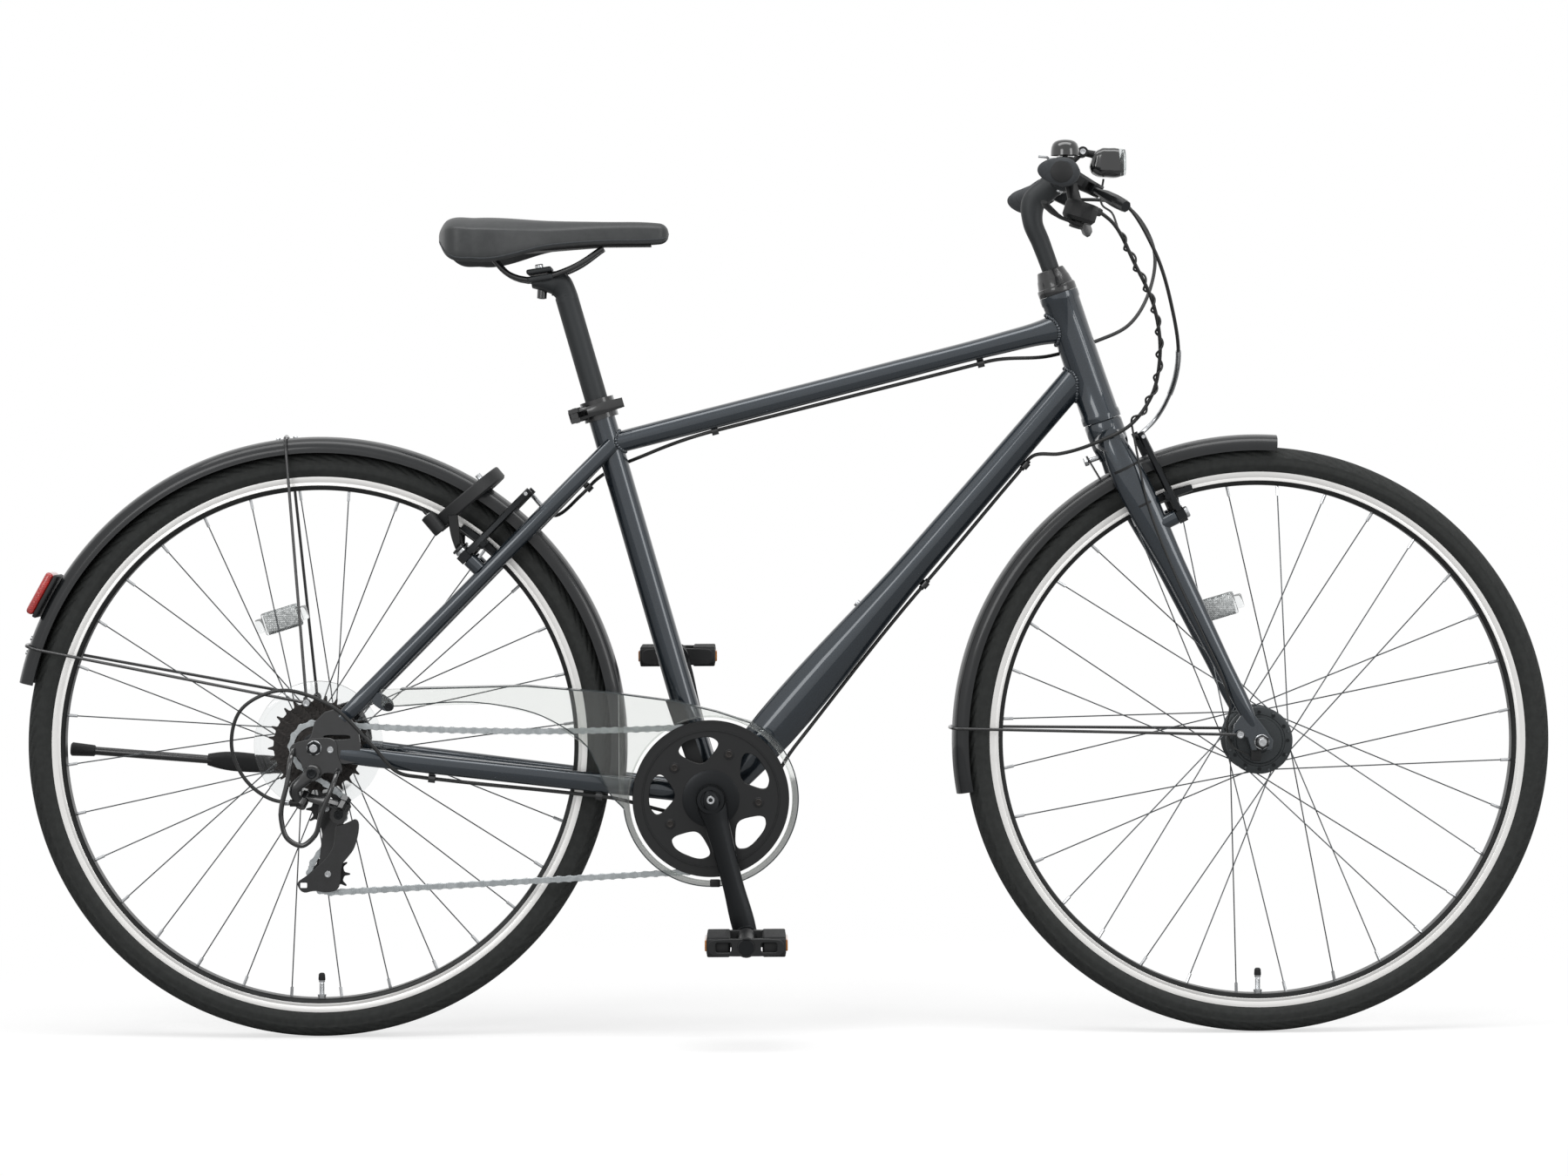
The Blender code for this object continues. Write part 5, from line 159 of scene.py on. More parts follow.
def mirrored(places: Array) -> Array:
    """The same places on the other side of the bicycle."""
    return np.asarray(places, float) * (1.0, -1.0, 1.0)


def even_loop(half: list[tuple[float, float]]) -> list[tuple[float, float]]:
    """A loop of (radius, along) places with the second half as the mirror of the first."""
    return [*half, *[(radius, -along) for radius, along in reversed(half)]]


# Finishes


class Grain(Enum):
    """The fine relief of a surface."""

    SMOOTH = "smooth"
    MOULDED = "moulded"
    LEATHER = "leather"
    TURNED = "turned"
    PRISMS = "prisms"


def linear(colour: str) -> tuple[float, float, float, float]:
    """The linear colour of an sRGB hex colour."""
    parts = [int(colour[i : i + 2], 16) / 255 for i in (1, 3, 5)]
    found = [c / 12.92 if c <= 0.04045 else ((c + 0.055) / 1.055) ** 2.4 for c in parts]
    return (*found, 1.0)


def add_node(tree: bpy.types.NodeTree, kind: str, settings: dict, sockets: dict) -> bpy.types.Node:
    """Adds a node with its settings, and sets its inputs or links them.

    Args:
        tree: The node tree that gets the node.
        kind: The node's type.
        settings: The node's own settings by name.
        sockets: Inputs by name or number, each a value or the output that feeds it.

    Returns:
        The new node.
    """
    node = tree.nodes.new(kind)
    for name, value in settings.items():
        setattr(node, name, value)
    for name, value in sockets.items():
        if isinstance(value, bpy.types.NodeSocket):
            tree.links.new(value, node.inputs[name])
        else:
            node.inputs[name].default_value = value
    return node


@dataclass(frozen=True)
class Finish:
    """A real surface finish: colour, shine, a second tone and a fine relief.

    Sizes are real metres: tone_size is one patch of the second tone, grain_size one grain, and
    relief its height.
    """

    name: str
    colour: str
    metallic: float = 0.0
    roughness: float = 0.5
    coat: float = 0.0
    coat_roughness: float = 0.05
    second: str = ""
    tone_size: float = 0.02
    grain: Grain = Grain.SMOOTH
    grain_size: float = 0.0005
    relief: float = 0.0
    transmission: float = 0.0
    ior: float = 1.5
    specular: float = 0.5
    centre: tuple[float, float, float] = (0.0, 0.0, 0.0)

    def height(self, tree: bpy.types.NodeTree, place: bpy.types.NodeSocket) -> bpy.types.NodeSocket:
        """The relief's height pattern over the surface, from the place on the object."""
        scale = 1.0 / self.grain_size
        if self.grain is Grain.LEATHER:
            cells = {"Vector": place, "Scale": scale}
            return add_node(tree, "ShaderNodeTexVoronoi", {"feature": "F1"}, cells).outputs["Distance"]
        if self.grain is Grain.PRISMS:
            form = {"feature": "F1", "distance": "CHEBYCHEV"}
            cells = {"Vector": place, "Scale": scale, "Randomness": 0.0}
            return add_node(tree, "ShaderNodeTexVoronoi", form, cells).outputs["Distance"]
        if self.grain is Grain.TURNED:
            flat = add_node(tree, "ShaderNodeVectorMath", {"operation": "MULTIPLY"}, {0: place, 1: (1, 0, 1)})
            reach = add_node(tree, "ShaderNodeVectorMath", {"operation": "LENGTH"}, {0: flat.outputs[0]})
            turns = {0: reach.outputs["Value"], 1: TAU * scale}
            wave = add_node(tree, "ShaderNodeMath", {"operation": "MULTIPLY"}, turns)
            return add_node(tree, "ShaderNodeMath", {"operation": "SINE"}, {0: wave.outputs[0]}).outputs[0]
        noise = {"Vector": place, "Scale": scale, "Detail": 3.0, "Roughness": 0.6}
        return add_node(tree, "ShaderNodeTexNoise", {}, noise).outputs["Fac"]

    def material(self) -> bpy.types.Material:
        """The Blender material of this finish, made once."""
        if self.name in bpy.data.materials:
            return bpy.data.materials[self.name]
        made = bpy.data.materials.new(self.name)
        made.use_nodes = True
        tree = made.node_tree
        surface = tree.nodes["Principled BSDF"]
        for name, value in (
            ("Base Color", linear(self.colour)),
            ("Metallic", self.metallic),
            ("Roughness", self.roughness),
            ("Coat Weight", self.coat),
            ("Coat Roughness", self.coat_roughness),
            ("Transmission Weight", self.transmission),
            ("IOR", self.ior),
            ("Specular IOR Level", self.specular),
        ):
            surface.inputs[name].default_value = value
        coordinates = add_node(tree, "ShaderNodeTexCoord", {}, {})
        centred = {"Vector": coordinates.outputs["Object"], "Location": tuple(-c for c in self.centre)}
        place = add_node(tree, "ShaderNodeMapping", {}, centred).outputs["Vector"]
        if self.second:
            patches = {"Vector": place, "Scale": 1.0 / self.tone_size, "Detail": 4.0}
            tone = add_node(tree, "ShaderNodeTexNoise", {}, patches)
            limits = {"Value": tone.outputs["Fac"], "From Min": 0.35, "From Max": 0.65}
            spread = add_node(tree, "ShaderNodeMapRange", {"interpolation_type": "SMOOTHSTEP"}, limits)
            colours = {0: spread.outputs[0], 6: linear(self.colour), 7: linear(self.second)}
            mixed = add_node(tree, "ShaderNodeMix", {"data_type": "RGBA"}, colours)
            tree.links.new(mixed.outputs[2], surface.inputs["Base Color"])
        if self.grain is not Grain.SMOOTH:
            relief = {"Strength": 1.0, "Distance": self.relief, "Height": self.height(tree, place)}
            bump = add_node(tree, "ShaderNodeBump", {}, relief)
            tree.links.new(bump.outputs["Normal"], surface.inputs["Normal"])
        return made


# Dark navy lacquer over metal flakes: a deep tone with a sharp clear coat on top
FRAME_PAINT = Finish(
    "navy_lacquer", "#1c242b", metallic=0.55, roughness=0.30, coat=1.0, coat_roughness=0.03,
    second="#27313a", tone_size=0.0006,
)
# Powder coat on the stem and seat post: even, soft highlights
POWDER_COAT = Finish(
    "matt_powder_coat", "#26292b", metallic=0.25, roughness=0.5,
    grain=Grain.MOULDED, grain_size=0.0007, relief=0.00003,
)
# Anodised alloy of the cranks and hubs: near black with a satin sheen
BLACK_ALLOY = Finish(
    "black_anodised_alloy", "#1d1f21", metallic=0.7, roughness=0.36,
    grain=Grain.MOULDED, grain_size=0.0006, relief=0.00002,
)
# Stoved enamel on wires and small pressings: black and fairly bright
BLACK_ENAMEL = Finish(
    "black_enamel", "#151617", metallic=0.1, roughness=0.28, coat=0.6, second="#1b1c1e", tone_size=0.01,
)
# Satin black moulding of the mudguards: deep, with a soft sheen along the crest
GUARD_PLASTIC = Finish(
    "satin_guard_plastic", "#17191b", roughness=0.32, coat=0.3, specular=0.3,
    second="#1b1d1f", tone_size=0.03,
)
# Gloss injection moulding of the bell and lamp: a black skin with sharp, bright reflections
GLOSS_PLASTIC = Finish(
    "gloss_black_plastic", "#131415", roughness=0.16, coat=0.8, second="#18191a", tone_size=0.03,
)
# Matt injection moulding of pedals and small holders: a spark-eroded grain that spreads the light
MATT_PLASTIC = Finish(
    "matt_black_plastic", "#1a1b1c", roughness=0.5, specular=0.35,
    grain=Grain.MOULDED, grain_size=0.0008, relief=0.00004,
)
# Soft grip rubber: a dusty mid grey with almost no shine
GRIP_RUBBER = Finish(
    "soft_grip_rubber", "#34373a", roughness=0.82, second="#3a3d40", tone_size=0.004,
    grain=Grain.MOULDED, grain_size=0.0006, relief=0.00005,
)
# Moulded tyre rubber: black with a warm grey bloom, and only a broad, weak shine
TYRE_RUBBER = Finish(
    "moulded_tyre_rubber", "#222423", roughness=0.7, specular=0.35, second="#292b2a", tone_size=0.008,
    grain=Grain.MOULDED, grain_size=0.0009, relief=0.00005,
)
# Pebbled vinyl of the saddle cover: dark grey, with a fine grain in its soft highlights
SADDLE_VINYL = Finish(
    "saddle_vinyl", "#303233", roughness=0.46, second="#353738", tone_size=0.01,
    grain=Grain.LEATHER, grain_size=0.0011, relief=0.00003,
)
# Zinc-plated steel of bolts and nuts: bright, small and cool sparks on dark pieces
PLATED_STEEL = Finish(
    "plated_steel", "#c4c6c8", metallic=1.0, roughness=0.24, second="#b2b4b6", tone_size=0.004,
)
# Turned alloy of the braking tracks: pale, with fine rings about each axle
REAR_TRACK = Finish(
    "rear_machined_track", "#f1f0ee", metallic=0.55, roughness=0.36,
    grain=Grain.TURNED, grain_size=0.0006, relief=0.000003, centre=tuple(REAR_AXLE),
)
FRONT_TRACK = replace(REAR_TRACK, name="front_machined_track", centre=tuple(FRONT_AXLE))
# Black anodised rim bed: a dark satin band between the tyre and the bright track
RIM_BLACK = Finish("black_rim", "#1f2020", metallic=0.6, roughness=0.35, second="#262727", tone_size=0.02)
# Cast and painted alloy of the front hub: satin dark grey
HUB_GREY = Finish(
    "satin_grey_alloy", "#34383a", metallic=0.4, roughness=0.42,
    grain=Grain.MOULDED, grain_size=0.0008, relief=0.00002,
)
# Thick edges of clear mouldings: a smoky grey that is painted shade, standing in for the darkness they show
# when seen end on
CLEAR_EDGE_PAINTED_SHADE = Finish("clear_edge_painted_shade", "#565d5f", roughness=0.2, transmission=0.45, ior=1.2)
# Thin clear cover of the lamp: almost unseen, but for its edge and a highlight
LAMP_CLEAR = Finish("thin_clear_cover", "#e9eded", roughness=0.06, transmission=0.9, ior=1.12)
# Drawn and dark-plated spoke wire: thin grey lines that brighten where they face the light
SPOKE_WIRE = Finish("spoke_wire", "#4b4e50", metallic=0.9, roughness=0.33, second="#585b5d", tone_size=0.03)
# Nickel-plated chain plates: silver grey, a little dulled by oil
CHAIN_STEEL = Finish(
    "chain_plate", "#b4b9bb", metallic=0.8, roughness=0.38, second="#a4a9ab", tone_size=0.006,
)
# Phosphated steel of the sprockets and the chainring: dark brown, with a dull metal shine
COG_STEEL = Finish(
    "phosphated_steel", "#2c2a29", metallic=0.65, roughness=0.42, second="#383533", tone_size=0.004,
)
# Clear polycarbonate of the chain case: a faint grey-green veil
CLEAR_CASE = Finish("clear_case", "#eff1ef", roughness=0.06, transmission=0.96, ior=1.22)
# Clear moulded cases and the spoke protector: seen by their edges and their reflections
CLEAR_LENS = Finish("clear_lens", "#f2f4f4", roughness=0.05, transmission=1.0, ior=1.45)
# Corner-cube lenses: small prisms under a clear skin, which glitter in red, amber or clear
RED_LENS = Finish(
    "red_reflector_lens", "#c01a12", roughness=0.18, coat=1.0, second="#a3120c", tone_size=0.004,
    grain=Grain.PRISMS, grain_size=0.0026, relief=0.0006,
)
AMBER_LENS = Finish(
    "amber_reflector_lens", "#d9860f", roughness=0.2, coat=1.0, second="#b96a08", tone_size=0.004,
    grain=Grain.PRISMS, grain_size=0.0022, relief=0.0005,
)
WHITE_LENS = Finish(
    "clear_reflector_lens", "#c9cccc", metallic=0.3, roughness=0.22, coat=1.0,
    second="#8f9393", tone_size=0.0022, grain=Grain.PRISMS, grain_size=0.0024, relief=0.0006,
)
# Extruded cover of the brake and gear cables: black, with one long soft highlight
CABLE_COVER = Finish("extruded_cable_cover", "#1b1c1c", roughness=0.4, second="#222323", tone_size=0.01)
# Mirror behind the lamp's lens: a metallised bowl that shows the sky
MIRROR = Finish("lamp_mirror", "#e8eaea", metallic=1.0, roughness=0.08)


# Surfaces


@dataclass
class Skin:
    """Corners and faces of one closed surface."""

    places: Array
    faces: list[Array]


def grid(rows: int, columns: int, close_rows: bool, close_columns: bool) -> Array:
    """Four-cornered faces of a grid of corners, numbered row by row."""
    row, column = np.meshgrid(
        np.arange(rows if close_rows else rows - 1),
        np.arange(columns if close_columns else columns - 1),
        indexing="ij",
    )
    below, beside = (row + 1) % rows, (column + 1) % columns
    near, far = row * columns, below * columns
    return np.stack((near + column, far + column, far + beside, near + beside), -1).reshape(-1, 4)


def eased(rows: Array, parts: int) -> Array:
    """A smooth curve through rows of numbers whose first three are a place.

    A cubic joins each pair of rows, and its slope at a row is the mean of its neighbours' slopes,
    weighted by their lengths.

    Args:
        rows: The given rows, at least two.
        parts: Steps between two given rows.

    Returns:
        The rows along the curve, the given ones among them.
    """
    rows = np.asarray(rows, float)
    spans = np.linalg.norm(np.diff(rows[:, :3], axis=0), axis=1)[:, None]
    slopes = np.diff(rows, axis=0) / spans
    inner = (slopes[:-1] * spans[1:] + slopes[1:] * spans[:-1]) / (spans[:-1] + spans[1:])
    turns = np.vstack([slopes[:1], inner, slopes[-1:]])
    t = (np.arange(parts) / parts)[None, :, None]
    start, end = rows[:-1, None], rows[1:, None]
    reach = spans[:, :, None]
    curve = (
        start * (2 * t**3 - 3 * t**2 + 1)
        + turns[:-1, None] * reach * (t**3 - 2 * t**2 + t)
        + end * (3 * t**2 - 2 * t**3)
        + turns[1:, None] * reach * (t**3 - t**2)
    )
    return np.vstack([curve.reshape(-1, rows.shape[1]), rows[-1:]])


def oval(width: float, height: float, power: float = 1.0, count: int = 40) -> Array:
    """A section: the cosine and sine of an angle, each raised to a power, times half the width and height."""
    angle = (np.arange(count) + 0.5) * TAU / count
    c, s = np.cos(angle), np.sin(angle)
    across = np.sign(c) * np.abs(c) ** power * width / 2
    above = np.sign(s) * np.abs(s) ** power * height / 2
    return np.stack([across, above], -1)


def ovals(sizes: Array, power: float = 1.0, count: int = 40) -> Array:
    """A section for each row of width and height."""
    return oval(1.0, 1.0, power, count)[None] * np.asarray(sizes, float)[:, None, :2]


def rounded(width: float, height: float, radius: float, steps: int = 5) -> Array:
    """A section: a rectangle with a quarter circle at each corner."""
    angle = np.radians(np.linspace(0, 90, steps))
    corner = radius * np.stack([np.cos(angle), np.sin(angle)], -1)
    half = np.array((width / 2 - radius, height / 2 - radius))
    quarters = []
    for turn in range(4):
        c, s = round(math.cos(turn * TAU / 4)), round(math.sin(turn * TAU / 4))
        spun = corner @ np.array(((c, s), (-s, c)))
        sign = np.array(((1, 1), (-1, 1), (-1, -1), (1, -1)))[turn]
        quarters.append(spun + half * sign)
    return np.vstack(quarters)


def eased_corners(outline: Array, share: float = 0.2, rounds: int = 2) -> Array:
    """Corner cutting: each round puts two places on every side, a share from its ends."""
    outline = np.asarray(outline, float)
    for _ in range(rounds):
        after = np.roll(outline, -1, axis=0)
        cut = [outline * (1 - share) + after * share, outline * share + after * (1 - share)]
        outline = np.stack(cut, 1).reshape(-1, outline.shape[1])
    return outline


def carried(path: Array, side: Array | None) -> tuple[Array, Array]:
    """The directions across and above along a path: level with a side direction, or carried along."""
    along = np.gradient(path, axis=0)
    along /= np.linalg.norm(along, axis=1)[:, None]
    if side is not None:
        across = side - along * (along @ side)[:, None]
    else:
        across = np.empty_like(along)
        last = np.array((0.3, 0.9, 0.2))
        for index, ahead in enumerate(along):
            last = unit(last - ahead * (last @ ahead))
            across[index] = last
    across /= np.linalg.norm(across, axis=1)[:, None]
    return across, np.cross(along, across)


def capped(rings: Array, outline: Array | None = None) -> Skin:
    """A closed skin through rings of places, with its two ends filled.

    Args:
        rings: Places by ring and by their order round it.
        outline: The section's flat places where its ends can't be filled by a fan.

    Returns:
        The closed skin.
    """
    rows, columns = rings.shape[:2]
    last = (rows - 1) * columns
    places = rings.reshape(-1, 3)
    if outline is not None:
        ends = np.array(tessellate_polygon([[Vector((x, y, 0)) for x, y in outline]]))
        return Skin(places, [grid(rows, columns, False, True), ends[:, ::-1], ends + last])
    first, after = np.arange(columns), (np.arange(columns) + 1) % columns
    middle = rows * columns
    fans = [
        np.stack([after, first, np.full(columns, middle)], -1),
        np.stack([last + first, last + after, np.full(columns, middle + 1)], -1),
    ]
    places = np.vstack([places, rings[0].mean(0), rings[-1].mean(0)])
    return Skin(places, [grid(rows, columns, False, True), *fans])


def sheet(outer: Array, inner: Array) -> Skin:
    """A thin closed skin between two grids of places, joined along their four edges."""
    rows, columns = outer.shape[:2]
    count = rows * columns
    number = np.arange(count).reshape(rows, columns)
    faces = [grid(rows, columns, False, False), grid(rows, columns, False, False)[:, ::-1] + count]
    for edge in (number[0], number[-1], number[:, 0], number[:, -1]):
        faces.append(np.stack([edge[:-1], edge[1:], edge[1:] + count, edge[:-1] + count], -1))
    return Skin(np.vstack([outer.reshape(-1, 3), inner.reshape(-1, 3)]), faces)


def copies(template: Skin, origins: Array, first: Array, second: Array, third: Array) -> Skin:
    """Many copies of a skin: each place's three numbers run along three directions from an origin."""
    shape = template.places
    places = (
        origins[:, None]
        + shape[None, :, :1] * first[:, None]
        + shape[None, :, 1:2] * second[:, None]
        + shape[None, :, 2:] * third[:, None]
    )
    base = (np.arange(len(origins)) * len(shape))[:, None, None]
    return Skin(places.reshape(-1, 3), [(base + f[None]).reshape(-1, f.shape[1]) for f in template.faces])


def tube(path: Array, sections: Array, side: Array | None = LEFT) -> Skin:
    """A closed skin: a section carried along a path, with a flat fan over each end.

    Each corner is the path's place, plus the section's first number across, plus its second above.

    Args:
        path: Places along the middle.
        sections: One section, or one for each place.
        side: The direction kept level across, or None to carry it along the path.

    Returns:
        The closed skin.
    """
    path = np.asarray(path, float)
    sections = np.asarray(sections, float)
    if sections.ndim == 2:
        sections = np.broadcast_to(sections, (len(path), *sections.shape))
    across, above = carried(path, side)
    return capped(path[:, None] + across[:, None] * sections[..., :1] + above[:, None] * sections[..., 1:])


def swept(rows: Array, parts: int, power: float = 1.0, count: int = 40, side: Array | None = LEFT) -> Skin:
    """A smooth tube through rows of place, width and height."""
    curve = eased(np.array([[*place, width, height] for place, width, height in rows]), parts)
    return tube(curve[:, :3], ovals(curve[:, 3:], power, count), side)


def wire(path: Array, radius: float, sides: int = 12, side: Array | None = None) -> Skin:
    """A round wire along a path."""
    return tube(path, oval(2 * radius, 2 * radius, 1.0, sides), side)


def basis(axis: Array) -> tuple[Array, Array, Array]:
    """A direction with two others square to it."""
    axis = unit(axis)
    helper = AHEAD if abs(axis[0]) < 0.8 else UP
    first = unit(np.cross(axis, helper))
    return axis, first, np.cross(axis, first)


def lathe(profile: Array, place: Array, axis: Array, segments: int = 48, closed: bool = False) -> Skin:
    """A turned skin: a profile of (radius, height) carried round an axis.

    Args:
        profile: Radius and height pairs, on the axis at both ends, or a closed loop.
        place: Where the height is zero.
        axis: The direction of the height.
        segments: Steps round the axis.
        closed: Whether the profile is a loop.

    Returns:
        The closed skin.
    """
    axis, first, second = basis(axis)
    angle = np.arange(segments) * TAU / segments
    round_ = np.cos(angle)[:, None] * first + np.sin(angle)[:, None] * second
    radius, height = np.asarray(profile, float).T
    places = place + round_[:, None] * radius[None, :, None] + axis * height[None, :, None]
    return Skin(places.reshape(-1, 3), [grid(segments, len(radius), True, closed)])


def rod(
    start: Array,
    end: Array,
    radius: float,
    end_radius: float | None = None,
    edge: float = 0.0005,
    sides: int = 28,
) -> Skin:
    """A round bar or cone between two places, with broken edges."""
    start, end = np.asarray(start, float), np.asarray(end, float)
    length = float(np.linalg.norm(end - start))
    far = radius if end_radius is None else end_radius
    edge = min(edge, radius / 3, far / 3, length / 3)
    foot = [(0, 0), (radius - edge, 0), (radius, edge)]
    head = [(far, length - edge), (far - edge, length), (0, length)]
    return lathe(foot + head, start, end - start, sides)


def rods(starts: Array, ends: Array, radius: float, sides: int = 8) -> Skin:
    """Many straight wires at once: each end is a ring round its place, closed by a fan."""
    starts, ends = np.asarray(starts, float), np.asarray(ends, float)
    along = ends - starts
    along /= np.linalg.norm(along, axis=1)[:, None]
    helper = np.where(np.abs(along[:, 1:2]) < 0.8, LEFT, AHEAD)
    across = np.cross(along, helper)
    across /= np.linalg.norm(across, axis=1)[:, None]
    above = np.cross(along, across)
    angle = np.arange(sides) * TAU / sides
    ring = np.cos(angle)[None, :, None] * across[:, None] + np.sin(angle)[None, :, None] * above[:, None]
    foot, head = starts[:, None], ends[:, None]
    corners = np.concatenate([foot + ring * radius, head + ring * radius, foot, head], axis=1)
    i = np.arange(sides)
    n = (i + 1) % sides
    walls = np.stack([i, n, sides + n, sides + i], -1)
    fans = [
        np.stack([n, i, np.full(sides, 2 * sides)], -1),
        np.stack([sides + i, sides + n, np.full(sides, 2 * sides + 1)], -1),
    ]
    base = (np.arange(len(starts)) * (2 * sides + 2))[:, None, None]
    return Skin(corners.reshape(-1, 3), [(base + f[None]).reshape(-1, f.shape[1]) for f in (walls, *fans)])


def inset(loop: Array, distance: float) -> Array:
    """A flat loop moved to its left by a distance, along the mean of its sides' normals."""
    ahead = np.roll(loop, -1, axis=0) - loop
    ahead /= np.maximum(np.linalg.norm(ahead, axis=1), 1e-9)[:, None]
    normal = np.stack([-ahead[:, 1], ahead[:, 0]], -1)
    before = np.roll(normal, 1, axis=0)
    return loop + distance * (normal + before) / (1 + (normal * before).sum(1).clip(-0.5))[:, None]


def plate(
    outline: Array,
    thickness: float,
    middle: Array,
    holes: tuple = (),
    right: Array = AHEAD,
    up: Array = UP,
    edge: float = 0.0003,
) -> Skin:
    """A flat plate: outlines carried across its thickness, with broken edges and flat faces between them.

    Args:
        outline: The outer loop of (right, up) places.
        thickness: The plate's thickness.
        middle: Where right and up are zero, at half the thickness.
        holes: Loops that are cut out.
        right: The direction of the first number.
        up: The direction of the second number.
        edge: How much each edge is broken.

    Returns:
        The closed skin.
    """
    across = np.cross(right, up)
    half = thickness / 2
    layers, walls, loops = [], [], []
    base = 0
    for number, given in enumerate((outline, *holes)):
        loop = np.asarray(given, float)
        x, y = loop.T
        area = (x * np.roll(y, -1) - np.roll(x, -1) * y).sum()
        if (area < 0) != (number > 0):
            loop = loop[::-1]
        small = inset(loop, edge)
        count = len(loop)
        for flat, height in ((small, -half), (loop, edge - half), (loop, half - edge), (small, half)):
            layers.append(middle + flat[:, :1] * right + flat[:, 1:] * up + height * across)
        walls.append(base + grid(4, count, False, True))
        loops.append((small, base))
        base += 4 * count
    flat_loops = [[Vector((x, y, 0)) for x, y in small] for small, _ in loops]
    triangles = np.array(tessellate_polygon(flat_loops))
    low = np.concatenate([np.arange(len(small)) + start for small, start in loops])
    high = np.concatenate([np.arange(len(small)) + start + 3 * len(small) for small, start in loops])
    return Skin(np.vstack(layers), [*walls, low[triangles][:, ::-1], high[triangles]])


def block(
    size: Array, middle: Array, along: Array = AHEAD, side: Array = LEFT, radius: float = 0.002
) -> Skin:
    """A block with rounded edges: length along, width to the side and height above."""
    length, width, height = size
    radius = min(radius, length / 2.1, width / 2.1, height / 2.1)
    lean = np.radians((0, 30, 60, 90))
    reach = length / 2 - radius + radius * np.sin(lean)
    less = radius * (1 - np.cos(lean))
    stations = np.concatenate([-reach[::-1], reach])
    insets = np.concatenate([less[::-1], less])
    sections = [rounded(width - 2 * n, height - 2 * n, max(radius - n, radius * 0.15)) for n in insets]
    path = np.asarray(middle, float) + np.outer(stations, unit(along))
    return tube(path, np.array(sections), side)


def circle(radius: float, count: int = 64, centre: tuple[float, float] = (0.0, 0.0)) -> Array:
    """A round loop of (right, up) places."""
    angle = np.arange(count) * TAU / count
    return np.stack([centre[0] + radius * np.cos(angle), centre[1] + radius * np.sin(angle)], -1)


def hexagon(place: Array, axis: Array, across_flats: float, height: float) -> Skin:
    """A hexagon nut or head, with its corners turned off at both ends."""
    radius = across_flats / math.sqrt(3)
    section = circle(radius, 6)
    scales = np.array((0.90, 1.0, 1.0, 0.90))[:, None, None]
    heights = np.array((0.0, 0.14, 0.86, 1.0)) * height
    axis, first, _ = basis(axis)
    return tube(np.asarray(place) + heights[:, None] * axis, section * scales, first)


def socket_bolt(place: Array, axis: Array, radius: float, height: float) -> Skin:
    """A round bolt head with a sunk socket in its end."""
    sunk = height * 0.35
    profile = [(0, 0), (radius, 0), (radius, height * 0.75), (radius * 0.88, height), (radius * 0.56, height)]
    profile += [(radius * 0.50, height * 0.92), (radius * 0.50, sunk), (0, sunk)]
    return lathe(profile, place, axis, 24)


def bolt_and_washer(place: Array, axis: Array, radius: float, height: float) -> Skin:
    """A round bolt head on a thin washer."""
    wide = radius * 1.5
    low = height * 0.2
    profile = [(0, 0), (wide, 0), (wide, low), (radius, low), (radius, height * 0.8), (radius * 0.85, height)]
    profile += [(radius * 0.5, height), (radius * 0.45, height * 0.5), (0, height * 0.5)]
    return lathe(profile, place, axis, 24)


# Pieces

CARRIER = {name: node["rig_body"] for name, node in frame["nodes"].items()}


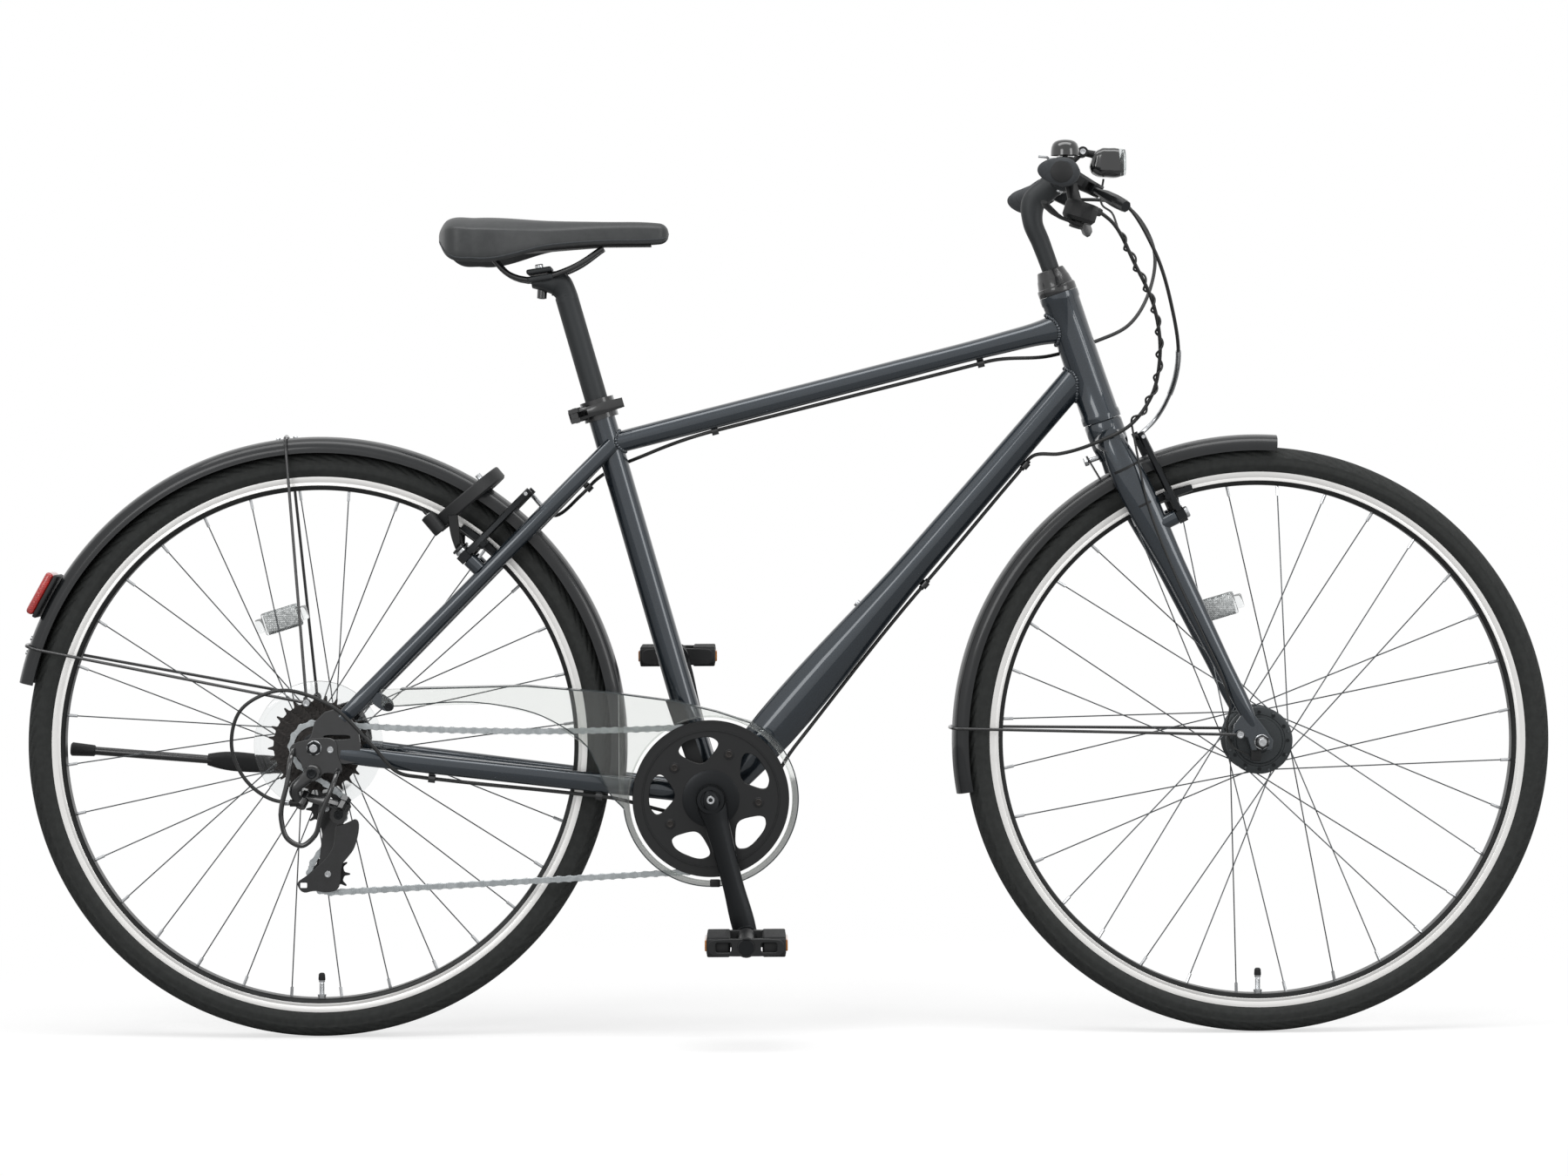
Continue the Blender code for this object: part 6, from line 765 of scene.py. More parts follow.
class Piece:
    """One named piece: skins with their finishes, made into a mesh that stays at the origin."""

    def __init__(self, name: str) -> None:
        """Starts an empty piece."""
        self.name = name
        self.skins: list[Skin] = []
        self.finishes: list[Finish] = []

    def add(self, finish: Finish, *skins: Skin) -> "Piece":
        """Adds skins that have one finish."""
        self.skins.extend(skins)
        self.finishes.extend([finish] * len(skins))
        return self

    def mesh(self, sharp: float) -> bpy.types.Mesh:
        """The mesh of all skins, seams welded and faces outwards, with edges above an angle kept sharp."""
        kinds = list(dict.fromkeys(self.finishes))
        sizes, corners, marks = [], [], []
        base = 0
        for skin, finish in zip(self.skins, self.finishes, strict=True):
            for faces in skin.faces:
                corners.append((faces + base).ravel())
                sizes.append(np.full(len(faces), faces.shape[1]))
                marks.append(np.full(len(faces), kinds.index(finish)))
            base += len(skin.places)
        places = np.vstack([skin.places for skin in self.skins])
        corners, sizes, marks = (np.concatenate(part) for part in (corners, sizes, marks))
        mesh = bpy.data.meshes.new(self.name)
        mesh.vertices.add(len(places))
        mesh.vertices.foreach_set("co", places.astype(np.float32).ravel())
        mesh.loops.add(len(corners))
        mesh.loops.foreach_set("vertex_index", corners.astype(np.int32))
        mesh.polygons.add(len(sizes))
        mesh.polygons.foreach_set("loop_start", np.concatenate([[0], np.cumsum(sizes)[:-1]]).astype(np.int32))
        mesh.polygons.foreach_set("material_index", marks.astype(np.int32))
        mesh.update(calc_edges=True)
        for finish in kinds:
            mesh.materials.append(finish.material())
        work = bmesh.new()
        work.from_mesh(mesh)
        bmesh.ops.remove_doubles(work, verts=work.verts, dist=1e-6)
        bmesh.ops.recalc_face_normals(work, faces=work.faces)
        work.to_mesh(mesh)
        work.free()
        mesh.shade_smooth()
        mesh.set_sharp_from_angle(angle=math.radians(sharp))
        return mesh

    def place(
        self,
        body: str,
        slot: str,
        nodes: tuple[str, ...] = (),
        sharp: float = 34.0,
        bend: tuple | None = None,
    ) -> bpy.types.Object:
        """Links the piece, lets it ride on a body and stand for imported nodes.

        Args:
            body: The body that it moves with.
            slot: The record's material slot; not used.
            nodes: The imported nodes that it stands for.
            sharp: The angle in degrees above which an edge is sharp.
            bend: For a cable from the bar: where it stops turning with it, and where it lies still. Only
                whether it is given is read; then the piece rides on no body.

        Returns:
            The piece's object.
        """
        obj = bpy.data.objects.new(self.name, self.mesh(sharp))
        bpy.context.scene.collection.objects.link(obj)
        if bend is None:
            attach(obj, body)
        else:
            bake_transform(obj)
        if nodes:
            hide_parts(*nodes)
        log.info("%s: %d faces", self.name, len(obj.data.polygons))
        return obj


def dressed(node: str, finish: Finish, edge: float = 0.0005) -> bpy.types.Object:
    """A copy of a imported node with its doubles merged, its flats joined and its edges broken.

    Args:
        node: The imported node.
        finish: Its finish.
        edge: The width of the broken edges.

    Returns:
        The copy's object.
    """
    mesh = frame["nodes"][node].data.copy()
    work = bmesh.new()
    work.from_mesh(mesh)
    bmesh.ops.remove_doubles(work, verts=work.verts, dist=1e-6)
    bmesh.ops.dissolve_limit(work, angle_limit=math.radians(1.0), verts=work.verts, edges=work.edges)
    bmesh.ops.recalc_face_normals(work, faces=work.faces)
    work.to_mesh(mesh)
    work.free()
    mesh.materials.clear()
    mesh.materials.append(finish.material())
    mesh.shade_smooth()
    mesh.set_sharp_from_angle(angle=math.radians(35))
    obj = bpy.data.objects.new(node + "_dressed", mesh)
    bpy.context.scene.collection.objects.link(obj)
    bevel = obj.modifiers.new("edges", "BEVEL")
    bevel.width = edge
    bevel.segments = 2
    bevel.limit_method = "ANGLE"
    bevel.angle_limit = math.radians(35)
    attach(obj, CARRIER[node])
    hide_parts(node)
    log.info("%s: %d faces", obj.name, len(mesh.polygons))
    return obj


# Camera and light


@dataclass(frozen=True)
class StageSizes:
    """The photograph's view: a long lens from the drive side, its soft light and the floor."""

    camera: tuple[float, float, float] = (-0.0295, -5.0, 0.6820)
    lens: float = 96.85
    shift: tuple[float, float] = (0.0167, -0.0829)
    roll: float = 0.31
    floor_radius: float = 4.0
    floor_gap: float = 0.0005
    floor_sides: int = 64
    floor_fade: tuple[float, float] = (0.75, 1.30)
    floor_grey: float = 0.5
    floor_glow: float = 0.62
    sky_light: float = 0.42
    lamps: tuple[tuple, ...] = (
        ("top_light", (0.0, -0.9, 3.2), (0.0, 0.0, 0.6), (4.2, 1.2), 62.0),
        ("front_light", (-1.6, -3.4, 1.7), (0.0, 0.0, 0.6), (1.3, 1.3), 22.0),
        ("side_light", (2.6, -2.2, 1.5), (0.3, 0.0, 0.7), (1.0, 1.4), 17.0),
    )


class Stage:
    """The camera, the white surroundings and the floor."""

    def __init__(self, sizes: StageSizes) -> None:
        """Keeps the stage's sizes."""
        self.sizes = sizes

    def camera(self) -> None:
        """A level camera that looks across the bicycle from its right."""
        data = bpy.data.cameras.new("camera")
        data.sensor_width = 36.0
        data.lens = self.sizes.lens
        data.shift_x, data.shift_y = self.sizes.shift
        data.clip_end = 100.0
        camera = bpy.data.objects.new("camera", data)
        camera.location = self.sizes.camera
        camera.rotation_euler = (math.radians(90), math.radians(self.sizes.roll), 0)
        bpy.context.scene.collection.objects.link(camera)
        bpy.context.scene.camera = camera

    def lamp(self, name: str, place: tuple, aim: tuple, size: tuple[float, float], power: float) -> None:
        """A soft rectangular light that faces a place."""
        data = bpy.data.lights.new(name, "AREA")
        data.shape = "RECTANGLE"
        data.size, data.size_y = size
        data.energy = power
        light = bpy.data.objects.new(name, data)
        light.location = place
        light.rotation_euler = (Vector(aim) - Vector(place)).to_track_quat("-Z", "Y").to_euler()
        bpy.context.scene.collection.objects.link(light)

    def floor_look(self) -> bpy.types.Material:
        """A pale floor that keeps a soft shadow near the wheels and runs out into plain white.

        Returns:
            The material: matt grey to the light, and to the camera the same with white added.
        """
        look = bpy.data.materials.new("pale_floor")
        look.use_nodes = True
        tree = look.node_tree
        tree.nodes.clear()
        path = add_node(tree, "ShaderNodeLightPath", {}, {})
        place = add_node(tree, "ShaderNodeTexCoord", {}, {})
        far = add_node(tree, "ShaderNodeVectorMath", {"operation": "LENGTH"}, {0: place.outputs["Object"]})
        near, out = self.sizes.floor_fade
        limits = {"Value": far.outputs["Value"], "From Min": near, "From Max": out}
        edge = add_node(tree, "ShaderNodeMapRange", {"interpolation_type": "SMOOTHSTEP"}, limits)
        grey = (self.sizes.floor_grey,) * 3 + (1,)
        matt = add_node(tree, "ShaderNodeBsdfDiffuse", {}, {"Color": grey})
        soft = add_node(tree, "ShaderNodeEmission", {}, {"Color": WHITE, "Strength": self.sizes.floor_glow})
        white = add_node(tree, "ShaderNodeEmission", {}, {"Color": WHITE, "Strength": 1.0})
        shaded = add_node(tree, "ShaderNodeAddShader", {}, {0: matt.outputs[0], 1: soft.outputs[0]})
        parts = {0: edge.outputs[0], 1: shaded.outputs[0], 2: white.outputs[0]}
        seen = add_node(tree, "ShaderNodeMixShader", {}, parts)
        parts = {0: path.outputs["Is Camera Ray"], 1: matt.outputs[0], 2: seen.outputs[0]}
        both = add_node(tree, "ShaderNodeMixShader", {}, parts)
        add_node(tree, "ShaderNodeOutputMaterial", {}, {"Surface": both.outputs[0]})
        return look

    def floor(self) -> None:
        """A round floor under the tyres, which isn't part of the bicycle."""
        sides = self.sizes.floor_sides
        rim = np.pad(circle(self.sizes.floor_radius, sides), ((0, 0), (0, 1)))
        mesh = bpy.data.meshes.new("pale_floor")
        mesh.from_pydata(rim.tolist(), [], [list(range(sides))])
        mesh.materials.append(self.floor_look())
        floor = bpy.data.objects.new("pale_floor", mesh)
        floor.location = (0.0, 0.0, -self.sizes.floor_gap)
        bpy.context.scene.collection.objects.link(floor)
        floor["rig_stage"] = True

    def surroundings(self) -> None:
        """A white world to the camera, in metal and through clear pieces, and soft grey light from it."""
        world = bpy.data.worlds.new("surroundings")
        bpy.context.scene.world = world
        world.use_nodes = True
        tree = world.node_tree
        tree.nodes.clear()
        path = add_node(tree, "ShaderNodeLightPath", {}, {})
        most = {"operation": "MAXIMUM"}
        rays = {0: path.outputs["Is Glossy Ray"], 1: path.outputs["Is Transmission Ray"]}
        shown = add_node(tree, "ShaderNodeMath", most, rays)
        seen = add_node(tree, "ShaderNodeMath", most, {0: path.outputs["Is Camera Ray"], 1: shown.outputs[0]})
        soft = add_node(tree, "ShaderNodeBackground", {}, {"Color": WHITE, "Strength": self.sizes.sky_light})
        white = add_node(tree, "ShaderNodeBackground", {}, {"Color": WHITE, "Strength": 1.0})
        parts = {0: seen.outputs[0], 1: soft.outputs[0], 2: white.outputs[0]}
        both = add_node(tree, "ShaderNodeMixShader", {}, parts)
        add_node(tree, "ShaderNodeOutputWorld", {}, {"Surface": both.outputs[0]})

    def build(self) -> None:
        """Sets the camera, the floor, the light and the view transform."""
        self.camera()
        self.floor()
        self.surroundings()
        for lamp in self.sizes.lamps:
            self.lamp(*lamp)
        bpy.context.scene.view_settings.view_transform = "Standard"


# Wheels


@dataclass(frozen=True)
class WheelSizes:
    """One wheel: where it turns, its spokes and flanges, its reflector, its tyre and its rim.

    Places across the tyre are angles in degrees from the crown. The tread ends at tread_edge, its
    sipes lie between sipe_limits, a ring runs at ring_angle, and each wall line has its height.
    """

    name: str
    centre: tuple[float, float, float]
    turn: float
    flange_radius: float
    left_flange: float
    right_flange: float
    track: Finish
    reflector_angle: float
    reflector_radius: float
    section_radius: float = 0.0165
    section_centre: float = 0.3285
    blocks: int = 116
    tyre_steps: int = 1392
    tread: float = 0.0010
    tread_edge: float = 76.0
    sipe_slant: float = 26.0
    sipe_limits: tuple[float, float] = (22.0, 68.0)
    ring_angle: float = 13.0
    wall_lines: tuple[tuple[float, float], ...] = ((101.0, 0.0004), (122.0, 0.0003))
    seat_radius: float = 0.3112
    seat_half: float = 0.0095
    rim_outer: float = 0.3170
    rim_inner: float = 0.3010
    spokes: int = 32


FRONT_WHEEL = WheelSizes(
    name="front",
    centre=tuple(FRONT_AXLE),
    turn=85.1,
    flange_radius=0.0395,
    left_flange=0.0270,
    right_flange=-0.0270,
    track=FRONT_TRACK,
    reflector_angle=106.3,
    reflector_radius=0.1627,
)
REAR_WHEEL = WheelSizes(
    name="rear",
    centre=tuple(REAR_AXLE),
    turn=83.2,
    flange_radius=0.0225,
    left_flange=0.0350,
    right_flange=-0.0185,
    track=REAR_TRACK,
    reflector_angle=106.9,
    reflector_radius=0.1545,
)


class Wheel:
    """Tyre, rim, valve and spokes of one wheel."""

    def __init__(self, sizes: WheelSizes) -> None:
        """Keeps the wheel's sizes."""
        self.sizes = sizes
        self.centre = np.array(sizes.centre)
        self.body = sizes.name + "_wheel"

    def tyre(self) -> None:
        """The tyre: a round section whose radius grows by the tread's height.

        The tread is cut by slanted sipes on its shoulders, by two rings near the crown, and a
        moulded line runs round each sidewall.
        """
        size = self.sizes
        around = np.arange(size.tyre_steps) * TAU / size.tyre_steps
        across = np.radians(np.linspace(-138, 138, 47))
        turn, lean = np.meshgrid(around, across, indexing="ij")
        edge = np.degrees(np.abs(lean))
        phase = (turn * size.blocks / TAU + edge / size.sipe_slant) % 1.0
        sipe = np.clip((0.19 - np.abs(phase - 0.5)) / 0.06, 0, 1)
        inner, outer = size.sipe_limits
        shoulder = np.clip((edge - inner) / 4, 0, 1) * np.clip((outer - edge) / 4, 0, 1)
        rings = np.exp(-(((edge - size.ring_angle) / 2.2) ** 2))
        tread = np.clip((size.tread_edge - edge) / 5, 0, 1)
        height = size.tread * tread * (1 - 0.9 * np.maximum(sipe * shoulder, rings))
        low, high = (high * np.exp(-(((edge - angle) / 2.4) ** 2)) for angle, high in size.wall_lines)
        height += low + high
        radius = size.section_radius + height
        out = size.section_centre + radius * np.cos(lean)
        side = radius * np.sin(lean)
        seat = np.full((size.tyre_steps, 1), size.seat_radius)
        width = np.full((size.tyre_steps, 1), size.seat_half)
        out = np.hstack([seat, out, seat])
        side = np.hstack([-width, side, width])
        spin = around[:, None]
        places = self.centre + np.stack([out * np.cos(spin), side, out * np.sin(spin)], -1)
        skin = Skin(places.reshape(-1, 3), [grid(*out.shape, True, True)])
        casing = Piece(size.name + "_tyre_casing").add(TYRE_RUBBER, skin)
        casing.place(self.body, "tyre_rubber", (size.name + "_tyre",), 28)

    def rim(self) -> None:
        """The rim: a black box section with a bright braking track on each side, and its valve."""
        outer, inner = self.sizes.rim_outer, self.sizes.rim_inner
        bed = [(outer - 0.0078, 0.0102), (outer, 0.0104), (outer, 0.0117), (inner + 0.0052, 0.0117)]
        bed += [(inner + 0.0012, 0.0104), (inner, 0.0086), (inner - 0.0003, 0.0)]
        bed += [(r, -y) for r, y in reversed(bed[:-1])]
        piece = Piece(self.sizes.name + "_rim_hoop")
        piece.add(RIM_BLACK, lathe(bed, self.centre, LEFT, 256, closed=True))
        for side in (1.0, -1.0):
            track = [(outer - 0.0002, 0.0112), (outer - 0.0003, 0.01195), (outer - 0.0066, 0.0120)]
            track += [(outer - 0.0070, 0.0118), (outer - 0.0074, 0.0120), (inner + 0.0056, 0.0120)]
            track += [(inner + 0.0053, 0.0118), (inner + 0.0060, 0.0112)]
            loop = [(r, y * side) for r, y in track]
            piece.add(self.sizes.track, lathe(loop, self.centre, LEFT, 256, closed=True))
        foot = self.centre - UP * (inner + 0.004)
        stem = [(0, 0), (0.0046, 0), (0.0046, 0.0058), (0.0050, 0.0060), (0.0050, 0.0082), (0.0030, 0.0084)]
        for step in range(14):
            stem += [(0.0031, 0.0090 + 0.0009 * step), (0.0028, 0.00945 + 0.0009 * step)]
        stem += [(0.0026, 0.0225), (0.0036, 0.0227), (0.0036, 0.0250), (0.0, 0.0250)]
        cap = [(0, 0.0250), (0.0040, 0.0250), (0.0042, 0.0262), (0.0038, 0.0320), (0.0024, 0.0336)]
        cap += [(0, 0.0340)]
        piece.add(PLATED_STEEL, lathe(stem, foot, UP, 24))
        piece.add(MATT_PLASTIC, lathe(cap, foot, UP, 24))
        piece.place(self.body, "rim_alloy", (self.sizes.name + "_rim",), 30)

    def spoke_ends(self) -> tuple[Array, Array]:
        """Where the spokes leave the hub's flanges and where they meet the rim."""
        size = self.sizes
        index = np.arange(size.spokes)
        angle = math.radians(size.turn) + TAU * index / size.spokes
        leading = np.where((index // 2) % 2, 1.0, -1.0)
        flange = np.where(index % 2, size.left_flange, size.right_flange)
        hub_angle = angle + leading * TAU * 3 / 16
        hub_radius = size.flange_radius - 0.0035
        aside = leading * 0.0012
        start = np.stack([hub_radius * np.cos(hub_angle), flange + aside, hub_radius * np.sin(hub_angle)], -1)
        reach = size.rim_inner - 0.0002
        side = np.sign(flange) * 0.0025 + aside
        end = np.stack([reach * np.cos(angle), side, reach * np.sin(angle)], -1)
        return self.centre + start, self.centre + end

    def lacing(self) -> list[tuple[Finish, Skin]]:
        """The spokes with their heads in the flanges, and the nipples at the rim."""
        start, end = self.spoke_ends()
        along = (start - end) / np.linalg.norm(start - end, axis=1)[:, None]
        out = np.sign(start[:, 1:2] - self.centre[1]) * LEFT
        return [
            (SPOKE_WIRE, rods(start, end, 0.00075, 8)),
            (SPOKE_WIRE, rods(start - out * 0.0030, start + out * 0.0032, 0.0015, 8)),
            (PLATED_STEEL, rods(end, end + along * 0.0115, 0.0018, 8)),
        ]

    def reflector(self) -> None:
        """A clear spoke reflector: a lens block between two clips on the spokes."""
        out = facing(math.radians(self.sizes.reflector_angle))
        along = np.cross(out, LEFT)
        middle = self.centre + out * self.sizes.reflector_radius
        piece = Piece(self.sizes.name + "_spoke_reflector")
        for side in (1.0, -1.0):
            lens = block((0.040, 0.0030, 0.022), middle + LEFT * side * 0.0060, along, LEFT, 0.0012)
            piece.add(WHITE_LENS, lens)
        piece.add(CLEAR_LENS, block((0.046, 0.0070, 0.027), middle, along, LEFT, 0.0025))
        for end in (-1.0, 1.0):
            clip = block((0.009, 0.0100, 0.017), middle + along * end * 0.0270, along, LEFT, 0.0022)
            piece.add(CLEAR_LENS, clip)
        piece.place(self.body, "clear_plastic")

    def hub(self) -> None:
        """The hub with its spokes, which each wheel has in its own form."""
        raise NotImplementedError

    def build(self) -> None:
        """Builds the whole wheel."""
        self.tyre()
        self.rim()
        self.hub()
        self.reflector()


class FrontWheel(Wheel):
    """The front wheel round its hub dynamo."""

    def hub(self) -> None:
        """The dynamo's drum: two flanges round a ribbed barrel, and a stepped end cover on each side."""
        flange = self.sizes.flange_radius
        half = [(0.0052, 0.0375), (0.0120, 0.0375), (0.0130, 0.0366), (0.0148, 0.0335), (0.0262, 0.0328)]
        half += [(0.0272, 0.0318), (0.0278, 0.0298), (0.0300, 0.0296), (0.0306, 0.0302), (0.0372, 0.0300)]
        half += [(0.0392, 0.0292), (flange, 0.0280), (flange, 0.0256), (0.0385, 0.0247)]
        half += [(0.0350, 0.0238), (0.0345, 0.0200)]
        for step in range(3):
            rib = ((0.0345, 0.0190), (0.0338, 0.0182), (0.0338, 0.0150), (0.0345, 0.0142))
            half += [(r, y - step * 0.0064) for r, y in rib]
        barrel = lathe(even_loop(half), self.centre, LEFT, 96, closed=True)
        piece = Piece("front_hub_dynamo").add(HUB_GREY, barrel)
        for finish, skin in self.lacing():
            piece.add(finish, skin)
        angle = np.arange(12) * TAU / 12
        ring = np.stack([np.cos(angle), np.zeros(12), np.sin(angle)], -1) * 0.0335 + self.centre
        for side in (LEFT, -LEFT):
            piece.add(BLACK_ALLOY, rods(ring + side * 0.0290, ring + side * 0.0312, 0.0021, 10))
        piece.place(self.body, "spoke_steel", ("front_hub",))


class RearWheel(Wheel):
    """The rear wheel with its clear spoke protector."""

    def hub(self) -> None:
        """The hub shell between its flanges, with the protector disc behind the sprockets."""
        flange = self.sizes.flange_radius
        loop = [(0.0052, 0.0530), (0.0105, 0.0530), (0.0128, 0.0385), (0.0215, 0.0376), (flange, 0.0366)]
        loop += [(flange, 0.0336), (0.0212, 0.0326), (0.0155, 0.0310), (0.0146, 0.0250)]
        loop += [(0.0146, -0.0090), (0.0155, -0.0150), (0.0212, -0.0160), (flange, -0.0170)]
        loop += [(flange, -0.0200), (0.0215, -0.0209), (0.0180, -0.0225), (0.0109, -0.0235)]
        loop += [(0.0109, -0.0528), (0.0052, -0.0528)]
        piece = Piece("rear_hub_shell").add(BLACK_ALLOY, lathe(loop, self.centre, LEFT, 72, closed=True))
        for finish, skin in self.lacing():
            piece.add(finish, skin)
        piece.place(self.body, "spoke_steel", ("rear_hub",))
        disc = [(0.0200, -0.0238), (0.0200, -0.0250), (0.0600, -0.0253), (0.0745, -0.0246), (0.0760, -0.0240)]
        disc += [(0.0758, -0.0232), (0.0740, -0.0236), (0.0600, -0.0243)]
        guard = lathe(disc, self.centre, LEFT, 96, closed=True)
        Piece("spoke_protector").add(CLEAR_LENS, guard).place(self.body, "clear_plastic")


# Frame

AXLE_SLOT = ((5.2, 0), (3.7, 3.7), (0, 5.3), (-3.7, 3.7), (-5.2, 0))
FACETS = ((0.45, 1.0), (0.92, 0.45), (1.0, -0.12), (0.80, -0.62), (0.40, -1.0))


def faceted(sizes: Array) -> Array:
    """The down tube's flat-sided sections, their corners cut twice."""
    half = np.array(FACETS) / 2
    other = (half * (-1.0, 1.0))[::-1]
    outline = eased_corners(np.vstack([half, other]), 0.16, 2)
    return outline[None] * np.asarray(sizes, float)[:, None, :2]


def add_boss(piece: Piece, foot: Array, out: Array, lengths: tuple[float, float, float]) -> None:
    """Adds a brake boss to a piece: its painted base, its pin and the bolt that holds the arm.

    Args:
        piece: The piece that gets the boss.
        foot: Where the boss stands on the tube.
        out: The pin's direction.
        lengths: The base inwards and outwards from the foot, and the pin.
    """
    inwards, outwards, pin = lengths
    piece.add(FRAME_PAINT, rod(foot - out * inwards, foot + out * outwards, 0.0085))
    piece.add(BLACK_ALLOY, rod(foot, foot + out * pin, 0.0049))
    piece.add(PLATED_STEEL, socket_bolt(foot + out * (pin - 0.0007), out, 0.0068, 0.0040))


@dataclass(frozen=True)
class FrameSizes:
    """The welded frame's tubes."""

    head_start: float = 0.416
    head_length: float = 0.159
    head_radius: float = 0.0225
    seat_radius: float = 0.0159
    seat_length: float = 0.483
    shell_radius: float = 0.0205
    shell_width: float = 0.068
    bead: float = 0.0021
    ripple: float = 0.0032
    bottle_bosses: tuple[float, float] = (0.219, 0.281)
    down_guides: tuple[tuple[float, float], ...] = ((0.535, 0.0215), (0.350, 0.0235))
    top_guides: tuple[tuple[float, float], ...] = ((0.450, 0.0170), (0.125, 0.0155))
    chain_stay_guides: tuple[tuple[float, ...], ...] = ((0.331, 0.2850, -0.0363), (0.136, 0.3085, -0.0570))
    seat_stay_guide: tuple[float, float, float] = (0.318, 0.6480, 0.0335)


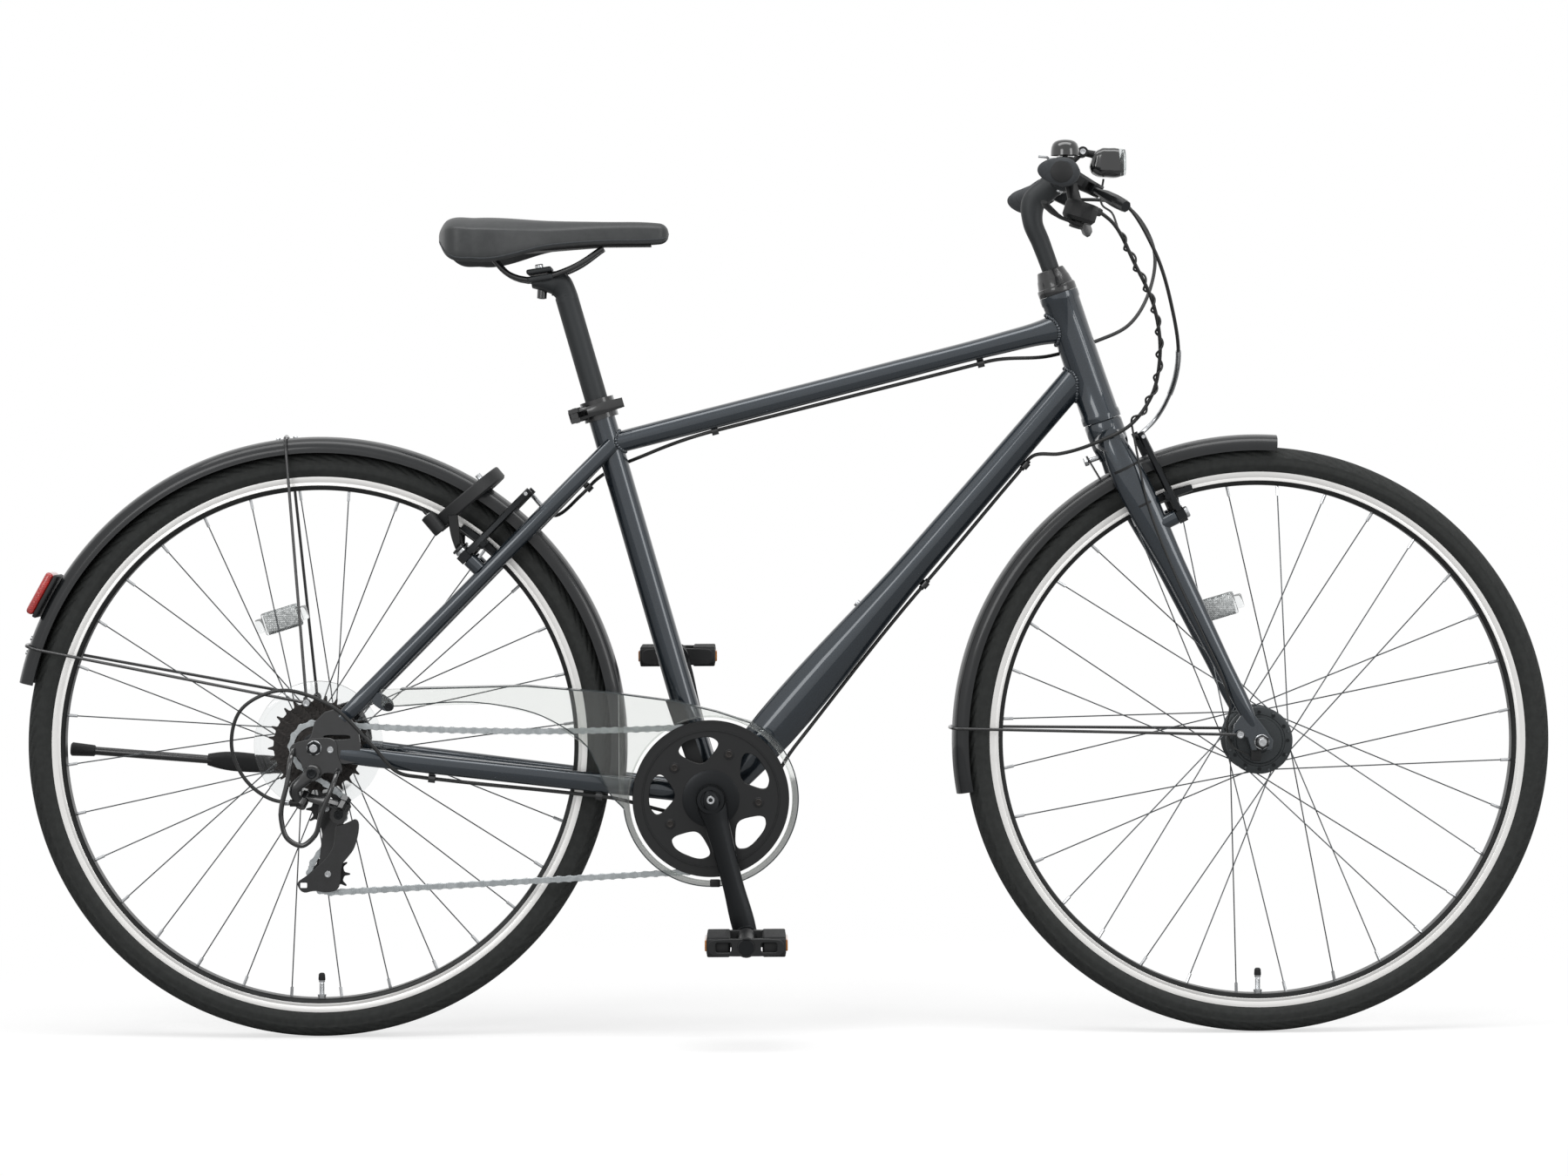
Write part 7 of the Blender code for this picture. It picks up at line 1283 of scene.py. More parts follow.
class Frame:
    """The welded frame: front triangle and rear triangle."""

    def __init__(self, sizes: FrameSizes) -> None:
        """Keeps the sizes and the tubes' ends."""
        self.sizes = sizes
        self.down_low = at(BRACKET_X + 0.0063, BRACKET_Z)
        self.down_high = on_steerer(0.4813)
        self.down = unit(self.down_high - self.down_low)
        self.down_above = np.cross(self.down, LEFT)
        self.top_rear = on_seat_tube(0.4325)
        self.top_front = on_steerer(0.5353)
        self.top = unit(self.top_front - self.top_rear)
        self.top_above = np.cross(self.top, LEFT)
        self.chain_stay = at(0.3650, 0.2966) - at(0.0626, 0.3340)
        self.down_guides = [
            self.down_low + self.down * along - self.down_above * below for along, below in sizes.down_guides
        ]
        self.top_guides = [
            self.top_rear + self.top * along - self.top_above * below for along, below in sizes.top_guides
        ]
        self.chain_stay_guides = [at(*place) for place in sizes.chain_stay_guides]
        self.seat_stay_guide = at(*sizes.seat_stay_guide)

    def bead(self, ring: Array, along: Array, foot: Array, axis: Array, radius: float) -> Skin:
        """A weld bead where a tube meets a round one: its middle line runs over both skins.

        Each place of the ring slides along the tube until it lies at the round tube's radius, and
        the bead's thickness swells and thins along its length like stacked coins.
        """
        axis = unit(axis)
        arm = ring - foot
        arm = arm - np.outer(arm @ axis, axis)
        lane = along - axis * (along @ axis)
        a = lane @ lane
        b = 2 * arm @ lane
        c = (arm**2).sum(1) - radius**2
        slide = (-b - np.sqrt(np.maximum(b * b - 4 * a * c, 0))) / (2 * a)
        path = ring + np.outer(slide, along)
        length = np.linalg.norm(np.roll(path, -1, 0) - path, axis=1)
        count = max(int(length.sum() / 0.0009), 60)
        run = np.concatenate([[0], np.cumsum(length)])
        closed = np.vstack([path, path[:1]])
        spots = np.linspace(0, run[-1], count, endpoint=False)
        path = np.stack([np.interp(spots, run, closed[:, k]) for k in range(3)], -1)
        ahead = np.roll(path, -1, 0) - np.roll(path, 1, 0)
        ahead /= np.linalg.norm(ahead, axis=1)[:, None]
        out = np.cross(ahead, along)
        out /= np.linalg.norm(out, axis=1)[:, None]
        over = np.cross(ahead, out)
        swell = self.sizes.bead * (1 + 0.22 * np.cos(spots * TAU / self.sizes.ripple))
        angle = np.arange(10) * TAU / 10
        ring_ = np.cos(angle)[None, :, None] * out[:, None] + np.sin(angle)[None, :, None] * over[:, None]
        places = path[:, None] + ring_ * swell[:, None, None]
        return Skin(places.reshape(-1, 3), [grid(count, 10, True, True)])

    def ring(self, place: Array, along: Array, section: Array) -> Array:
        """A section's places round a tube."""
        above = np.cross(along, LEFT)
        return place + section[:, :1] * LEFT + section[:, 1:] * above

    def eyelet(self, place: Array, along: Array, foot: Array) -> list[Skin]:
        """A cable guide: a short ring on a foot."""
        hoop = [(0.0050, 0.004), (0.0050, -0.004), (0.0033, -0.004), (0.0033, 0.004)]
        foot = unit(foot)
        stand = block((0.007, 0.0045, 0.0065), place + foot * 0.0068, along, LEFT, 0.001)
        return [lathe(hoop, place, along, 20, closed=True), stand]

    def front_triangle(self) -> None:
        """Head, top, down and seat tubes, bracket shell, welds, bottle bosses and cable guides."""
        size = self.sizes
        low, high = size.head_start, size.head_start + size.head_length
        plain = size.head_radius
        wide = plain + 0.0010
        collar = [(0.0, wide), (0.004, wide + 0.0002), (0.0085, wide), (0.0105, plain)]
        collar += [(0.05, plain - 0.0004)]
        head = [(0.0150, low), *[(r, low + up) for up, r in collar]]
        head += [*[(r, high - up) for up, r in reversed(collar)], (0.0150, high)]
        top_rows = (
            (0.000, 0.0270, 0.0255),
            (0.030, 0.0275, 0.0258),
            (0.330, 0.0290, 0.0245),
            (0.480, 0.0320, 0.0256),
            (0.530, 0.0335, 0.0300),
            (0.552, 0.0345, 0.0370),
        )
        top = eased([[*(self.top_rear + self.top * along), w, h] for along, w, h in top_rows], 8)
        reach = float(np.linalg.norm(self.down_high - self.down_low))
        down_rows = (
            (0.008, 0.0382, 0.0360),
            (0.040, 0.0400, 0.0440),
            (reach * 0.55, 0.0400, 0.0372),
            (reach - 0.040, 0.0380, 0.0350),
            (reach, 0.0360, 0.0350),
        )
        down = eased([[*(self.down_low + self.down * along), w, h] for along, w, h in down_rows], 10)
        piece = Piece("front_triangle").add(
            FRAME_PAINT,
            lathe(head, STEER_BASE, STEER_UP, 64, closed=True),
            tube(top[:, :3], ovals(top[:, 3:], 0.85, 48)),
            tube(down[:, :3], faceted(down[:, 3:])),
            self.seat_tube(),
            self.shell(),
        )
        at_head = (on_steerer(0.5), STEER_UP, size.head_radius)
        at_seat = (BRACKET, SEAT_UP, size.seat_radius)
        at_shell = (BRACKET, LEFT, size.shell_radius)
        welds = (
            (self.top_front, self.top, oval(0.0345, 0.0370, 0.85, 72), at_head),
            (self.down_high, self.down, faceted([[0.0360, 0.0350]])[0], at_head),
            (self.top_rear, -self.top, oval(0.0270, 0.0255, 0.85, 72), at_seat),
            (self.down_low, -self.down, faceted([[0.0390, 0.0400]])[0], at_shell),
            (BRACKET, -SEAT_UP, circle(size.seat_radius, 60), at_shell),
        )
        for end, along, section, round_tube in welds:
            piece.add(FRAME_PAINT, self.bead(self.ring(end, along, section), along, *round_tube))
        above = self.down_above
        for along in size.bottle_bosses:
            foot = self.down_low + self.down * along + above * 0.0120
            piece.add(FRAME_PAINT, rod(foot, foot + above * 0.0085, 0.0056))
            piece.add(PLATED_STEEL, socket_bolt(foot + above * 0.0086, above, 0.0043, 0.0034))
        for place in self.down_guides:
            piece.add(BLACK_ENAMEL, *self.eyelet(place, self.down, self.down_above))
        for place in self.top_guides:
            piece.add(BLACK_ENAMEL, *self.eyelet(place, self.top, self.top_above))
        piece.place("frame", "frame_paint", ("main_frame",))

    def seat_tube(self) -> Skin:
        """The seat tube, open at its top for the seat post."""
        radius, length = self.sizes.seat_radius, self.sizes.seat_length
        profile = [(0, 0.010), (radius, 0.010), (radius, length), (0.0142, length)]
        return lathe([*profile, (0.0142, length - 0.02), (0, length - 0.02)], BRACKET, SEAT_UP, 56)

    def shell(self) -> Skin:
        """The bottom bracket shell, faced at both ends."""
        size = self.sizes
        half = size.shell_width / 2
        loop = even_loop([(0.0173, half), (0.0195, half), (size.shell_radius, half - 0.001)])
        return lathe(loop, BRACKET, LEFT, 56, closed=True)

    def rear_triangle(self) -> None:
        """Stays, bridges, brake bosses and hooded dropouts."""
        piece = Piece("rear_triangle_welded")
        for y in (1.0, -1.0):
            side = LEFT * y
            chain_stay = [
                (at(0.4480, 0.2863, y * 0.0265), 0.0145, 0.0222),
                (at(0.3650, 0.2966, y * 0.0322), 0.0145, 0.0226),
                (at(0.1000, 0.3294, y * 0.0620), 0.0150, 0.0210),
                (at(0.0500, 0.3356, y * 0.0672), 0.0100, 0.0200),
                (at(0.0300, 0.3381, y * 0.0680), 0.0070, 0.0180),
            ]
            seat_stay = [
                (at(0.3480, 0.6991, y * 0.0130), 0.0150, 0.0180),
                (at(0.2950, 0.6455, y * 0.0285), 0.0180, 0.0190),
                (at(0.2500, 0.5999, y * 0.0365), 0.0180, 0.0190),
                (at(0.1880, 0.5372, y * 0.0410), 0.0180, 0.0190),
                (at(0.0760, 0.4238, y * 0.0585), 0.0160, 0.0190),
                (at(0.0500, 0.3975, y * 0.0668), 0.0095, 0.0180),
                (at(0.0320, 0.3793, y * 0.0683), 0.0070, 0.0160),
            ]
            piece.add(FRAME_PAINT, swept(chain_stay, 8, 0.9), swept(seat_stay, 6, 0.9))
            piece.add(BLACK_ENAMEL, self.dropout(side))
            add_boss(piece, REAR_BOSS + side * BOSS_REACH, STAY_OUT, (0.006, 0.0117, 0.0240))
        for x, z, radius in ((0.288, 0.6385, 0.0065), (0.395, 0.2925, 0.0060)):
            piece.add(FRAME_PAINT, rod(at(x, z, -0.028), at(x, z, 0.028), radius))
        tab = [(0.073, 0.412), (0.084, 0.406), (0.093, 0.399), (0.092, 0.388), (0.080, 0.388), (0.064, 0.400)]
        piece.add(FRAME_PAINT, plate(eased_corners(tab, 0.25, 2), 0.0030, at(0, 0, -0.0642)))
        piece.add(BLACK_ALLOY, socket_bolt(at(0.0865, 0.3935, -0.0679), RIGHT, 0.0048, 0.0026))
        for place in self.chain_stay_guides:
            piece.add(BLACK_ENAMEL, *self.eyelet(place, self.chain_stay, UP))
        foot = STAY_OUT * 0.0146 + RIGHT * 0.0080
        piece.add(BLACK_ENAMEL, *self.eyelet(self.seat_stay_guide, STAY_UP, foot))
        piece.place("frame", "frame_paint", ("rear_triangle",))

    def dropout(self, side: Array) -> Skin:
        """A pressed dropout: a bulged plate with an open axle slot and a long window."""
        outline = [(-13, 4), (-4, 14), (0, 30), (12, 42), (26, 46), (44, 32), (52, 16), (54, 2), (52, -18)]
        outline += [(35, -20), (18, -16), (6, -13), (5.2, -12), *AXLE_SLOT, (-5.2, -11), (-12, -10)]
        window = eased_corners(np.array([(11, 10), (41, 10), (41, 14), (11, 14)]) / 1000, 0.2, 2)
        loop = np.array(outline) / 1000
        return plate(loop, 0.0060, REAR_AXLE + side * 0.0680, (window,), edge=0.0012)

    def build(self) -> None:
        """Builds the frame."""
        self.front_triangle()
        self.rear_triangle()


# Fork


@dataclass(frozen=True)
class ForkSizes:
    """The fork: its blades' line, its brake bosses, its ends and the foot of the headset's cover."""

    top: tuple[float, float] = (0.9386, 0.6960)
    low: tuple[float, float] = (1.0990, 0.3655)
    boss: tuple[float, float] = (1.0030, 0.6060)
    end_line: float = 0.0525
    cover_foot: float = 0.5753


class Fork:
    """The fork with its blades, ends, bosses and the headset's cover."""

    def __init__(self, sizes: ForkSizes) -> None:
        """Keeps the sizes and finds the blades' line."""
        self.sizes = sizes
        self.top = at(*sizes.top)
        self.low = at(*sizes.low)
        self.up = unit(self.top - self.low)
        self.out = np.array((self.up[2], 0.0, -self.up[0]))
        self.boss = at(*sizes.boss)

    def blade(self, y: float) -> Skin:
        """One blade: an oval that narrows from the crown to its end."""

        def spot(share: float, across: float) -> Array:
            """A place along the blades' line."""
            return self.top + (self.low - self.top) * share + LEFT * (y * across)

        rows = [
            (on_steerer(0.4000, 0.0, y * 0.0330), 0.0180, 0.0240),
            (spot(0.04, 0.0365), 0.0200, 0.0340),
            (spot(0.47, 0.0400), 0.0200, 0.0280),
            (spot(0.78, 0.0465), 0.0160, 0.0205),
            (spot(0.97, 0.0515), 0.0100, 0.0160),
            (spot(1.01, 0.0523), 0.0050, 0.0120),
        ]
        return swept(rows, 10, 1.0, 44)

    def build(self) -> None:
        """Builds the fork and the headset's cover."""
        crown = [(0, 0.4157), (0.0215, 0.4157), (0.0228, 0.4125), (0.0228, 0.400)]
        crown += [(0.0215, 0.385), (0.0180, 0.370), (0, 0.368)]
        piece = Piece("fork_welded").add(FRAME_PAINT, lathe(crown, STEER_BASE, STEER_UP, 56))
        piece.add(BLACK_ALLOY, rod(on_steerer(0.410), on_steerer(0.595), 0.0142, sides=40))
        widths = ((-0.043, 0.020), (-0.036, 0.030), (-0.022, 0.036))
        bridge = [(on_steerer(0.3900, 0.0, y), width, 0.030) for y, width in widths]
        bridge += [(on_steerer(0.3900, 0.0, 0.0), 0.038, 0.031)]
        bridge += [(mirrored(p), w, h) for p, w, h in reversed(bridge[:-1])]
        piece.add(FRAME_PAINT, swept(bridge, 6, 0.9, 40, AHEAD))
        outline = [(-22, 34), (-10, 34), (4, 16), (13.5, 2), (12, -10), (5.2, -10), *AXLE_SLOT]
        outline += [(-5.2, -10), (-12, -10), (-17, 5), (-34, 10), (-32, 20)]
        for y in (1.0, -1.0):
            side = LEFT * y
            piece.add(FRAME_PAINT, self.blade(y))
            middle = FRONT_AXLE + side * self.sizes.end_line
            piece.add(FRAME_PAINT, plate(np.array(outline) / 1000, 0.0050, middle, edge=0.0010))
            add_boss(piece, self.boss + side * BOSS_REACH, self.out, (0.018, 0.0097, 0.0220))
        piece.place("steering", "frame_paint", ("fork",))
        cover = [(0.0145, 0.0), (0.0228, 0.0), (0.0232, 0.001), (0.0232, 0.0075), (0.0226, 0.009)]
        cover += [(0.0214, 0.0098), (0.0196, 0.0190), (0.0188, 0.0205), (0.0162, 0.0292)]
        cover += [(0.0152, 0.030), (0.0118, 0.030), (0.0118, 0.022), (0.0145, 0.022)]
        cover = [(radius, self.sizes.cover_foot + up) for radius, up in cover]
        cap = lathe(cover, STEER_BASE, STEER_UP, 56, closed=True)
        Piece("headset_bell").add(BLACK_ENAMEL, cap).place("steering", "dark_alloy", ("headset_cover",))


# Mudguards


@dataclass(frozen=True)
class GuardSizes:
    """One mudguard: its wheel, its arc and its stays."""

    name: str
    centre: tuple[float, float, float]
    radius: float
    start: float
    end: float
    stays: tuple[float, ...]
    anchor: tuple[float, float, float]
    body: str
    half_width: float = 0.023
    sheet: float = 0.0014
    wire_radius: float = 0.0018


REAR_GUARD = GuardSizes(
    name="rear",
    centre=tuple(REAR_AXLE),
    radius=0.364,
    start=-8.0,
    end=168.0,
    stays=(96.0, 161.0),
    anchor=tuple(at(-0.0100, 0.3980, 0.0600)),
    body="frame",
)
FRONT_GUARD = GuardSizes(
    name="front",
    centre=tuple(FRONT_AXLE),
    radius=0.361,
    start=86.0,
    end=190.0,
    stays=(177.5,),
    anchor=tuple(at(1.0830, 0.3550, 0.0610)),
    body="steering",
)


class Guard:
    """A mudguard with its wire stays."""

    def __init__(self, sizes: GuardSizes) -> None:
        """Keeps the mudguard's sizes."""
        self.sizes = sizes
        self.centre = np.array(sizes.centre)

    def on_crest(self, angle: float, out: float = 0.0, y: float = 0.0) -> Array:
        """A place above the mudguard's crest, at an angle in degrees."""
        return self.centre + facing(math.radians(angle)) * (self.sizes.radius + out) + LEFT * y

    def moulding(self) -> Skin:
        """The rolled sheet: a smooth channel with a fine line near each edge and a bead along it."""
        size = self.sizes
        half = [(-23.0, -19.0), (-22.6, -12.0), (-18.6, -4.8), (-9.5, -1.1), (0.0, 0.0)]
        rows = [(y / 1000, r / 1000, 0.0) for y, r in [*half, *[(-a, b) for a, b in reversed(half[:-1])]]]
        outer = eased(np.array(rows), 9)[:, :2]
        along = np.gradient(outer, axis=0)
        normal = np.stack([-along[:, 1], along[:, 0]], -1) / np.linalg.norm(along, axis=1)[:, None]
        edge = np.minimum(np.linalg.norm(outer - outer[0], axis=1), np.linalg.norm(outer - outer[-1], axis=1))
        line = 0.00035 * np.exp(-(((np.abs(outer[:, 0]) - 0.0165) / 0.0006) ** 2))
        thick = size.sheet + 0.0008 * np.exp(-((edge / 0.0012) ** 2))
        inner = outer - normal * thick[:, None]
        outer = outer - normal * line[:, None]
        turn = np.radians(np.linspace(size.start, size.end, 200))
        out = np.stack([np.cos(turn), np.zeros_like(turn), np.sin(turn)], -1)

        def swept_round(section: Array) -> Array:
            """The section carried round the wheel."""
            reach = size.radius + section[None, :, 1:]
            return self.centre + out[:, None] * reach + LEFT * section[None, :, :1]

        return sheet(swept_round(outer), swept_round(inner))

    def stays(self) -> None:
        """The wire loops over the mudguard, and the bolts at their feet."""
        size = self.sizes
        shift = size.half_width + size.wire_radius + GAP
        piece = Piece(size.name + "_mudguard_stays")
        anchor = np.array(size.anchor)
        low = -0.0115
        for angle in size.stays:
            shoulder = ((-1, low), (-1, -0.0060), (-0.93, -0.0015))
            rows = [self.on_crest(angle, out, y * shift) for y, out in shoulder]
            rows += [self.on_crest(angle, 0.0017, -shift * 0.5), self.on_crest(angle, 0.0028)]
            rows += [mirrored(row) for row in reversed(rows[:-1])]
            piece.add(BLACK_ENAMEL, wire(eased(np.array(rows), 6), size.wire_radius, 14))
            for y in (1.0, -1.0):
                top = self.on_crest(angle, low, y * shift)
                piece.add(BLACK_ENAMEL, rod(top, anchor * (1, y, 1), size.wire_radius, sides=14))
        for y in (1.0, -1.0):
            bolt = anchor * (1, y, 1)
            side = LEFT * y
            piece.add(BLACK_ENAMEL, rod(bolt - side * 0.0022, bolt + side * 0.0022, 0.0052))
            piece.add(PLATED_STEEL, socket_bolt(bolt + side * 0.0016, side, 0.0042, 0.0026))
        piece.place(size.body, "black_paint", (size.name + "_fender_stays",))

    def tab(self, top: Array, width: float, thickness: float) -> tuple[Skin, Skin]:
        """The metal tab under a bridge, with its bolt through the mudguard."""
        out = unit((top - self.centre) * (1, 0, 1))
        foot = self.centre + out * (self.sizes.radius - 0.0022)
        middle = (foot + top) / 2
        length = float(np.linalg.norm(top - foot))
        slab = block((length, width, thickness), middle, out, LEFT, 0.0006)
        return slab, hexagon(self.centre + out * (self.sizes.radius - 0.0026), -out, 0.008, 0.0024)


class RearGuard(Guard):
    """The rear mudguard with its reflector."""

    def build(self) -> None:
        """Builds the mudguard, its stays, two bolt heads and the reflector."""
        bridge = at(0.288, 0.6385)
        out = unit(bridge - self.centre)
        slab, nut = self.tab(bridge - out * 0.0070, 0.016, 0.0030)
        piece = Piece("rear_mudguard").add(GUARD_PLASTIC, self.moulding()).add(BLACK_ENAMEL, slab)
        piece.add(PLATED_STEEL, nut)
        for angle in (97.6, 94.4, 162.4, 159.6):
            lift = unit(self.on_crest(angle) - self.centre)
            piece.add(PLATED_STEEL, socket_bolt(self.on_crest(angle, -0.0002), lift, 0.0028, 0.0019))
        piece.place("frame", "matt_plastic", ("rear_fender",))
        self.stays()
        middle = self.on_crest(151.2, 0.0037)
        out = unit(middle - self.centre)
        along = np.cross(out, LEFT)
        holder = block((0.0560, 0.0480, 0.0050), middle, along, LEFT, 0.0015)
        lens = block((0.0545, 0.0465, 0.0098), middle + out * 0.0074, along, LEFT, 0.0040)
        reflector = Piece("rear_red_reflector").add(MATT_PLASTIC, holder).add(RED_LENS, lens)
        reflector.place("frame", "red_reflector", ("rear_reflector",))


class FrontGuard(Guard):
    """The front mudguard under the fork's crown."""

    def build(self) -> None:
        """Builds the mudguard and its stay."""
        out = unit(on_steerer(0.3750, -0.030) - self.centre)
        slab, nut = self.tab(self.centre + out * (self.sizes.radius + 0.0300), 0.014, 0.0020)
        piece = Piece("front_mudguard").add(GUARD_PLASTIC, self.moulding()).add(BLACK_ENAMEL, slab)
        hole = self.centre + out * (self.sizes.radius + 0.0235)
        piece.add(PLATED_STEEL, rod(hole - STEER_AHEAD * 0.0030, hole + STEER_AHEAD * 0.0200, 0.0029))
        piece.add(PLATED_STEEL, hexagon(hole - STEER_AHEAD * 0.0010, -STEER_AHEAD, 0.010, 0.0050))
        piece.add(PLATED_STEEL, nut).place("steering", "matt_plastic", ("front_fender",))
        self.stays()


# Drive


@dataclass(frozen=True)
class LinkSizes:
    """A chain link: its plates, its pin and its roller."""

    end_radius: float = 0.0041
    waist: float = 0.0029
    waist_reach: float = 0.0012
    thickness: float = 0.00085
    outer_line: float = 0.00285
    inner_line: float = 0.00195
    pin_radius: float = 0.00175
    pin_reach: float = 0.0036
    roller_radius: float = 0.0038
    roller_reach: float = 0.0015


@dataclass(frozen=True)
class PedalSizes:
    """A block pedal: its treads with their ribs, the reflectors and the end plates."""

    tread: tuple[float, float, float] = (0.0272, 0.0850, 0.0200)
    tread_line: float = 0.0320
    rib: tuple[float, float, float] = (0.0262, 0.0050, 0.0238)
    ribs: int = 9
    rib_pitch: float = 0.0094
    reflector: tuple[float, float, float] = (0.0030, 0.0560, 0.0130)
    reflector_line: float = 0.0142
    plate_thickness: float = 0.0078
    slot_line: float = 0.0260


@dataclass(frozen=True)
class DriveSizes:
    """Chain, sprockets and cranks."""

    pitch: float = 0.0127
    ring_teeth: int = 42
    cog_teeth: tuple[int, ...] = (14, 16, 18, 20, 22, 24, 28)
    pulley_teeth: int = 11
    cog_line: float = -0.0593
    cog_spacing: float = 0.0050
    ring_line: float = -0.0460
    sag: float = 0.008
    run_in: float = 0.12
    links: int = 114
    crank_length: float = 0.165
    crank_turn: float = math.radians(-75.6)
    pedal_line: float = 0.136
    guard_line: float = -0.0530
    guard_radius: float = 0.0900
    guard_thickness: float = 0.0024
    arms: int = 5
    bolt_circle: float = 0.0560
    core_radius: float = 0.0210
    tooth_root: float = 0.0042
    tooth_tip: float = 0.0026
    cog_thickness: float = 0.0019
    cog_hole: float = 0.0048
    pulley_hole: float = 0.0023
    pulley_hole_circle: float = 0.0112
    link: LinkSizes = LinkSizes()
    pedal: PedalSizes = PedalSizes()


def rounds(flat: Array) -> Array:
    """World places of (forward, up) places about nothing, on the middle plane."""
    return np.stack([flat[..., 0], np.zeros(flat.shape[:-1]), flat[..., 1]], -1)


class Drive:
    """Chain, sprockets, cranks and pedals."""

    def __init__(self, sizes: DriveSizes) -> None:
        """Finds the wheels that the chain runs over, and its pins."""
        self.sizes = sizes
        pulleys = {j["child"]: np.array(j["pos_m"]) for j in frame["joints"] if j["child"].endswith("pulley")}
        small = self.pitch_radius(sizes.pulley_teeth)
        self.wheels = [
            (REAR_AXLE + LEFT * sizes.cog_line, self.pitch_radius(sizes.cog_teeth[0]), 1),
            (BRACKET + LEFT * sizes.ring_line, self.pitch_radius(sizes.ring_teeth), 1),
            (pulleys["tension_pulley"], small, 1),
            (pulleys["guide_pulley"], small, -1),
        ]
        self.pins = self.chain_pins()

    def pitch_radius(self, teeth: int) -> float:
        """Radius of the circle through the chain's pins on a sprocket."""
        return self.sizes.pitch / (2 * math.sin(math.pi / teeth))

    def course(self) -> tuple[Array, Array]:
        """A dense closed course of the chain, and which wheel each place lies on."""
        count = len(self.wheels)
        ends = []
        for index, (place, radius, sense) in enumerate(self.wheels):
            other, other_radius, other_sense = self.wheels[(index + 1) % count]
            gap = (other - place)[[0, 2]]
            change = (sense * radius - other_sense * other_radius) / np.linalg.norm(gap)
            ends.append(math.atan2(gap[1], gap[0]) - math.asin(change) + math.pi / 2)
        runs, homes = [], []
        for index, (place, radius, sense) in enumerate(self.wheels):
            turned = math.pi if sense < 0 else 0.0
            first, last = ends[index - 1] + turned, ends[index] + turned
            sweep = (last - first) % TAU
            sweep = sweep - TAU if sense > 0 and sweep else sweep
            steps = max(8, int(abs(sweep) / math.radians(0.6)))
            angle = first + sweep * np.arange(steps + 1) / steps
            arc = place + rounds(np.stack([np.cos(angle), np.sin(angle)], -1)) * radius
            other, other_radius, other_sense = self.wheels[(index + 1) % count]
            normal = ends[index] + (math.pi if other_sense < 0 else 0.0)
            goal = other + facing(normal) * other_radius
            steps = max(2, int(np.linalg.norm(goal - arc[-1]) / 0.002))
            share = (np.arange(1, steps) / steps)[:, None]
            run = arc[-1] + (goal - arc[-1]) * share
            inner = np.clip((share[:, 0] - self.sizes.run_in) / (1 - 2 * self.sizes.run_in), 0, 1)
            run[:, 1] = arc[-1, 1] + (goal[1] - arc[-1, 1]) * inner
            run[:, 2] -= 4 * (self.sizes.sag if index == 0 else 0.0) * share[:, 0] * (1 - share[:, 0])
            runs += [arc, run]
            homes += [np.full(len(arc), index), np.full(len(run), -1)]
        return np.vstack(runs), np.concatenate(homes)

    def chain_pins(self) -> Array:
        """Pins stepped along the course by the chain's pitch."""
        points, homes = self.course()
        start = int(np.argmax(homes == 0)) + 12
        points = np.vstack([points[start:], points[:start], points[start : start + 1]])
        pins = [points[0]]
        index = 1
        while len(pins) < self.sizes.links and index < len(points):
            low, high, last = points[index - 1], points[index], pins[-1]
            if np.linalg.norm(high - last) < self.sizes.pitch:
                index += 1
                continue
            step, arm = high - low, low - last
            a, b, c = step @ step, 2 * step @ arm, arm @ arm - self.sizes.pitch**2
            share = (-b + math.sqrt(max(b * b - 4 * a * c, 0.0))) / (2 * a)
            pins.append(low + step * share)
            points[index - 1] = pins[-1]
        return np.array(pins)

    def phase(self, index: int) -> float:
        """The angle of a pin that lies on a wheel, so that the teeth fall between the pins."""
        centre, radius, _ = self.wheels[index]
        arm = (self.pins - centre)[:, [0, 2]]
        on = arm[np.abs(np.linalg.norm(arm, axis=1) - radius) < 0.00005]
        spot = on[len(on) // 2]
        return math.atan2(spot[1], spot[0])

    def teeth(self, count: int, phase: float) -> Array:
        """A sprocket's outline: a trapezium tooth with rounded flanks between each pair of pins."""
        radius = self.pitch_radius(count)
        root, tip = radius - self.sizes.tooth_root, radius + self.sizes.tooth_tip
        form = np.array(((root, -0.0034), (root + 0.0012, -0.0021), (tip - 0.001, -0.0011), (tip, -0.0005)))
        form = np.vstack([form, form[::-1] * (1, -1)])
        middle = phase + TAU * (np.arange(count)[:, None] + 0.5) / count
        angle = middle + form[None, :, 1] / form[None, :, 0]
        reach = np.broadcast_to(form[None, :, 0], angle.shape)
        return np.stack([reach * np.cos(angle), reach * np.sin(angle)], -1).reshape(-1, 2)

    def chain(self) -> None:
        """The chain: waisted plates in pairs, inner and outer by turns, with rollers and pins."""
        pitch, pins, link = self.sizes.pitch, self.pins, self.sizes.link
        after = np.roll(pins, -1, axis=0)
        along = after - pins
        along /= np.linalg.norm(along, axis=1)[:, None]
        across = LEFT - along * (along @ LEFT)[:, None]
        across /= np.linalg.norm(across, axis=1)[:, None]
        above = np.cross(along, across)
        bow = np.radians(np.linspace(110, 250, 9))
        end = np.stack([link.end_radius * np.cos(bow), link.end_radius * np.sin(bow)], -1)
        waist = [(pitch / 2 + reach, -link.waist) for reach in (-link.waist_reach, link.waist_reach)]
        far = np.array((pitch, 0)) - end
        outline = np.vstack([end, waist, far, [(x, -y) for x, y in reversed(waist)]])

        def plate_at(line: float) -> Skin:
            """A link plate in its own directions: along, across, above."""
            skin = plate(outline, link.thickness, np.zeros(3), edge=0.00015)
            skin.places = skin.places * (1, -1, 1) + np.array((0, line, 0))
            return skin

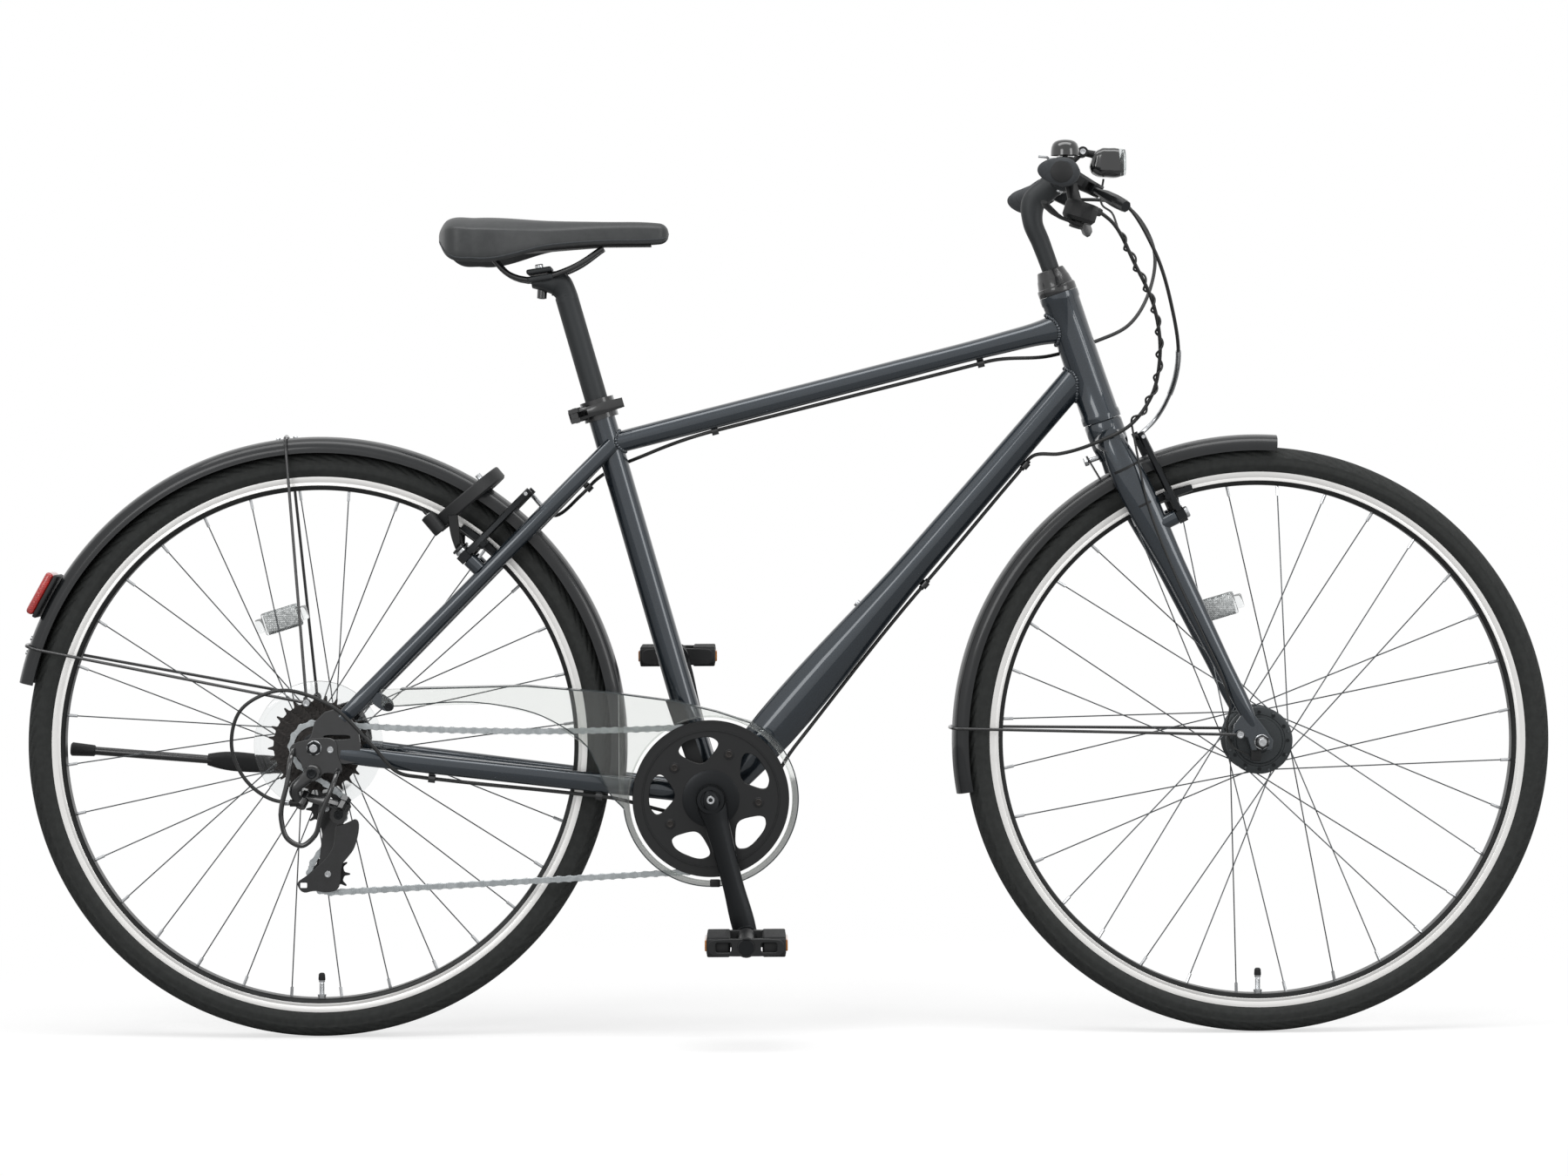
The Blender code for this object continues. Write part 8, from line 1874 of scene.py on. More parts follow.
        piece = Piece("chain_links")
        for first, line in ((0, link.outer_line), (1, link.inner_line)):
            pick = slice(first, None, 2)
            for template in (plate_at(line), plate_at(-line)):
                piece.add(CHAIN_STEEL, copies(template, pins[pick], along[pick], across[pick], above[pick]))
        reach = across * link.pin_reach
        piece.add(CHAIN_STEEL, rods(pins - reach, pins + reach, link.pin_radius, 10))
        reach = across * link.roller_reach
        piece.add(CHAIN_STEEL, rods(pins - reach, pins + reach, link.roller_radius, 14))
        piece.place("frame", "chain_steel", ("chain",), 30)

    def cogs(self) -> None:
        """Seven sprockets with relief holes on one body, with a lock ring outside."""
        size = self.sizes
        phase = self.phase(0)
        piece = Piece("sprocket_cluster")
        for index, count in enumerate(size.cog_teeth):
            place = REAR_AXLE + LEFT * (size.cog_line + size.cog_spacing * index)
            root = self.pitch_radius(count) - 0.0048
            ring = (root + size.core_radius) / 2
            wide = min(size.cog_hole, (root - size.core_radius) / 2 - 0.0010)
            holes = []
            if count > 16:
                number = 12 if count > 20 else 8
                turns = phase + index * 0.2 + np.arange(number) * TAU / number
                holes = [circle(wide, 16, (ring * math.cos(a), ring * math.sin(a))) for a in turns]
            outline = self.teeth(count, phase)
            piece.add(COG_STEEL, plate(outline, size.cog_thickness, place, tuple(holes), edge=0.0002))
        body = [(0.0113, -0.0268), (0.0205, -0.0268), (0.0205, -0.0600), (0.0190, -0.0612), (0.0113, -0.0612)]
        piece.add(COG_STEEL, lathe(body, REAR_AXLE, LEFT, 64, closed=True))
        lock = [(0.0113, -0.0600), (0.0165, -0.0600), (0.0165, -0.0618), (0.0150, -0.0622), (0.0113, -0.0622)]
        piece.add(BLACK_ALLOY, lathe(lock, REAR_AXLE, LEFT, 48, closed=True))
        piece.place("freewheel", "chain_steel", ("freewheel",), 30)

    def petal(self, angle: float) -> Array:
        """A window of the chainring and its guard: a rounded triangle."""
        form = ((0.043, -7), (0.043, 7), (0.0660, 24), (0.0740, 12), (0.0740, -12), (0.0660, -24))
        turns = [(r, angle + math.radians(shift)) for r, shift in form]
        return eased_corners(np.array([(r * math.cos(a), r * math.sin(a)) for r, a in turns]), 0.22, 3)

    def ring(self) -> None:
        """The chainring with the black guard disc outside it, five windows and five bolts."""
        size = self.sizes
        turn = size.crank_turn - math.radians(1)
        windows = tuple(self.petal(turn + TAU * (i + 0.5) / size.arms) for i in range(size.arms))
        bead = [(0.0890, -0.0514), (0.0916, -0.0516), (0.0920, -0.0524), (0.0920, -0.0538)]
        bead += [(0.0914, -0.0545), (0.0890, -0.0545)]
        rim = lathe(bead, BRACKET, LEFT, 144, closed=True)
        place = BRACKET + LEFT * size.guard_line
        disc = plate(circle(size.guard_radius, 144), size.guard_thickness, place, windows, edge=0.0006)
        outline = self.teeth(size.ring_teeth, self.phase(1))
        ring = plate(outline, size.cog_thickness, BRACKET + LEFT * size.ring_line, windows)
        core = [(0.0168, -0.0452), (0.0335, -0.0452), (0.0335, -0.0550), (0.0300, -0.0562), (0.0168, -0.0562)]
        piece = Piece("chainring_and_guard").add(MATT_PLASTIC, disc, rim).add(COG_STEEL, ring)
        piece.add(BLACK_ALLOY, lathe(core, BRACKET, LEFT, 72, closed=True))
        ridge = [(0.0788, -0.0538), (0.0812, -0.0538), (0.0806, -0.0550), (0.0794, -0.0550)]
        piece.add(MATT_PLASTIC, lathe(ridge, BRACKET, LEFT, 144, closed=True))
        for index in range(size.arms):
            place = BRACKET + facing(turn + TAU * index / size.arms) * size.bolt_circle
            piece.add(MATT_PLASTIC, rod(place - LEFT * 0.0465, place - LEFT * 0.0552, 0.0060))
            piece.add(COG_STEEL, socket_bolt(place - LEFT * 0.0550, RIGHT, 0.0042, 0.0016))
        piece.place("crank", "chain_steel", ("chainring",), 30)

    def arm_direction(self, side: Array) -> Array:
        """The direction of a crank arm from the bracket."""
        return facing(self.sizes.crank_turn) * -side[1]

    def crank(self, side: Array, node: str) -> None:
        """A forged crank arm: a ridged section that narrows towards the pedal's eye."""
        length = self.sizes.crank_length
        along = self.arm_direction(side)
        across = np.cross(along, side)
        rows = (
            (-0.0150, 0, 0, 0.0200, 0.0160, 0.0600),
            (0.0000, 0, 0, 0.0330, 0.0180, 0.0600),
            (0.0300, 0, 0, 0.0290, 0.0170, 0.0605),
            (0.1000, 0, 0, 0.0245, 0.0140, 0.0640),
            (length - 0.006, 0, 0, 0.0270, 0.0130, 0.0670),
            (length + 0.008, 0, 0, 0.0240, 0.0128, 0.0670),
            (length + 0.0140, 0, 0, 0.0130, 0.0120, 0.0672),
        )
        curve = eased(np.array(rows), 7)
        form = ((-0.5, -0.5), (0.5, -0.5), (0.5, 0.1), (0.22, 0.40), (0, 0.5), (-0.22, 0.40), (-0.5, 0.1))
        section = eased_corners(np.array(form), 0.18, 2)
        middle = BRACKET + curve[:, :1] * along + (curve[:, 5:] + curve[:, 4:5] / 2) * side
        rings = middle[:, None] + across * (section[None, :, :1] * curve[:, None, 3:4])
        rings = rings + side * (section[None, :, 1:] * curve[:, None, 4:5])
        boss = [(0.0088, 0.0435), (0.0160, 0.0435), (0.0160, 0.0600), (0.0172, 0.0615), (0.0172, 0.0745)]
        boss += [(0.0158, 0.0778), (0.0120, 0.0780), (0.0116, 0.0752), (0.0088, 0.0752)]
        place = BRACKET + along * length
        piece = Piece(node + "_arm").add(BLACK_ALLOY, capped(rings))
        piece.add(BLACK_ALLOY, lathe(boss, BRACKET, side, 48, closed=True))
        piece.add(BLACK_ALLOY, rod(BRACKET + side * 0.0700, BRACKET + side * 0.0745, 0.0087))
        piece.add(PLATED_STEEL, rod(BRACKET + side * 0.0740, BRACKET + side * 0.0758, 0.0064))
        piece.add(PLATED_STEEL, socket_bolt(BRACKET + side * 0.0755, side, 0.0050, 0.0026))
        eye = [(0, 0.0668), (0.0135, 0.0668), (0.0140, 0.0680), (0.0140, 0.0785), (0.0128, 0.0800)]
        eye += [(0, 0.0800)]
        piece.add(BLACK_ALLOY, lathe(eye, place, side, 40))
        piece.add(PLATED_STEEL, rod(place + side * 0.0700, place + side * 0.1735, 0.0045))
        piece.add(PLATED_STEEL, hexagon(place + side * 0.0798, side, 0.0150, 0.0040))
        if node == "right_crank":
            piece.add(PLATED_STEEL, rod(BRACKET + RIGHT * 0.0500, BRACKET + LEFT * 0.0605, 0.0085))
        piece.place("crank", "black_paint", (node,))

    def pedal(self, side: Array, node: str) -> None:
        """A block pedal: a barrel, two ribbed treads, end plates, reflectors and a dust cap."""
        centre = BRACKET + self.arm_direction(side) * self.sizes.crank_length + side * self.sizes.pedal_line
        barrel = [(0.0052, -0.0500), (0.0105, -0.0500), (0.0118, -0.0485), (0.0118, -0.0380)]
        barrel += [(0.0100, -0.0340), (0.0100, 0.0340), (0.0118, 0.0380), (0.0118, 0.0470)]
        barrel += [(0.0100, 0.0482), (0.0052, 0.0482)]
        piece = Piece(node + "_block").add(MATT_PLASTIC, lathe(barrel, centre, side, 40, closed=True))
        size = self.sizes.pedal
        for x in (-size.tread_line, size.tread_line):
            tread = centre + AHEAD * x
            piece.add(MATT_PLASTIC, block(size.tread, tread, AHEAD, LEFT, 0.0030))
            for step in range(size.ribs):
                spot = tread + LEFT * (step - size.ribs // 2) * size.rib_pitch
                piece.add(MATT_PLASTIC, block(size.rib, spot, AHEAD, LEFT, 0.0018))
            face = tread + AHEAD * np.sign(x) * size.reflector_line
            piece.add(AMBER_LENS, block(size.reflector, face, AHEAD, LEFT, 0.0012))
        outline = [(-43, -6), (-36, -10), (36, -10), (43, -6), (43, 6), (36, 10), (-36, 10), (-43, 6)]
        flat = eased_corners(np.array(outline) / 1000, 0.2, 2)
        slots = [rounded(0.0180, 0.0110, 0.0025) + (x, 0.0) for x in (-size.slot_line, size.slot_line)]
        for y, holes in ((-0.0445, ()), (0.0450, (circle(0.0098, 32), *slots))):
            end_plate = plate(flat, size.plate_thickness, centre + side * y, holes, edge=0.0008)
            piece.add(MATT_PLASTIC, end_plate)
        cap = [(0, 0.0400), (0.0096, 0.0400), (0.0096, 0.0472), (0.0086, 0.0484), (0, 0.0484)]
        piece.add(BLACK_ALLOY, lathe(cap, centre, side, 32))
        piece.place(node, "matt_plastic", (node,))

    def pulley(self, index: int, name: str) -> None:
        """A jockey pulley: a toothed wheel with round windows on a metal bush."""
        centre = self.wheels[index][0]
        outline = self.teeth(self.sizes.pulley_teeth, self.phase(index))
        wide, reach = self.sizes.pulley_hole, self.sizes.pulley_hole_circle
        turns = np.arange(5) * TAU / 5
        holes = tuple(circle(wide, 14, (reach * math.cos(a), reach * math.sin(a))) for a in turns)
        hub = even_loop([(0.0033, -0.0044), (0.0068, -0.0044), (0.0070, -0.0040)])
        piece = Piece(name + "_wheel").add(MATT_PLASTIC, plate(outline, 0.0022, centre, holes, edge=0.0002))
        piece.add(BLACK_ALLOY, lathe(hub, centre, LEFT, 32, closed=True)).place(name, "matt_plastic", (name,))

    def bracket(self) -> None:
        """The bottom bracket's cups in the shell."""
        piece = Piece("bracket_cups")
        for side in (LEFT, RIGHT):
            cup = [(0.0092, 0.0100), (0.0168, 0.0100), (0.0168, 0.0338), (0.0168, 0.0372), (0.0158, 0.0385)]
            cup += [(0.0125, 0.0385), (0.0120, 0.0370), (0.0092, 0.0370)]
            piece.add(BLACK_ALLOY, lathe(cup, BRACKET, side, 40, closed=True))
        piece.place("frame", "black_paint", ("bottom_bracket",))

    def build(self) -> None:
        """Builds the drive."""
        self.chain()
        self.cogs()
        self.ring()
        for side, name in ((RIGHT, "right"), (LEFT, "left")):
            self.crank(side, name + "_crank")
        for side, name in ((RIGHT, "right"), (LEFT, "left")):
            self.pedal(side, name + "_pedal")
        self.pulley(3, "guide_pulley")
        self.pulley(2, "tension_pulley")
        self.bracket()


# Chain case and derailleur


@dataclass(frozen=True)
class CaseSizes:
    """The clear chain case: a flat front round the chainring, folded outwards to a tail behind it."""

    sheet: float = 0.0016
    skin: float = 0.0004
    front_line: float = -0.0548
    tail_line: float = -0.0675
    chain_side: float = -0.034
    fold: float = 0.3610
    tail_end: float = 0.0780
    radius: float = 0.1030
    hole_radius: float = 0.0960


class ChainCase:
    """The clear chain case."""

    def __init__(self, sizes: CaseSizes) -> None:
        """Keeps the case's sizes."""
        self.sizes = sizes

    def line(self, x: float) -> float:
        """How far to the side the panel stands: it slopes outwards behind the fold."""
        size = self.sizes
        share = max(0.0, (size.fold - x) / (size.fold - size.tail_end))
        return size.front_line + (size.tail_line - size.front_line) * share

    def build(self) -> None:
        """Builds the ringed panel, its sloping tail, the top lip and the inner arm."""
        size = self.sizes
        bx, bz = BRACKET_X, BRACKET_Z
        angle = np.radians(np.linspace(62, -173, 90))
        edge = np.stack([bx + size.radius * np.cos(angle), bz + size.radius * np.sin(angle)], -1)
        outline = np.vstack([edge, [(0.3550, 0.2780), (0.3550, 0.4072), (0.4190, 0.3980), (0.4700, 0.3855)]])
        hole = circle(size.hole_radius, 120, (bx, bz))
        piece = Piece("clear_chain_case")
        piece.add(CLEAR_CASE, plate(outline, size.sheet, at(0, 0, size.front_line), (hole,)))
        lip_ring = [(0.0955, -0.0536), (0.0978, -0.0536), (0.0978, -0.0562), (0.0955, -0.0562)]
        piece.add(CLEAR_CASE, lathe(lip_ring, BRACKET, LEFT, 120, closed=True))
        low = [(0.3610, 0.2720), (0.3470, 0.2860), (0.3190, 0.3440), (0.2660, 0.3810), (0.2050, 0.3960)]
        low += [(0.0780, 0.3935)]
        tail = [*low, (0.0780, 0.4140), (0.2460, 0.4170), (0.3475, 0.4080), (0.3610, 0.4061)]
        flat = np.array([(x - size.fold, z) for x, z in tail])
        slope = unit((size.fold - size.tail_end, size.front_line - size.tail_line, 0))
        piece.add(CLEAR_CASE, plate(flat, size.sheet, at(size.fold, 0, size.front_line), (), slope))
        top = ((0.100, 0.4144), (0.246, 0.417), (0.3475, 0.408), (0.419, 0.398), (0.470, 0.3855))
        rings = []
        for x, z in (*top, (0.510, 0.372)):
            out = self.line(x) - size.skin
            corners = ((out, 0), (size.chain_side, 0), (size.chain_side, 0.0015), (out, 0.0015))
            rings.append([at(x, z - t, y) for y, t in corners])
        # The top lip is painted shade: a smoky grey in place of the dark look of the clear edge seen end on
        piece.add(CLEAR_EDGE_PAINTED_SHADE, capped(np.array(rings)))
        corner = np.array([at(x, z, self.line(x) - size.skin) for x, z in low])
        turn = np.radians(np.linspace(58, -173, 100))
        ring = BRACKET + rounds(np.stack([np.cos(turn), np.sin(turn)], -1)) * 0.1026
        ring = ring + LEFT * (size.front_line - size.skin)
        # The wires along the lower edge and round the ring are painted shade too: smoky grey lines for the
        # clear edges
        piece.add(CLEAR_EDGE_PAINTED_SHADE, wire(eased(corner, 6), 0.0007, 8), wire(ring, 0.0007, 8))
        arm_line = size.chain_side - GAP - 0.00075
        bore = circle(0.0175, 48, (bx, bz))
        piece.add(MATT_PLASTIC, plate(circle(0.0235, 48, (bx, bz)), 0.0015, at(0, 0, arm_line), (bore,)))
        strip = [(bx - 0.018, bz + 0.012), (bx - 0.002, bz + 0.0215), (0.4290, 0.3965), (0.4090, 0.3990)]
        piece.add(MATT_PLASTIC, plate(np.array(strip), 0.0014, at(0, 0, arm_line)))
        clip = block((0.012, 0.0060, 0.009), at(bx + 0.0045, bz - 0.0990, -0.0545), AHEAD, LEFT, 0.0015)
        piece.add(MATT_PLASTIC, clip)
        piece.place("frame", "clear_plastic", ("chain_case",))


@dataclass(frozen=True)
class HangerSizes:
    """The derailleur's bracket on the right dropout, and the link that starts from it."""

    line: float = -0.0728
    thickness: float = 0.0030
    pivot: tuple[float, float] = (-0.0020, 0.3170)
    level: tuple[float, float, float] = (0.900, 0, -0.436)
    slant: tuple[float, float, float] = (-0.244, 0.829, -0.504)
    half_turn: float = math.radians(21.7)
    link_end: tuple[float, float, float] = (0.0330, 0.2790, -0.0860)
    link_length: float = 0.0478


class Derailleur:
    """The derailleur's fixed bracket, and the dress of its moving pieces."""

    def __init__(self, sizes: HangerSizes, tension: Array, guide: Array) -> None:
        """Keeps the sizes and the middles of the two pulleys."""
        self.sizes = sizes
        self.tension = tension
        self.guide = guide

    def hanger(self) -> None:
        """The derailleur's bracket: hanger plate, pivot drum, neck, cable stop and round wire guard."""
        size = self.sizes
        outline = [(27, 352), (20, 358), (6, 358), (-8, 356), (-24, 352), (-29, 346), (-27, 338), (-18, 334)]
        outline += [(-13, 322), (-10, 309), (6, 309), (12, 318), (30, 314), (34, 322), (27, 336)]
        flat = eased_corners(np.array(outline) / 1000, 0.24, 2)
        hole = circle(0.0052, 32, (0.0, REAR_AXLE[2]))
        sheet_metal = plate(flat, size.thickness, at(0, 0, size.line), (hole,), edge=0.0006)
        piece = Piece("derailleur_bracket").add(BLACK_ENAMEL, sheet_metal)
        level, slant = unit(size.level), unit(size.slant)
        axis = unit(np.cross(level, slant))
        reach = level * math.cos(size.half_turn) - slant * math.sin(size.half_turn)
        joint = at(*size.link_end) - reach * size.link_length
        pivot = at(*size.pivot)
        drum = [(0, 0.0728), (0.0095, 0.0728), (0.0095, 0.0780), (0.0086, 0.0788), (0.0095, 0.0796)]
        drum += [(0.0095, 0.0832), (0.0086, 0.0840), (0, 0.0840)]
        piece.add(BLACK_ENAMEL, lathe(drum, pivot, RIGHT, 40))
        lug = joint - axis * 0.0150
        piece.add(BLACK_ENAMEL, rod(lug, joint - axis * (0.0052 + GAP), 0.0070))
        piece.add(PLATED_STEEL, rod(lug, joint + axis * 0.0058, 0.0023))
        neck = [(pivot + RIGHT * 0.0790, 0.0100, 0.0160), (at(-0.0225, 0.2960, -0.0835), 0.0100, 0.0120)]
        neck += [(joint - axis * 0.0118, 0.0060, 0.0080)]
        piece.add(BLACK_ENAMEL, swept(neck, 8, 0.7, 28))
        stop = at(-0.0140, 0.2825, -0.0800)
        piece.add(MATT_PLASTIC, rod(stop, stop - AHEAD * 0.0140, 0.0042, sides=24))
        guard = [(-24, 345, 72.8), (-25.5, 336, 87), (-29, 310, 93), (-36.5, 265, 94.5), (-29, 242, 94.5)]
        guard += [(-13, 234, 94.5), (2, 245, 94.5), (10, 270, 96), (24, 306, 93), (27, 317, 84)]
        guard += [(27.5, 320, 72.8)]
        path = eased(np.array([at(x / 1000, z / 1000, -y / 1000) for x, z, y in guard]), 8)
        piece.add(GLOSS_PLASTIC, wire(path, 0.0030, 16))
        piece.place("frame", "black_paint", ("derailleur_base",))

    def beside(self, pulley: Array, out: float) -> Array:
        """A place on a pulley's axis, at a distance to the right of the bicycle's middle."""
        return pulley * (1, 0, 1) + RIGHT * out

    def cage_plate(self) -> None:
        """The outer plate over the derailleur's cage: bowed forward above, drawn out to a toe below."""
        outline = [(33, 65), (37, 60), (36, 47), (31, 29), (22, 18), (16, 11), (15, -7), (12, -19)]
        outline += [(-2, -22), (-16, -19), (-30, -23), (-38, -10), (-25, -2), (-15, 7), (-4, 16)]
        outline += [(6, 30), (8, 44), (9, 57), (18, 58), (27, 62)]
        flat = eased_corners(np.array(outline) / 1000, 0.24, 2)
        window = rounded(0.0080, 0.0060, 0.0012) + np.array((-0.0285, -0.0130))
        sheet_metal = plate(flat, 0.0018, self.beside(self.tension, 0.0680), (window,), edge=0.0005)
        Piece("cage_outer_plate").add(BLACK_ENAMEL, sheet_metal).place("derailleur_cage", "black_paint")

    def build(self) -> None:
        """Builds the bracket, the outer cage plate and the bolts, and dresses the moving pieces."""
        self.hanger()
        for node in ("derailleur_link", "derailleur_knuckle", "derailleur_cage"):
            dressed(node, BLACK_ENAMEL, 0.0006)
        self.cage_plate()
        bolts = (
            ("derailleur_base", BLACK_ALLOY, "frame", at(*self.sizes.pivot, -0.0840), 0.0060),
            ("dropout", PLATED_STEEL, "frame", at(0.0190, 0.3440, -0.0742), 0.0040),
            ("derailleur_knuckle", BLACK_ALLOY, "derailleur_knuckle", at(0.0280, 0.2680, -0.0760), 0.0052),
            ("tension", PLATED_STEEL, "derailleur_cage", self.beside(self.tension, 0.0688), 0.0040),
            ("guide", PLATED_STEEL, "derailleur_cage", self.beside(self.guide, 0.0669), 0.0036),
        )
        for name, finish, body, place, radius in bolts:
            bolt = socket_bolt(place, RIGHT, radius, 0.0028)
            Piece(name + "_bolt").add(finish, bolt).place(body, "polished_steel")


# Axles


@dataclass(frozen=True)
class AxleSizes:
    """The axles: their radius, half their lengths, and the nuts and washers with their places."""

    radius: float = 0.0048
    front_half: float = 0.0650
    rear_half: float = 0.0840
    front_nut: float = 0.0550
    rear_left_nut: float = 0.0753
    rear_right_nut: float = 0.0742
    washer_radius: float = 0.0088
    across_flats: float = 0.0150


class AxleSet:
    """The wheel axles with their nuts and washers."""

    def __init__(self, sizes: AxleSizes) -> None:
        """Keeps the axles' sizes."""
        self.sizes = sizes

    def front(self) -> None:
        """The front axle: its nuts under round caps, the cones of its bearings and the lead's plug."""
        size = self.sizes
        reach = LEFT * size.front_half
        front = Piece("front_axle_set")
        front.add(PLATED_STEEL, rod(FRONT_AXLE - reach, FRONT_AXLE + reach, size.radius))
        for side in (LEFT, RIGHT):
            place = FRONT_AXLE + side * size.front_nut
            front.add(PLATED_STEEL, rod(place, place + side * 0.0015, size.washer_radius))
            front.add(BLACK_ALLOY, hexagon(place + side * 0.0013, side, size.across_flats, 0.0055))
            dome = [(0, 0.0060), (0.0066, 0.0060), (0.0066, 0.0066), (0.0050, 0.0082), (0.0020, 0.0090)]
            dome += [(0, 0.0091)]
            front.add(GLOSS_PLASTIC, lathe(dome, place, side, 28))
            cone = [(0, 0.0400), (0.0080, 0.0400), (0.0080, 0.0498), (0, 0.0498)]
            front.add(PLATED_STEEL, lathe(cone, FRONT_AXLE, side, 28))
        socket = FRONT_AXLE + np.array((-0.006, -0.045, -0.014))
        plug = block((0.012, 0.008, 0.018), socket, AHEAD, LEFT, 0.0015)
        front.add(MATT_PLASTIC, plug)
        front.place("steering", "polished_steel", ("front_axle",))

    def rear(self) -> None:
        """The rear axle: its nuts and washers, and the plate that carries the stand."""
        size = self.sizes
        reach = LEFT * size.rear_half
        rear = Piece("rear_axle_set")
        rear.add(PLATED_STEEL, rod(REAR_AXLE - reach, REAR_AXLE + reach, size.radius))
        outline = [(0.012, 0.356), (-0.012, 0.358), (-0.026, 0.340), (-0.034, 0.314)]
        outline += [(-0.026, 0.302), (-0.010, 0.303), (-0.004, 0.316), (0.010, 0.336)]
        flat = eased_corners(np.array(outline), 0.2, 2)
        rear.add(BLACK_ENAMEL, plate(flat, 0.0038, at(0, 0, 0.0733), edge=0.0006))
        for side, start in ((LEFT, size.rear_left_nut), (RIGHT, size.rear_right_nut)):
            washer = rod(REAR_AXLE + side * start, REAR_AXLE + side * (start + 0.0012), size.washer_radius)
            place = REAR_AXLE + side * (start + 0.0010)
            rear.add(PLATED_STEEL, washer)
            rear.add(BLACK_ALLOY, hexagon(place, side, size.across_flats, 0.0064))
        rear.place("frame", "polished_steel", ("rear_axle",))

    def build(self) -> None:
        """Builds both axles."""
        self.front()
        self.rear()


# Stand and lock


@dataclass(frozen=True)
class StandSizes:
    """The side stand: its pivot as x, z and y, its axis's tilt, how it lies folded, and its length."""

    pivot: tuple[float, float, float] = (-0.0200, 0.3120, 0.0855)
    tilt: float = math.radians(12)
    turn: float = math.radians(175)
    length: float = 0.290


class Stand:
    """The side stand's leg with its boot and foot."""

    def __init__(self, sizes: StandSizes) -> None:
        """Keeps the stand's sizes."""
        self.sizes = sizes

    def build(self) -> None:
        """Builds the leg: hub, moulded boot, tube and rubber foot."""
        size = self.sizes
        pivot = at(*size.pivot)
        axis = np.array((0.0, -math.cos(size.tilt), -math.sin(size.tilt)))
        along = facing(size.turn)
        along = unit(along - axis * (along @ axis))
        boot = [(0.004, 0.0098, 0.0180), (0.050, 0.0106, 0.0215)]
        boot += [(0.112, 0.0106, 0.0200), (0.125, 0.0098, 0.0140)]
        rows = [(pivot + along * reach, width, height) for reach, width, height in boot]
        piece = Piece("side_stand")
        piece.add(BLACK_ALLOY, rod(pivot - axis * 0.0056, pivot + axis * 0.0060, 0.0110))
        piece.add(MATT_PLASTIC, swept(rows, 8, 0.8, 40, axis))
        tip = pivot + along * size.length
        piece.add(BLACK_ENAMEL, rod(pivot + along * 0.10, tip - along * 0.004, 0.0051, edge=0.001))
        piece.add(MATT_PLASTIC, rod(tip - along * 0.030, tip, 0.0068, 0.0083, edge=0.0018))
        piece.add(PLATED_STEEL, hexagon(pivot - axis * 0.0058, -axis, 0.0100, 0.0024))
        piece.place("stand", "black_paint", ("stand_leg",))


@dataclass(frozen=True)
class LockSizes:
    """The ring lock: its middle as x and z, its directions, its channel, its brackets and its barrel."""

    centre: tuple[float, float] = (0.1710, 0.6300)
    up: tuple[float, float, float] = (0.764, 0, 0.645)
    out: tuple[float, float, float] = (-0.645, 0, 0.764)
    radius: float = 0.0505
    half_gap: float = math.radians(40)
    bracket_angle: float = math.radians(105)
    barrel_angle: float = math.radians(128)


class RingLock:
    """The ring lock over the rear wheel."""

    def __init__(self, sizes: LockSizes) -> None:
        """Keeps the lock's sizes."""
        self.sizes = sizes

    def build(self) -> None:
        """Builds the horseshoe channel, its brackets, the barrel and the key."""
        up, out = unit(self.sizes.up), unit(self.sizes.out)
        centre = at(*self.sizes.centre)
        radius = self.sizes.radius

        def spot(angle: float, reach: float, lift: float = 0.0) -> Array:
            """A place in the lock's plane: the angle from its top, counted to the left."""
            return centre + (up * math.cos(angle) + LEFT * math.sin(angle)) * reach + out * lift

        section = [(-8, -6), (-6, -8), (6, -8), (8, -6), (8, 6.5), (6.8, 8), (4.8, 8), (4.8, -3.4)]
        section += [(-4.8, -3.4), (-4.8, 8), (-6.8, 8), (-8, 6.5)]
        flat = np.array(section) / 1000
        limit = math.pi - self.sizes.half_gap
        angles = np.linspace(-limit, limit, 96)
        spokes = np.cos(angles)[:, None] * up + np.sin(angles)[:, None] * LEFT
        rings = centre + spokes[:, None] * (radius + flat[None, :, :1]) + out * flat[None, :, 1:]
        piece = Piece("horseshoe_lock").add(MATT_PLASTIC, capped(rings, flat))
        bosses = REAR_BOSS + STAY_OUT * 0.0273
        for side in (LEFT, RIGHT):
            start = spot(side[1] * self.sizes.bracket_angle, radius + 0.0085, -0.004)
            end = bosses + side * BOSS_REACH + STAY_OUT * 0.0016
            lift = STAY_OUT * 0.0014
            knee = end + (start - end) * 0.3 + lift
            rows = [(start, 0.005, 0.012), (knee, 0.004, 0.010), (end + lift, 0.004, 0.006)]
            piece.add(BLACK_ENAMEL, swept(rows, 6, 0.7, 24))
            piece.add(BLACK_ENAMEL, rod(end - STAY_OUT * 0.0014, end + STAY_OUT * 0.0018, 0.0080))
        barrel = spot(-self.sizes.barrel_angle, radius + 0.0125, 0.002)
        piece.add(MATT_PLASTIC, rod(barrel - out * 0.012, barrel + out * 0.0136, 0.0085, edge=0.001))
        piece.add(PLATED_STEEL, rod(barrel + out * 0.0130, barrel + out * 0.0142, 0.0060))
        key = block((0.0140, 0.0110, 0.0020), barrel + out * 0.0215, out, LEFT, 0.0009)
        piece.add(MATT_PLASTIC, key)
        piece.place("frame", "black_plastic", ("ring_lock",))
        dressed("lock_bolt", PLATED_STEEL, 0.0005)


# Seat


